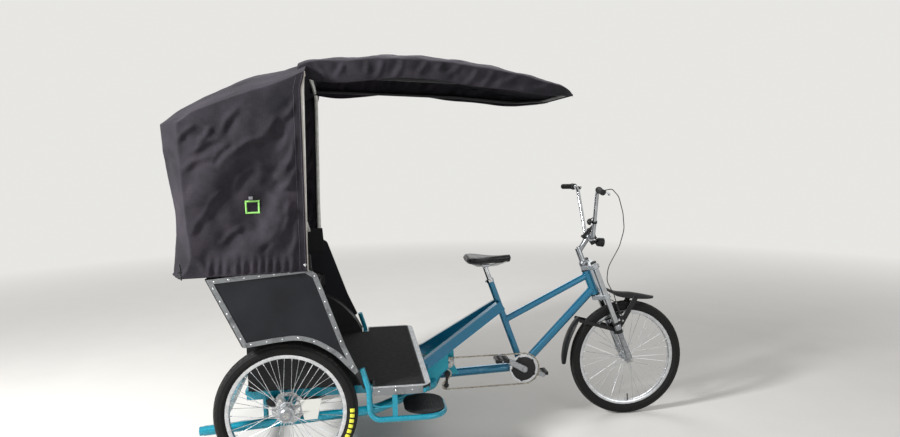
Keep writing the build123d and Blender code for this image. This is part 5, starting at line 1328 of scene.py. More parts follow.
CRANK_DEG = 150
CRANK_MM = 170
CRANK_Y = 66
RING_TEETH = 44
RING_PITCH_R = pitch_radius(RING_TEETH)
crank_dir = np.array([math.cos(math.radians(CRANK_DEG)), 0, math.sin(math.radians(CRANK_DEG))])
crank_centre = np.array([CRANK_AXIS[0], 0, CRANK_AXIS[1]])
cranks = Piece()
tooth_turn = 2 * np.pi * (np.arange(RING_TEETH)[:, None] + [0.0, 0.3, 0.5, 0.7]).ravel() / RING_TEETH
tooth_r = np.tile(
    [RING_PITCH_R - 10.5, RING_PITCH_R - 5.6, RING_PITCH_R - 5.1, RING_PITCH_R - 5.6], RING_TEETH
)
ring_centre = crank_centre + (0, FRONT_CHAIN_Y, 0)
flat_ring(cranks, ring_centre, tooth_turn, tooth_r, 2.4, RING_PITCH_R - 20, 4)
cranks.look = 1
disc_r = RING_PITCH_R - 19
disc = [
    (10, -3), (27, -3), (29, -1), (disc_r - 2, -1), (disc_r, -0.2), (disc_r, 1), (29, 1), (27, 3), (10, 3)
]
cranks.turned(disc, ring_centre, around=48, ring=True)
for arm in range(5):
    turn = math.radians(CRANK_DEG + 36 + 72 * arm)
    out, up = (math.cos(turn), 0, math.sin(turn)), (-math.sin(turn), 0, math.cos(turn))
    spider = [(22, -11), (40, -8), (62, -7), (RING_PITCH_R - 16, -9), (RING_PITCH_R - 14, 0)]
    spider += [(x, -y) for x, y in spider[-2::-1]]
    cranks.plate(spider, ring_centre, out, up, 4.4, 0.8)
    cranks.bolt(ring_centre + np.array(out) * (RING_PITCH_R - 22) + (0, -2.2, 0), (0, -1, 0), 4.5)
cranks.look = 2
for side in SIDES.values():
    root = crank_centre + (0, side * CRANK_Y, 0)
    arm_dir = -side * crank_dir
    taper = round_points(19, range(80, 281, 20)) + round_points(12.5, range(-85, 86, 17), (CRANK_MM, 0))
    cranks.plate(taper, root, arm_dir, np.cross(arm_dir, (0, -1, 0)), 13.4, 3)
    cranks.turned([(0, 0), (12, 0), (12, 2.5), (10, 4), (0, 4)], root + (0, side * 6.5, 0), (0, side, 0), 24)
    cranks.bolt(root + arm_dir * CRANK_MM + (0, side * 5.5, 0), (0, side, 0), 7)
    end = root + arm_dir * CRANK_MM
    cranks.tube([end + (0, side * 6, 0), end + (0, side * 112, 0)], 5, 12)
cranks.tube([crank_centre - (0, 66, 0), crank_centre + (0, 66, 0)], 11.5, 20)
looks = ["polished_aluminium", "black_powder_coat", "cast_aluminium"]
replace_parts(cranks.finish("crank_arms_and_ring", looks, "crankset", "black_metal", 34), "crankset")

# %% [markdown]
# The pedals are moulded platforms: two long edges, four ribs across, rows of short studs for grip and a
# reflector at each end. Each one turns on its own spindle, so each is a piece of its own.

# %% Pedals
for name, side in SIDES.items():
    pedal = Piece()
    middle = crank_centre - side * CRANK_MM * crank_dir + (0, side * (84 + 47.5), 0)
    for x in (-31, 31):
        out = math.copysign(7, x)
        edge = [(x - out, -44), (x + out, -40), (x + out, 40), (x - out, 44)]
        pedal.plate(edge, middle, (1, 0, 0), (0, 1, 0), 20, 1.5)
    for y in (-41, -14, 14, 41):
        pedal.plate(
            [(-26, y - 4), (26, y - 4), (26, y + 4), (-26, y + 4)], middle, (1, 0, 0), (0, 1, 0), 16, 1
        )
    for x in (-35, -27, 27, 35):
        for y in range(-36, 37, 12):
            for up in (-10, 10):
                pedal.tube([middle + (x, y, up * 0.8), middle + (x, y, up * 1.08)], [2, 1.2], 6)
    pedal.tube([middle - (0, 46, 0), middle + (0, 46, 0)], 9, 16)
    pedal.look = 1
    for x in (-38.5, 38.5):
        pedal.plate(
            [(-24, -4.5), (24, -4.5), (24, 4.5), (-24, 4.5)], middle + (x, 0, 0), (0, 1, 0), (0, 0, 1), 2.4,
            0.6
        )
    piece = pedal.finish(
        "platform_pedal_" + name, ["moulded_black_abs", "reflector"], "pedal_" + name, "black_plastic", 34
    )
    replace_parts(piece, "pedal_" + name)

# %% [markdown]
# The tensioner is a rear derailleur that only takes up slack: two toothed jockey wheels between cage
# plates, with the spring's cast housing beside the upper one. A jockey wheel and a sprocket differ only in
# size, so one function makes both.

# %% Tensioner
def toothed(piece, centre, teeth, root_gap, thickness, bore_r):
    """A sprocket whose teeth end just short of the chain's rollers."""
    pitch = pitch_radius(teeth)
    turn = 2 * np.pi * (np.arange(teeth)[:, None] + [0.0, 0.32, 0.5, 0.68]).ravel() / teeth
    radius = np.tile(
        [pitch - root_gap - 4.5, pitch - root_gap, pitch - root_gap + 0.4, pitch - root_gap], teeth
    )
    flat_ring(piece, centre, turn, radius, thickness, bore_r, thickness)


tensioner = Piece()
for x, z in PULLEYS:
    toothed(tensioner, (x, FRONT_CHAIN_Y, z), 11, 5.2, 2.4, 5)
    tensioner.turned([(0, -7), (4, -7), (6, -3), (6, 3), (4, 7), (0, 7)], (x, FRONT_CHAIN_Y, z), around=20)
    tensioner.bolt((x, FRONT_CHAIN_Y - 8, z), (0, -1, 0), 4)
(x0, z0), (x1, z1) = PULLEYS
lean = math.atan2(z1 - z0, x1 - x0)
span = math.hypot(x1 - x0, z1 - z0)
cage = round_points(10, range(80, 281, 25)) + [(span / 2, -6)]
cage += round_points(10, range(-80, 81, 20), (span, 0)) + [(span / 2, 6)]
for y in (-7, 7):
    tensioner.plate(cage, (x0, FRONT_CHAIN_Y + y, z0), (math.cos(lean), 0, math.sin(lean)),
                    (-math.sin(lean), 0, math.cos(lean)), 2, 0.4)
tensioner.look = 1
tensioner.turned(
    [(0, 0), (11, 0), (12, 2), (12, 14), (9, 18), (0, 18)], (x0, FRONT_CHAIN_Y + 8, z0), (0, 1, 0), 28
)
looks = ["black_powder_coat", "cast_aluminium"]
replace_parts(tensioner.finish("chain_tensioner", looks, "chassis", "black_metal", 34), "derailleur")

# %% [markdown]
# The jackshaft carries a small stack of steel sprockets between two nuts. At the axle sits a cast
# differential casing with a waist, a ring of bolts and a sprocket of its own. Turned profiles make the
# casing and the shaft.

# %% Sprockets and differential
CASING_BOLT_R = 40.5
stack = Piece()
for teeth, y in ((15, FRONT_CHAIN_Y), (17, FRONT_CHAIN_Y + 8), (19, FRONT_CHAIN_Y + 15), (13, REAR_CHAIN_Y)):
    toothed(stack, (JACK_AXIS[0], y, JACK_AXIS[1]), teeth, 5.0, 2.2, 9)
stack.tube(
    [(JACK_AXIS[0], FRONT_CHAIN_Y - 13, JACK_AXIS[1]), (JACK_AXIS[0], REAR_CHAIN_Y + 13, JACK_AXIS[1])],
    8.4, 20
)
for y, direction in ((FRONT_CHAIN_Y - 13, -1), (REAR_CHAIN_Y + 13, 1)):
    stack.bolt((JACK_AXIS[0], y, JACK_AXIS[1]), (0, direction, 0), 8)
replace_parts(stack.finish("jackshaft_sprockets", "zinc_plated_steel", "chassis", "steel", 34), "jackshaft")

casing = Piece()
half = [(13, 55), (26, 54), (28, 40), (38, 34), (41.5, 26), (41.5, 20), (39, 17), (39, 3), (41.8, 0)]
casing.turned([(r, -y) for r, y in half] + half[-2::-1], (0, 0, TYRE_R), around=48)
for step in range(8):
    turn = math.radians(45 * step + 20)
    aside, above = CASING_BOLT_R * math.cos(turn) * 0.86, CASING_BOLT_R * math.sin(turn) * 0.86
    casing.bolt((aside, -22, TYRE_R + above), (0, -1, 0), 3.5)
toothed(casing, (0, REAR_CHAIN_Y, TYRE_R), 28, 5.0, 3, 26)
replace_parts(casing.finish("differential_casing", "cast_aluminium", "chassis", "steel", 34), "differential")

# %% [markdown]
# Each rear wheel has a steel half shaft with a brake disc. The disc's edge is waved, which sheds water and
# dirt, and six slanting arms join it to its hub. A cap and a bolt close the shaft's outer end.

# %% Half shafts and discs
DISC_Y = TRACK_HALF - 62
DISC_R = 80
DISC_IN_R = 58
DISC_MM = 1.8
WAVE_MM = 2.2
WAVES = 8
for name, side in SIDES.items():
    shaft = Piece()
    ring_turn = 2 * np.pi * np.arange(96) / 96
    wave = DISC_R - WAVE_MM * (np.cos(WAVES * ring_turn) > 0.3)
    disc_centre = np.array([0, side * DISC_Y, TYRE_R])
    flat_ring(shaft, disc_centre, ring_turn, wave, DISC_MM, DISC_IN_R, DISC_MM)
    for arm in range(6):
        turn = math.radians(60 * arm)
        out, up = (math.cos(turn), 0, math.sin(turn)), (-math.sin(turn), 0, math.cos(turn))
        shaft.plate([(20, -9), (59, -2), (60, 8), (22, 9)], disc_centre, out, up, DISC_MM, 0.2)
    shaft.turned([(12, -2), (25, -2), (25, 2), (12, 2)], disc_centre, around=40, ring=True)
    shaft.look = 1
    shaft.tube([(0, side * 56, TYRE_R), (0, side * (TRACK_HALF + 47), TYRE_R)], 12.4, 24)
    hub_in = side * (TRACK_HALF - 47)
    shaft.turned(
        [(12.4, 0), (22, 0), (22.4, 2), (22.4, 16), (12.4, 20)], (0, hub_in, TYRE_R), (0, -side, 0), 32,
        ring=True
    )
    cap = [(0, 5), (15, 5), (18, 3.5), (19, 0), (0, 0)]
    shaft.turned(cap, (0, side * (TRACK_HALF + 46.8), TYRE_R), (0, side, 0), 32)
    shaft.bolt((0, side * (TRACK_HALF + 46), TYRE_R), (0, side, 0), 5)
    piece = shaft.finish(
        "half_shaft_and_disc_" + name, ["disc_steel", "zinc_plated_steel"], "rear_wheel_" + name, "steel",
        34
    )
    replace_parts(piece, "half_shaft_" + name)

# %% [markdown]
# A cast calliper sits over each disc, on a short tube from the frame: two halves with a round piston cover
# each, a bridge between them and two bolts. Plates with eased edges are enough for castings of this size.

# %% Callipers
CALLIPER_X = -74
CALLIPER_UP = 34
callipers = Piece()
for side in SIDES.values():
    middle = np.array([CALLIPER_X, side * DISC_Y, TYRE_R + CALLIPER_UP])
    for inner in (-1, 1):
        body = [(-19, -21), (14, -22), (20, -14), (20, 12), (12, 21), (-12, 21), (-19, 12)]
        callipers.plate(body, middle + (0, inner * 8.5, 0), (1, 0, 0), (0, 0, 1), 10.5, 2.2)
        callipers.turned(
            [(0, 0), (11, 0), (11, 1), (9, 2), (0, 2)], middle + (0, inner * 12.5, 0), (0, inner, 0), 24
        )
    callipers.plate([(-21, -6), (-12, -6), (-12, 21), (-21, 12)], middle, (1, 0, 0), (0, 0, 1), 27, 1.5)
    callipers.tube(
        [(-108, side * (TRACK_HALF - 116), TYRE_R + 20), (-90, side * (DISC_Y - 8), TYRE_R + 28)], 6.8, 14
    )
    for z in (-14, 14):
        callipers.bolt(middle + (-21, 0, z * 0.6), (-1, 0, 0), 4)
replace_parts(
    callipers.finish("disc_callipers", "black_powder_coat", "chassis", "black_metal", 34), "rear_brakes"
)

# %% [markdown]
# Steering parts lie along the head tube's axis, which leans back from the ground. One function turns a
# height along that axis into a place, and everything from the fork to the handlebar is laid out with it.

# %% Steering axis
HEAD_DEG = 69
STEER_UP = np.array([-math.cos(math.radians(HEAD_DEG)), 0, math.sin(math.radians(HEAD_DEG))])
STEER_AHEAD = np.array([math.sin(math.radians(HEAD_DEG)), 0, math.cos(math.radians(HEAD_DEG))])
OFFSET = 38
LEG_Y = 68
STEER_BASE = np.array([WHEELBASE, 0, TYRE_R]) - OFFSET * STEER_AHEAD


def fork_at(up, ahead=0.0, left=0.0):
    """A place by its height along the steering axis, its distance ahead of it and to the left."""
    return STEER_BASE + up * STEER_UP + ahead * STEER_AHEAD + np.array([0, left, 0])


print("steering axis meets the wheel's height at", [round(float(v), 1) for v in STEER_BASE])

# %% [markdown]
# The fork is a double-crown one: two machined crowns on a steerer, chrome stanchions, and silver lower legs
# with a black wiper seal on top. The legs are turned profiles, slim in the middle and thicker at both ends,
# with a dropout plate and a nut at the axle.

# %% Fork legs
LEG_PROFILE = [
    # radius, height along the leg
    (0, 8), (9, 8), (17, 14), (19, 22), (19, 44), (16.5, 62), (16.2, 150), (17, 176), (19.5, 196),
    (20.5, 214), (20.5, 229), (19, 232), (0, 232),
]
SEAL_PROFILE = [(17, 231), (22, 231), (22.6, 233), (22.6, 238), (21, 240), (19, 245), (17.2, 246)]
AXLE_NUT = [(0, 0), (13, 0), (13, 1.5), (11, 3), (9.5, 10), (7, 11), (0, 11)]
legs = Piece()
hub_centre = np.array([WHEELBASE, 0, TYRE_R])
for side in SIDES.values():
    legs.look = 0
    legs.turned(LEG_PROFILE, fork_at(0, OFFSET, side * LEG_Y), STEER_UP, 32)
    dropout = round_points(17, range(170, 371, 20)) + [(14, 36), (-14, 36)]
    legs.plate(dropout, fork_at(0, OFFSET, side * (LEG_Y - 7)), STEER_AHEAD, STEER_UP, 16, 3)
    for up in (70, 190):
        legs.turned(
            [(16, -2), (17.6, -1.4), (17.6, 1.4), (16, 2)], fork_at(up, OFFSET, side * LEG_Y), STEER_UP, 32
        )
    legs.look = 1
    legs.turned(SEAL_PROFILE, fork_at(0, OFFSET, side * LEG_Y), STEER_UP, 32, ring=True)
    legs.look = 2
    legs.turned(AXLE_NUT, hub_centre + (0, side * (LEG_Y + 1), 0), (0, side, 0), 20)
legs.look = 2
legs.tube([hub_centre - (0, LEG_Y + 16, 0), hub_centre + (0, LEG_Y + 16, 0)], 5.8, 14)
piece = legs.finish(
    "fork_legs", ["anodised_aluminium", "grip_rubber", "zinc_plated_steel"], "steering", "fork_silver"
)
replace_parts(piece, "fork_lower_legs")

# %% [markdown]
# Each crown is a forged plate whose outline wraps the steerer and both legs, with pinch bolts at the legs.
# Black headset cups close the gaps between crowns and head tube, and caps close the stanchions.

# %% Crowns and headset
CROWNS = [
    # height of the underside, thickness
    (397, 28), (587, 28),
]
CROWN_R = 25
HEADSET_CUP = [(16, 0), (26, 0), (27, 1.2), (27, 4.6), (25.5, 6), (16, 6)]
STANCHION_CAP = [(0, 0), (16, 0), (17.4, 1.5), (17.4, 7), (15, 9.5), (8, 10), (7, 8), (0, 8)]
crowns = Piece()
crown_outline = round_points(CROWN_R, range(118, 243, 12))
crown_outline += round_points(CROWN_R, range(241, 361, 12), (OFFSET, -LEG_Y))
crown_outline += round_points(CROWN_R, range(0, 120, 12), (OFFSET, LEG_Y))
for base, thick in CROWNS:
    crowns.look = 0
    crowns.plate(crown_outline, fork_at(base + thick / 2), STEER_AHEAD, (0, 1, 0), thick, 3.5)
    for side in SIDES.values():
        for up in (8, 20):
            crowns.look = 1
            crowns.bolt(
                fork_at(base + up, OFFSET + 20, side * (LEG_Y + 14)), STEER_AHEAD + (0, side * 0.5, 0), 3.6
            )
    crowns.look = 2
    gap_at = base + thick if base < 500 else base - 6
    crowns.turned(HEADSET_CUP, fork_at(gap_at), STEER_UP, 36)
crowns.look = 1
crowns.tube([fork_at(398), fork_at(618.5)], 14.9, 24)
looks = ["silver_enamel", "zinc_plated_steel", "black_powder_coat"]
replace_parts(crowns.finish("fork_crown_plates", looks, "steering", "fork_silver", 34), "fork_crowns")
caps = Piece()
for side in SIDES.values():
    caps.turned(STANCHION_CAP, fork_at(620, OFFSET, side * LEG_Y), STEER_UP, 32)
caps.finish("stanchion_caps", "black_powder_coat", "steering", "black_metal")

# %% [markdown]
# A quill stem of anodised aluminium carries the bar in a split clamp. Its stub is oval, so it is built as
# rings that change from round to oval along the way, and a black front cap holds the bar with four bolts.

# %% Stem
BAR_CLAMP = np.array([1691.1, 0, 1062.3])
stem = Piece()
collar = [
    (15.3, 0.3), (24, 0.3), (25, 2), (25, 17), (23, 21), (19, 24), (17, 28), (17, 104), (15.5, 109),
    (0, 110)
]
stem.turned([(0, 0.3)] + collar, fork_at(615), STEER_UP, 36)
root, tip = fork_at(703), BAR_CLAMP - 14 * STEER_AHEAD
share = np.linspace(0, 1, 13)[:, None]
stub_turn = np.radians(np.arange(0, 360, 15))
stub_middle = root + (tip - root) * share - np.array([0, 0, 3]) * np.sin(np.pi * share)
stub_out = (tip - root) / np.linalg.norm(tip - root)
stub_up = np.cross(stub_out, (0, 1, 0))
half_y, half_z = 16 + 5 * share ** 2, 18 - 2.5 * np.sin(np.pi * share)
stub_rings = stub_middle[:, None] + (
    (half_y * np.cos(stub_turn))[..., None] * np.array([0, 1, 0])
    + (half_z * np.sin(stub_turn))[..., None] * stub_up
)
stem.grid(stub_rings, closed_columns=True)
stem.turned(
    [(11.3, -30), (21, -30), (22.8, -28), (22.8, 28), (21, 30), (11.3, 30)], BAR_CLAMP, (0, 1, 0), 40,
    ring=True
)
stem.look = 1
cap = [(23, 24), (30, 22), (33, 12), (33, -12), (30, -22), (23, -24)]
stem.plate(cap, BAR_CLAMP, STEER_AHEAD, STEER_UP, 46, 2)
for side in SIDES.values():
    for up in (-17, 17):
        stem.bolt(BAR_CLAMP + STEER_AHEAD * 33 + STEER_UP * up + (0, side * 15, 0), STEER_AHEAD, 4.2)
stem.look = 2
stem.bolt(fork_at(725), STEER_UP, 7)
looks = ["anodised_aluminium", "black_powder_coat", "zinc_plated_steel"]
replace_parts(stem.finish("quill_stem", looks, "steering", "chrome", 36), "stem")

# %% [markdown]
# Grips are moulded rubber sleeves with finger ribs and a flange at the inner end. Brake levers are cast
# bodies clamped to the bar, with a forged two-finger blade that curves and ends in a ball. Each has a
# threaded adjuster, and the right one takes the end of the brake cable.

# %% Grips and levers
BAR_END = np.array([-48, 350, 277])
BAR_INNER = np.array([-14, 175, 285])
GRIP_MM = 125
CABLE_START = np.array([WHEELBASE - 206, -196, 1342])
rib_stations = np.arange(6, 112, 3.0)
grip_profile = [(0, -4), (12, -4), (15.6, -1.5), (16, 2)]
grip_profile += [(15.7 if number % 2 else 14.6, s) for number, s in enumerate(rib_stations)]
grip_profile += [(15.2, 114), (18.5, 117), (18.5, 121), (15.5, 124.5), (11.2, 125)]
grips, levers = Piece(), Piece()
for side in SIDES.values():
    mirror_y = np.array([1, side, 1])
    outer = BAR_CLAMP + BAR_END * mirror_y
    run = (BAR_INNER - BAR_END) * mirror_y
    run = run / np.linalg.norm(run)
    grips.turned(grip_profile, outer, run, 28)
    perch = outer + run * (GRIP_MM + 14)
    pivot = perch + (36, 0, -10)
    levers.look = 0
    levers.turned(
        [(11.3, -9), (16, -9), (17, -7.5), (17, 7.5), (16, 9), (11.3, 9)], perch, run, 28, ring=True
    )
    neck = [(0, 9), (14, 8), (30, 8.5), (43, 6), (45, 0), (43, -6), (30, -8.5), (14, -8), (0, -9)]
    levers.plate(neck, perch, (36, 0, -10), run, 15, 3)
    levers.tube([pivot + (0, 0, 9), pivot - (0, 0, 9)], 5, 14)
    levers.bolt(perch + (0, 0, -17), (0, 0, -1), 3.6)
    blade = pivot + np.linspace(0, 1, 15)[:, None] * (-run * 95 + (6, 0, -6))
    blade = blade + np.sin(np.linspace(0, 1, 15) * np.pi)[:, None] * np.array([5, 0, 0])
    levers.look = 1
    levers.tube(blade, [5.5, 6.8, 7, 6.6, 6.2, 6, 6, 6, 6, 6, 5.8, 5.6, 5.4, 5.4, 5], 12, flat=0.62)
    levers.turned([(0, -6.5), (4, -5.6), (6.4, -2), (6.4, 2), (4, 5.6), (0, 6.5)], blade[-1], run, 16)
    adjuster_end = CABLE_START * mirror_y * (1, -1, 1)
    screw_on = adjuster_end - pivot
    screw_end = np.linalg.norm(screw_on) + 2
    adjuster = [
        (0, -2), (4.6, -2), (4.6, 6), (5.6, 7), (5.6, 14), (3.4, 16), (3.4, screw_end), (0, screw_end)
    ]
    levers.look = 2
    levers.turned(adjuster, pivot, screw_on, 14)
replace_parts(grips.finish("grip_sleeves", "grip_rubber", "steering", "grip_rubber", 50), "grips")
looks = ["black_powder_coat", "cast_aluminium", "zinc_plated_steel"]
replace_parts(levers.finish("lever_bodies_and_blades", looks, "steering", "black_metal", 40), "brake_levers")

# %% [markdown]
# A round bell sits on the right upright of the bar: a clamp, a domed shell turned from one profile, and the
# bent arm of its striker.

# %% Bell
bell = Piece()
bell_on = BAR_CLAMP + np.array([-4.7, -101.4, 95.7])
upright = np.array([-14, -111, 285]) / math.hypot(14, 111, 285)
bell.turned(
    [(11.2, -7), (14.5, -7), (15.5, -5), (15.5, 5), (14.5, 7), (11.2, 7)], bell_on, upright, 24, ring=True
)
bell.turned(
    [(0, 12), (4, 12), (5, 20), (13, 21), (18.5, 24), (19, 28), (18, 33), (14, 39), (8, 43), (0, 44.5)],
    bell_on, (-1, 0, 0.1), 32
)
bell.tube([bell_on + (-22, 0, 18), bell_on + (-10, -4, 26), bell_on + (2, -6, 27)], [3, 2.4, 3.4], 10)
bell.finish("bell", "black_powder_coat", "steering", "black_metal")

# %% [markdown]
# The lamp is a moulded bowl with a bezel, a faceted reflector deep inside and a domed clear lens, on a
# bracket that hooks over the stem's clamp. Bowl, reflector and lens are turned about the lamp's own axis.
# Only 12 steps go round the reflector, so that its facets show.

# %% Lamp and its bracket
LAMP_AT = BAR_CLAMP + np.array([39, 0, -30])
LAMP_OUT = np.array([46, 0, -6]) / math.hypot(46, 6)
lamp = Piece()
bowl = [
    (0, 0), (9, 0), (17, 3), (23, 9), (25.4, 17), (25.4, 36), (26, 38), (26, 45), (24.6, 46.4), (22.5, 45)
]
bowl += [(22, 38), (18, 24), (10, 15), (0, 13)]
lamp.turned(bowl, LAMP_AT, LAMP_OUT, 40)
bracket = [(-34, 4), (-10, 9), (12, 8), (18, 0), (12, -8), (-10, -9), (-30, -10)]
lamp.plate(bracket, LAMP_AT + (0, 0, 2), (1, 0, 0.4), (-0.4, 0, 1), 16, 2)
lamp.tube([BAR_CLAMP + (4, 0, -24), BAR_CLAMP + (14, 0, -30), LAMP_AT + (8, 0, 0)], [8, 8.5, 9], 16)
lamp.bolt(LAMP_AT + (-6, -8, 2), (0, -1, 0), 4.5)
lamp.look = 1
lamp.turned(
    [(0, 17), (9, 18), (17, 26), (21.8, 38.5), (21.4, 38.5), (16, 27), (8, 19.4), (0, 18.4)], LAMP_AT,
    LAMP_OUT, 12
)
lamp.look = 2
lamp.turned(
    [(0, 47.5), (10, 46.8), (18, 44.6), (22.6, 41), (22.6, 39.6), (17, 42.4), (9, 44.6), (0, 45.2)],
    LAMP_AT, LAMP_OUT, 40
)
looks = ["moulded_black_abs", "chrome_plate", "lens"]
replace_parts(lamp.finish("lamp_and_bracket", looks, "steering", "lamp", 40), "headlight")

# %% [markdown]
# A short slanting tube above the bar's clamp holds small gear, as the photograph shows. It is a tube with
# three collars and a plate for its foot.

# %% Holder on the bar
holder = Piece()
holder_at = BAR_CLAMP + np.array([-6, -14, 40])
holder_up = np.array([0.72, 0, 0.7])
holder.tube([holder_at - holder_up * 52, holder_at + holder_up * 44], 9, 20)
for along_bar, size in ((-52, 11), (44, 11), (0, 13)):
    holder.turned(
        [(0, -6), (size, -6), (size + 1, -4), (size + 1, 4), (size, 6), (0, 6)],
        holder_at + holder_up * along_bar, holder_up, 24
    )
holder.plate(
    [(-9, -30), (9, -30), (12, 0), (7, 10), (-7, 10), (-12, 0)], holder_at, (0, 1, 0), (0.1, 0, 1), 12, 2
)
holder.finish("bar_clamp_holder", "black_powder_coat", "steering", "black_metal")

# %% [markdown]
# The rim brake has two cast arms on posts, each with a pad on a threaded stud. The top of each arm holds the
# cable. The arms are plates with a shaped outline, and the pads are bent to the rim's radius.

# %% Rim brake
ARM_OUTLINE = [
    # ahead, up from the pivot
    (-9, -12), (9, -12), (11, 0), (9, 18), (11, 36), (8, 56), (5.5, 90), (6, 118), (3, 124), (-4, 124),
    (-6.5, 118), (-6.5, 60), (-11, 34), (-10, 10), (-11, 0),
]
PAD_R = 275
brake = Piece()
for side in SIDES.values():
    pivot = fork_at(233, OFFSET + 44, side * 56)
    brake.look = 0
    brake.plate(ARM_OUTLINE, pivot, STEER_AHEAD, STEER_UP, 10, 1.8)
    brake.tube([fork_at(227, OFFSET + 14, side * 60), pivot - (0, side * 3, 0)], [7, 6.2], 14)
    brake.look = 1
    brake.bolt(pivot + (0, side * 5, 0), (0, side, 0), 6)
    brake.bolt(pivot + STEER_UP * 36 + (0, side * 5, 0), (0, side, 0), 5)
    brake.bolt(pivot + STEER_UP * 114 + (0, side * 5, 0), (0, side, 0), 4)
    brake.tube([pivot + STEER_UP * 36, pivot + STEER_UP * 36 - (0, side * 34, 0)], 3.4, 10)
    brake.look = 2
    pad_turn = math.degrees(math.atan2(*((pivot + STEER_UP * 36 - hub_centre)[[2, 0]])))
    pad_rows = []
    for turn in np.linspace(pad_turn - 6.4, pad_turn + 6.4, 9):
        end = 1 - 0.25 * (abs(turn - pad_turn) > 5.5)
        block = [
            (PAD_R - 6 * end, 18.5), (PAD_R + 6 * end, 18.5), (PAD_R + 5 * end, 28), (PAD_R - 5 * end, 28)
        ]
        t = math.radians(turn)
        pad_rows.append([hub_centre + (r * math.cos(t), side * y, r * math.sin(t)) for r, y in block])
    first = brake.count
    brake.grid(np.array(pad_rows), closed_columns=True)
    brake.faces += [
        [first, first + 1, first + 2, first + 3], [first + 32, first + 35, first + 34, first + 33]
    ]
    brake.looks += [2, 2]
looks = ["black_powder_coat", "zinc_plated_steel", "grip_rubber"]
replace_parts(brake.finish("rim_brake_arms", looks, "steering", "chrome", 36), "front_brake")

# %% [markdown]
# The front mudguard is two moulded blades: a duckbill over the tyre that turns up behind the crown, and a
# long curved one behind the wheel. Each blade is a net whose cross rows are arches, with an inner skin just
# under 3 mm below it.

# %% Mudguard blades
FRONT_BLADE = [
    # forward of the front axle, height of the ridge, half width, drop of the edges
    (-127, 763, 20, 5), (-105, 752, 33, 11), (-70, 739, 41, 20), (-30, 733, 43, 26), (20, 729, 43, 29),
    (70, 720, 42, 26), (115, 710, 39, 19), (145, 703, 33, 12), (160, 700, 25, 7), (166, 699, 14, 3),
]
REAR_BLADE = [
    # degrees round the front axle, radius of the ridge, half width, drop of the edges
    (139, 389, 22, 5), (142, 391, 34, 10), (148, 392, 41, 15), (160, 392, 43, 17), (172, 391, 42, 16),
    (179, 390, 38, 12), (182, 389, 31, 8), (183, 389, 20, 4),
]
SKIN_MM = 3


def blade_net(ridge, out, half_width, drop):
    """Rows of an arched blade along its ridge, outer skin and then inner skin."""
    over = np.linspace(-1, 1, 15)
    arch = 1 - np.abs(over) ** 2.6
    outer = ridge[:, None] - out[:, None] * (drop[:, None] * (1 - arch))[..., None]
    outer = outer + (half_width[:, None] * over)[..., None] * np.array([0, 1, 0])
    inner = outer - out[:, None] * SKIN_MM * 0.9 - over[:, None] * np.array([0, 0.6, 0])
    return np.concatenate([outer, inner[:, ::-1]], 1)


def close_ends(piece, net):
    """Faces over the first and the last row of a net that was just added with closed columns."""
    rows, columns = net.shape[:2]
    first = piece.count - rows * columns
    for row in (0, rows - 1):
        for k in range(columns // 2 - 1):
            low = first + row * columns
            piece.faces.append([low + k, low + k + 1, low + columns - 2 - k, low + columns - 1 - k])
            piece.looks.append(piece.look)


guard = Piece()
x = np.linspace(FRONT_BLADE[0][0], FRONT_BLADE[-1][0], 42)
ridge = np.stack([WHEELBASE + x, 0 * x, eased(FRONT_BLADE, 1, x)], -1)
slope = np.gradient(ridge[:, 2], ridge[:, 0])
out = np.stack([-slope, 0 * slope, 1 + 0 * slope], -1) / np.sqrt(1 + slope ** 2)[:, None]
net = blade_net(ridge, out, eased(FRONT_BLADE, 2, x), eased(FRONT_BLADE, 3, x))
guard.grid(net, closed_columns=True)
close_ends(guard, net)
degrees = np.linspace(REAR_BLADE[0][0], REAR_BLADE[-1][0], 42)
out = np.stack([np.cos(np.radians(degrees)), 0 * degrees, np.sin(np.radians(degrees))], -1)
ridge = hub_centre + out * eased(REAR_BLADE, 1, degrees)[:, None]
net = blade_net(ridge, out, eased(REAR_BLADE, 2, degrees), eased(REAR_BLADE, 3, degrees))
guard.grid(net, closed_columns=True)
close_ends(guard, net)
print("mudguard blades of", guard.count, "points")

# %% [markdown]
# Flat stays of black sheet steel hold both blades from a clamp on each leg. A stay is one plate that widens
# towards its bolt, laid along the line from the clamp to the blade.

# %% Mudguard stays
for side in SIDES.values():
    y = side * 44.5
    foot = fork_at(186, OFFSET, 0)
    for x, z, wide in ((-300, 582, 10), (48, 712, 15)):
        end = np.array([WHEELBASE + x, 0, z])
        run = end - foot
        length = np.linalg.norm(run)
        flat_stay = [
            (-14, -14), (length * 0.5, -wide), (length - 4, -wide), (length, 0), (length - 4, wide),
            (length * 0.5, wide), (-14, 14)
        ]
        guard.plate(flat_stay, (foot[0], y, foot[2]), run, np.cross(run, (0, -1, 0)), 3, 0.6)
        guard.bolt(end - run / length * 9 + (0, y + side * 1.5, 0), (0, side, 0), 4)
    clamp = [(-26, -13), (-22, 12), (0, 18), (24, 12), (26, -13), (0, -19)]
    guard.plate(clamp, fork_at(186, OFFSET, side * 47), STEER_AHEAD, STEER_UP, 8, 2)
    guard.turned(
        [(16.4, -10), (21.5, -10), (21.5, 10), (16.4, 10)], fork_at(188, OFFSET, side * LEG_Y), STEER_UP,
        32, ring=True
    )
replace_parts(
    guard.finish("mudguard_blades", "moulded_black_abs", "steering", "black_metal", 42), "front_fender"
)

# %% [markdown]
# Aluminium edging is held by pop rivets along its middle. The panel's outline is the CAD source's own
# table, its corners rounded in the same way, and one function finds places an even step apart along it.

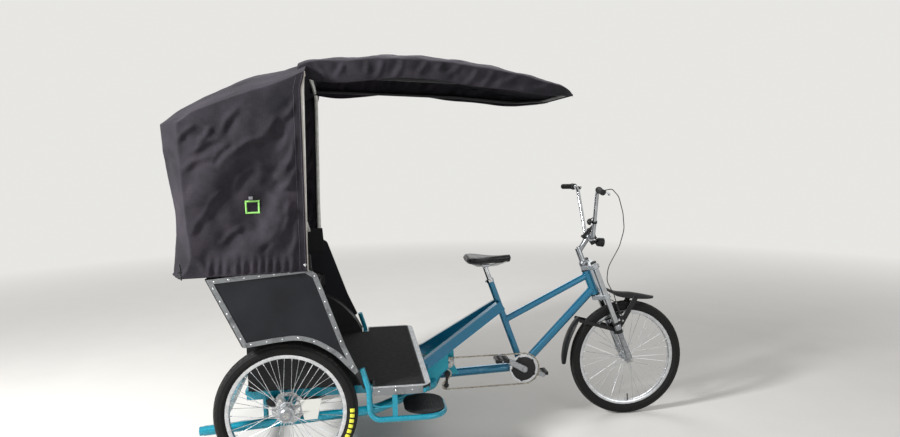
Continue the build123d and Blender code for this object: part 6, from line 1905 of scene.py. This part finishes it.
# %% Edging lines
PANEL_LINE = [(-327, 1006), (120, 1044), (168, 1012), (190, 950), (288, 668), (345, 540)]
PANEL_BENDS = [40, 30, 60, 5]
ARCH_LINE = [(-174, 681), (-33, 700), (60, 708), (140, 691), (240, 626), (330, 526)]
ARCH_BENDS = [200, 200, 250, 300]
PANEL_FACE_Y = 615.3
RIVET_STEP = 64
RIVET_INSET = 11


def rounded_line(points, bends):
    """A chain of straight runs whose corners are rounded to the given radii."""
    points = np.asarray(points, float)
    line = [points[:1]]
    for before, corner, after, bend_r in zip(points, points[1:], points[2:], bends):
        into = (corner - before) / math.dist(corner, before)
        onward = (after - corner) / math.dist(after, corner)
        cut = bend_r * math.tan(math.acos(min(1, into @ onward)) / 2)
        t = np.linspace(0, 1, 7)[:, None]
        line.append(
            (1 - t) ** 2 * (corner - into * cut) + 2 * t * (1 - t) * corner
            + t ** 2 * (corner + onward * cut)
        )
    return np.concatenate(line + [points[-1:]])


def stepped(line, step):
    """Places one step apart along a line, and its direction at each."""
    walked = np.concatenate([[0], np.linalg.norm(np.diff(line, axis=0), axis=1).cumsum()])
    count = int(walked[-1] / step)
    marks = (np.arange(count) + 0.5) * walked[-1] / count
    spots = np.stack([np.interp(marks, walked, line[:, i]) for i in range(line.shape[1])], -1)
    nearby = np.stack([np.interp(marks + 1, walked, line[:, i]) for i in range(line.shape[1])], -1)
    return spots, nearby - spots


print("rivets", RIVET_STEP, "mm apart")

# %% [markdown]
# A rivet is a low dome turned from four points. Rivets about 64 mm apart follow the panel's edging and its
# wheel arch, and more of them hold the floor's edging and the sides of the floor.

# %% Rivets
RIVET = [(4.4, 0), (4.1, 0.9), (2.6, 1.9), (0, 2.3)]
REAR_LINE = [(-182, 690), (-320, 990)]
FLOOR_FRONT_X = 694
FLOOR_SIDE_Y = 602
FLOOR_EDGE_Z = 431
FLOOR_TOP_Z = 448
rivets = Piece()
for line, turn in (
    (rounded_line(PANEL_LINE, PANEL_BENDS), 1), (rounded_line(ARCH_LINE, ARCH_BENDS), -1),
    (np.array(REAR_LINE, float), 1)
):
    spots, runs = stepped(line, RIVET_STEP)
    for (x, z), (run_x, run_z) in zip(spots, runs):
        for side in SIDES.values():
            place = (x + turn * run_z * RIVET_INSET, side * PANEL_FACE_Y, z - turn * run_x * RIVET_INSET)
            rivets.turned(RIVET, place, (0, side, 0), 12)
for y in np.linspace(-520, 520, 13):
    rivets.turned(RIVET, (FLOOR_FRONT_X, y, FLOOR_EDGE_Z), (1, 0, 0), 12)
    rivets.turned(RIVET, (FLOOR_FRONT_X - 15, y, FLOOR_TOP_Z), (0, 0, 1), 12)
for x in (440, 520, 600):
    for side in SIDES.values():
        rivets.turned(RIVET, (x, side * FLOOR_SIDE_Y, FLOOR_EDGE_Z), (0, side, 0), 12)
        rivets.turned(RIVET, (x, side * (FLOOR_SIDE_Y - 12), FLOOR_TOP_Z), (0, 0, 1), 12)
rivets.finish("edging_rivets", "bright_steel_screw", "chassis", "trim_alloy", 60)

# %% [markdown]
# The floor mat is rubber with low ribs 10 mm apart, and each step has a rubber tread with short raised bars
# that point both ways by turns, as on chequer plate. Many small equal things are built as one joined mesh.

# %% Mat ribs and tread bars
MAT_TOP = 449.3
MAT_HALF = 570
MAT_REAR_X = 146
MAT_WIDE_X = 422
MAT_FRONT_X = 660
WELL_SIDE_Y = 480
RIB_STEP = 10.0
ribs = Piece()
for y in np.arange(-MAT_HALF, MAT_HALF + 1, RIB_STEP):
    start = MAT_REAR_X if abs(y) < WELL_SIDE_Y else MAT_WIDE_X
    low, high = MAT_TOP - 0.3, MAT_TOP + 0.4
    path = [(start, y, low), (start + 3, y, high), (MAT_FRONT_X - 3, y, high), (MAT_FRONT_X, y, low)]
    ribs.tube(path, 2.6, 6, flat=0.55)
ribs.finish("mat_ribs", "deck_rubber", "chassis", "deck", 60)
TREAD_TOP = 310.3
STEP_X = 665
STEP_Y = 459
STEP_CORNER_R = 84
BAR_STEP = 16.0
bars = Piece()
for side in SIDES.values():
    for row, x in enumerate(np.arange(STEP_X - 80, STEP_X + 81, BAR_STEP)):
        for column, y in enumerate(np.arange(-120, 121, BAR_STEP)):
            corner_x, corner_y = max(abs(x - STEP_X) - 4, 0), max(abs(y) - 43, 0)
            if math.hypot(corner_x, corner_y) > STEP_CORNER_R:
                continue
            lean = 1 if (row + column) % 2 else -1
            reach = np.array([4.6, 4.6 * lean, 0])
            middle = np.array([x, side * STEP_Y + y, TREAD_TOP])
            bars.tube([middle - reach, middle, middle + reach], [1.2, 2.4, 1.2], 6, flat=0.6)
bars.finish("tread_bars", "deck_rubber", "chassis", "deck", 60)

# %% [markdown]
# Steel tubes are joined by a bead of weld metal that follows the line where one tube meets the other. For
# each place round the thinner tube, a quadratic equation says how far along it the thicker tube's wall
# lies. The bolt that closes the seat tube's collar belongs to the same piece.

# %% Weld beads
BRACKET = np.array([1284, 0, 321])
SEAT_DEG = 70.5
SEAT_UP = np.array([-math.cos(math.radians(SEAT_DEG)), 0, math.sin(math.radians(SEAT_DEG))])
TOP_JOIN = BRACKET + SEAT_UP * 295
WELDS = [
    # from far end, to the joint, tube radius, a point on the other tube's axis, its axis, its radius
    (TOP_JOIN, fork_at(551), 19, fork_at(500), STEER_UP, 25),
    (BRACKET, fork_at(465), 24, fork_at(500), STEER_UP, 25),
    (fork_at(551), TOP_JOIN, 19, TOP_JOIN, SEAT_UP, 19.5),
    (BRACKET + SEAT_UP * 200, BRACKET, 19, BRACKET, np.array([0, 1.0, 0]), 23),
    (fork_at(465), BRACKET, 22.8, BRACKET, np.array([0, 1.0, 0]), 23.2),
]
BEAD_MM = 2.6
BEAD_WAVE_MM = 0.5
beads = Piece()
for far_end, joint, tube_r, spot, axis, wall_r in WELDS:
    run = (joint - far_end) / np.linalg.norm(joint - far_end)
    arm = np.cross(run, (0, 1.0, 0))
    turn = np.linspace(0, 2 * np.pi, 73)[:-1, None]
    starts = far_end + (tube_r + 0.3) * (np.cos(turn) * arm + np.sin(turn) * np.array([0, 1.0, 0]))
    off_axis = (starts - spot) - ((starts - spot) @ axis)[:, None] * axis
    run_off = run - (run @ axis) * axis
    a, b, c = run_off @ run_off, off_axis @ run_off, (off_axis ** 2).sum(1) - (wall_r + 0.6) ** 2
    along_run = (-b - np.sqrt(np.maximum(b * b - a * c, 0))) / a
    bead_r = BEAD_MM + BEAD_WAVE_MM * np.sin(np.arange(72) * 2 * np.pi / 3)
    beads.tube(starts + run * along_run[:, None], bead_r, 8, closed=True)
beads.bolt(BRACKET + SEAT_UP * 544 - np.array([23, 0, 8]), (-1, 0, 0), 5)
beads.finish("weld_beads", "metallic_blue_enamel", "chassis", "frame_blue", 60)

# %% [markdown]
# The bows meet at black knuckle plates bolted inside the side panels. Behind the wheel's axle, a sheet-steel
# upright joins the rail and the low tube.

# %% Knuckles and uprights
knuckles = Piece()
for side in SIDES.values():
    plate = [(-62, -72), (62, -72), (52, 72), (-52, 72)]
    knuckles.plate(plate, (90, side * 596, 1030), (1, 0, 0), (0, 0, 1), 7.6, 1)
    for x, z in ((50, 985), (130, 985), (60, 1076), (120, 1076)):
        knuckles.bolt((x, side * 592.4, z), (0, -side, 0), 6)
knuckles.finish("bow_knuckles", "black_powder_coat", "chassis", "black_metal")

# The uprights take the light blue powder coat, which is partly painted sunlight.
uprights = Piece()
for side in SIDES.values():
    uprights.plate(
        [(-24, -64), (24, -64), (20, 56), (-20, 56)], (-130, side * 452, 474), (1, 0, 0), (0, 0, 1), 5, 1
    )
uprights.finish("sheet_uprights", "blue_powder_coat", "chassis", "frame_blue")

# %% [markdown]
# The hood's front edge is a double band of canvas with two rows of stitching and a pale binding along the
# edge. Threads 0.5 mm thick would not show, so they are drawn at 1.4 mm. The band is a strip of the hood's
# own net, lifted off the cloth.

# %% Bands and stitching
STITCH_MM = 1.4
for name, dark, light in (
    ("pale_binding_tape", "#7f7a74", "#a39d95"), ("grey_sewing_thread", "#4d4953", "#6c6771")
):
    material, tree, place = start_finish(name)
    weave = add_node(tree, "TexNoise", {"Scale": 300, "Detail": 3}, {"Vector": place})
    colour = add_node(tree, "Mix", {"data_type": "RGBA", "A": dark, "B": light}, {0: weave})
    relief = add_node(tree, "Bump", {"Distance": 0.0004, "Strength": 0.5}, {"Height": weave})
    surface = add_node(
        tree, "BsdfPrincipled", {"Roughness": 0.85, "Sheen Weight": 0.2},
        {"Base Color": colour, "Normal": relief}
    )
    add_node(tree, "OutputMaterial", {}, {"Surface": surface})
    finishes[name] = material

hood_bands = Piece()
for side, columns in ((-1, slice(0, 5)), (1, slice(-5, None))):
    strip = walls[:, columns]
    strip = strip if side < 0 else strip[:, ::-1]
    lift = np.array([0, side * 1.0, 0])
    thick = np.concatenate(
        [strip + lift * 0.2, strip[:, :1] + lift * 1.6, strip + lift * 2.0, strip[:, -1:] + lift * 0.2], 1
    )
    hood_bands.look = 0
    hood_bands.grid(thick[:, [0, 6, 7, 8, 9, 10]])
    hood_bands.look = 2
    for row in range(1, len(strip) - 2):
        for column in (1, 4):
            start, stop = strip[row, column] + lift * 2.4, strip[row + 1, column] + lift * 2.4
            hood_bands.tube([start, start + (stop - start) * 0.62], STITCH_MM / 2, 5)
    hood_bands.look = 1
    hood_bands.tube(strip[:, 0] + lift * 1.2 + (1.5, 0, 0), 3.6, 8)
looks = ["canvas", "pale_binding_tape", "grey_sewing_thread"]
hood_bands.finish("hood_front_bands", looks, "chassis", "canvas", 60)

# %% [markdown]
# Small fittings sit on the cloth: a tape frame, a patch, a snap and a toggle. How far out each of them lies
# comes from the nearest points of the hood's net. Straps hold the awning's hem to its hoop.

# %% Fittings and straps
right_cloth = walls[:, :side_steps + corner_steps].reshape(-1, 3)


def on_cloth(x, z, lift=1.0):
    """A place on the hood's right wall at a distance ahead of the axle and a height."""
    near = (right_cloth[:, 0] - x) ** 2 + (right_cloth[:, 2] - z) ** 2
    four = np.argsort(near)[:4]
    weight = 1 / (near[four] + 1)
    return np.array([x, (right_cloth[four, 1] * weight).sum() / weight.sum() - lift, z])


fittings = Piece()
for z in (1304, 1357):
    fittings.tube([on_cloth(x, z, 2) for x in np.linspace(-142, -79, 8)], 1.2, 8, flat=3.4)
for x in (-138, -83):
    fittings.tube([on_cloth(x, z, 2) for z in np.linspace(1304, 1357, 8)], 4, 8, flat=0.3)
fittings.look = 1
fittings.tube([on_cloth(x, 1371.5, 2) for x in (-124, -119, -112, -107)], 1.2, 8, flat=6)
fittings.look = 2
fittings.turned(
    [(7, 0), (6.6, 1.6), (5, 2.4), (4, 2.4), (3.4, 3.4), (0, 3.8)], on_cloth(117, 1059, 2), (0, -1, 0), 20
)
fittings.look = 3
tie = [on_cloth(x, z, 4) for x, z in ((-455, 1070), (-449, 1056), (-441, 1040), (-434, 1024), (-430, 1010))]
fittings.tube(tie, [3, 3.5, 3, 3.5, 3], 8)
fittings.tube([tie[2] + (-13, -3, 2), tie[2] + (0, -5, 0), tie[2] + (13, -3, -2)], [3.4, 4.6, 3.4], 10)
looks = ["lime_woven_tape", "grey_webbing", "bright_steel_screw", "moulded_black_abs"]
fittings.finish("hood_fittings", looks, "chassis", "canvas", 50)

straps = Piece()
far_hem = awning[:-3, -1]
for start, stop in ((1276, 1376), (1390, 1468), (1476, 1504)):
    run = far_hem[(far_hem[:, 0] > start) & (far_hem[:, 0] < stop)]
    straps.tube(run + (0, -3, -1), 6, 8, flat=0.35)
straps.finish("awning_straps", "grey_webbing", "chassis", "canvas", 50)

# %% [markdown]
# The bench has a loose seat cushion and a back cushion: foam in leatherette, piped along the edges and sewn
# through in channels. Foam pushes the skin out and the seams hold it in. A cloth solver gives that
# honestly: a block slightly smaller than the cushion is remeshed evenly and swollen by pressure, and no
# point may go further than its cap. Sewn channels and piping come after, because the remesh would lose
# them.

# %% Stuffing
VOXEL_MM = 8
PRESSURE = 4
STUFFING_FRAMES = 20


def applied_mesh(piece):
    """The mesh of an object with its modifiers applied."""
    return bpy.data.meshes.new_from_object(piece.evaluated_get(bpy.context.evaluated_depsgraph_get()))


def mesh_points(mesh):
    spots = np.empty(len(mesh.vertices) * 3)
    mesh.vertices.foreach_get("co", spots)
    return spots.reshape(-1, 3)


def swollen(name, corners, cap_mm):
    """A block remeshed evenly and swollen by pressure: the object, its points before and after in metres."""
    block = Piece()
    block.add(corners, [(0, 1, 2, 3), (7, 6, 5, 4), (0, 4, 5, 1), (1, 5, 6, 2), (2, 6, 7, 3), (3, 7, 4, 0)])
    piece = block.finish(name, "leatherette", "chassis", "seat_vinyl", 60)
    even = piece.modifiers.new("even mesh", "REMESH")
    even.mode, even.voxel_size, even.use_smooth_shade = "VOXEL", VOXEL_MM / 1000, True
    mesh = applied_mesh(piece)
    piece.modifiers.clear()
    piece.data = mesh
    before = mesh_points(mesh)
    after = before.copy()
    cloth = piece.modifiers.new("stuffing", "CLOTH")
    cloth.settings.use_pressure = True
    cloth.settings.uniform_pressure_force = PRESSURE
    cloth.settings.effector_weights.gravity = 0
    cloth.point_cache.frame_start, cloth.point_cache.frame_end = 1, STUFFING_FRAMES
    for frame_number in range(1, STUFFING_FRAMES + 1):
        bpy.context.scene.frame_set(frame_number)
    after = mesh_points(applied_mesh(piece))
    piece.modifiers.clear()
    bpy.context.scene.frame_set(1)
    moved = after - before
    length = np.linalg.norm(moved, axis=1, keepdims=True)
    after = before + moved * np.minimum(1, cap_mm / 1000 / np.maximum(length, 1e-9))
    print(name, "swelled by up to", round(1000 * float(length.max()), 1), "mm, capped at", cap_mm)
    return piece, before, after


def carried(line, before, after):
    """A seam line moved with the skin around it."""
    moved = []
    for spot in np.asarray(line, float) / 1000 + (REAR_AXLE_X, 0, 0):
        near = np.argsort(((before - spot) ** 2).sum(1))[:10]
        moved.append(spot + (after[near] - before[near]).mean(0))
    return (np.array(moved) - (REAR_AXLE_X, 0, 0)) * 1000


print("stuffing of", STUFFING_FRAMES, "frames, voxels of", VOXEL_MM, "mm")

# %% [markdown]
# Both cushions start as boxes set in from the bench's own planes. After the swelling, the sewn channels are
# pressed into the side that faces the passenger, with short creases across them. The back and the underside
# stay flat against the bench. Piping follows the box's edges, carried along with the swollen skin.

# %% Cushions
CHANNEL_DEPTH = 9
CHANNEL_WIDTH = 8
CROWN_WIDTH = 60
PIPING_R = 4.2
CUSHIONS = [
    # name, node, places of the channels, cap of the swelling
    ("seat_pad", "seat_cushion", (-197, 197), 24),
    ("back_pad", "back_cushion", (-393, -197, 0, 197, 393), 22),
]
LEAN_UP = np.array([-0.4259, 0, 0.9048])
LEAN_OUT = np.array([0.9048, 0, 0.4259])
seat_box = [(-112, 737), (152, 737), (150, 803), (-140, 803)]
back_base = np.array([-197, 0, 732.0])
back_box = [back_base + LEAN_UP * up + LEAN_OUT * out for up, out in ((14, 8), (14, 70), (400, 70), (400, 8))]
blocks = {
    "seat_pad": [(x, side * 578, z) for side in (-1, 1) for x, z in seat_box],
    "back_pad": [(x, side * 578, z) for side in (-1, 1) for x, y, z in back_box],
}
for name, node, channel_places, cap_mm in CUSHIONS:
    piece, before, after = swollen(name, blocks[name], cap_mm)
    mesh = piece.data
    normals = np.array([vertex.normal for vertex in mesh.vertices])
    face_up = np.clip(normals @ (LEAN_OUT if name == "back_pad" else np.array([0.3, 0, 0.95])), 0, 1) ** 0.5
    y = before[:, 1] * 1000
    pull = sum(np.exp(-((y - place_y) / CHANNEL_WIDTH) ** 2) for place_y in channel_places)
    crown = sum(np.exp(-((y - place_y) / CROWN_WIDTH) ** 2) for place_y in channel_places)
    creasing = np.array([noise.noise(Vector(spot) * 22) for spot in before])
    inward = CHANNEL_DEPTH * pull + 2.4 * crown + 1.2 * creasing * crown
    after = after - normals * (inward * face_up)[:, None] / 1000
    if name == "seat_pad":
        after[:, 2] = np.maximum(after[:, 2], 0.7308)
        after[:, 0] = np.minimum(after[:, 0], REAR_AXLE_X + 0.164)
    else:
        behind = (after - back_base / 1000 - (REAR_AXLE_X, 0, 0)) @ LEAN_OUT
        after = after + np.maximum(0.0012 - behind, 0)[:, None] * LEAN_OUT
    after[:, 1] = np.clip(after[:, 1], -0.594, 0.594)
    mesh.vertices.foreach_set("co", after.ravel())
    mesh.update()
    smoother = piece.modifiers.new("one subdivision", "SUBSURF")
    smoother.levels = smoother.render_levels = 1
    piece.data = applied_mesh(piece)
    piece.modifiers.clear()
    piece.data.materials.clear()
    piece.data.materials.append(finishes["leatherette"])
    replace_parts(piece, node)
    piping = Piece()
    corners = np.array(blocks[name], float)
    for edges in ((0, 1, 2, 3), (4, 5, 6, 7)):
        loop = [
            corners[a] + (corners[b] - corners[a]) * s
            for a, b in zip(edges, edges[1:] + edges[:1]) for s in np.linspace(0, 1, 20)[:-1]
        ]
        piping.tube(carried(loop, before, after), PIPING_R, 8, closed=True)
    for a, b in ((2, 6), (1, 5)):
        run = corners[a] + (corners[b] - corners[a]) * np.linspace(0, 1, 90)[:, None]
        piping.tube(carried(run, before, after), PIPING_R, 8)
    piping.finish(name + "_piping", "leatherette", "chassis", "seat_vinyl", 60)

# %% [markdown]
# The rider's saddle is padded vinyl over a shell: broad and crowned at the back, slim at the nose, with a
# shallow channel along the middle. Its sections are read from a table of stations and rounded as
# superellipses.

# %% Saddle
CHANNEL_MM = 5
SADDLE_X = 1075.4
SADDLE_FORM = [
    # forward of the clamp, half width, top, bottom
    (-113, 70, 972, 948), (-105, 92, 980, 940), (-85, 103, 985, 934), (-60, 105, 984, 932),
    (-30, 92, 981, 931), (0, 66, 978, 931), (30, 42, 976, 931), (60, 29, 975, 931),
    (100, 22, 975, 932), (130, 18, 976, 935), (145, 12, 973, 942), (148.5, 5, 966, 950),
]
saddle = Piece()
x = np.concatenate(
    [[-113.5], np.linspace(-113, -95, 8), np.linspace(-90, 135, 46), np.linspace(138, 148.5, 8)]
)
half_w, top_z, low_z = (eased(SADDLE_FORM, column, x)[:, None] for column in (1, 2, 3))
turn = np.radians(np.arange(0, 360, 9))[None]
across = np.sign(np.cos(turn)) * np.abs(np.cos(turn)) ** 0.8
height = np.sign(np.sin(turn)) * np.abs(np.sin(turn)) ** 0.85
middle_z, half_h = (top_z + low_z) / 2, (top_z - low_z) / 2
section_y = half_w * across * (1 - 0.16 * np.clip(-height, 0, 1))
section_z = middle_z + half_h * height
channel = np.exp(-(section_y / 9) ** 2) * np.clip(height, 0, 1) * edge_fade(x, -95, 90, 40)[:, None]
section_z = section_z - CHANNEL_MM * channel
pad_rows = np.stack([np.broadcast_to(SADDLE_X + x[:, None], section_y.shape), section_y, section_z], -1)
saddle.grid(pad_rows, closed_columns=True)
first = saddle.count - pad_rows.shape[0] * pad_rows.shape[1]
saddle.faces += [
    list(range(first, first + pad_rows.shape[1])),
    list(range(saddle.count - pad_rows.shape[1], saddle.count))[::-1]
]
saddle.looks += [0, 0]
saddle_piece = saddle.finish("saddle_pad", "leatherette", "chassis", "seat_vinyl", 60)
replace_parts(saddle_piece, "saddle")

# %% [markdown]
# Under the saddle run two steel rails held in a two-bolt clamp, and a seam follows each side of the pad
# where the vinyl meets the shell. The rails are one bent tube for each side.

# %% Saddle rails and clamp
rails = Piece()
for side in SIDES.values():
    rail = [
        (138, 4, 946), (118, 14, 938), (60, 22, 922), (0, 23, 920), (-50, 23, 921), (-80, 30, 936),
        (-92, 36, 946)
    ]
    rails.tube([(SADDLE_X + a, side * b, c) for a, b, c in rail], 3.5, 10)
seam = [(SADDLE_X + a, b * 0.99, c) for a, b, c in zip(x[1:-1], half_w[1:-1, 0], middle_z[1:-1, 0])]
rails.look = 1
rails.tube(seam, 2.2, 8)
rails.tube([(a, -b, c) for a, b, c in seam], 2.2, 8)
rails.look = 2
rails.plate([(-19, -27), (19, -27), (19, 27), (-19, 27)], (SADDLE_X, 0, 920), (1, 0, 0), (0, 1, 0), 15, 3)
rails.tube([(SADDLE_X, 0, 910.3), (SADDLE_X, 0, 918)], 15.5, 24)
for along_x in (-13, 13):
    rails.bolt((SADDLE_X + along_x, 0, 912.5), (0, 0, -1), 4.5)
looks = ["zinc_plated_steel", "grip_rubber", "cast_aluminium"]
rails.finish("saddle_rails_and_clamp", looks, "chassis", "steel", 40)
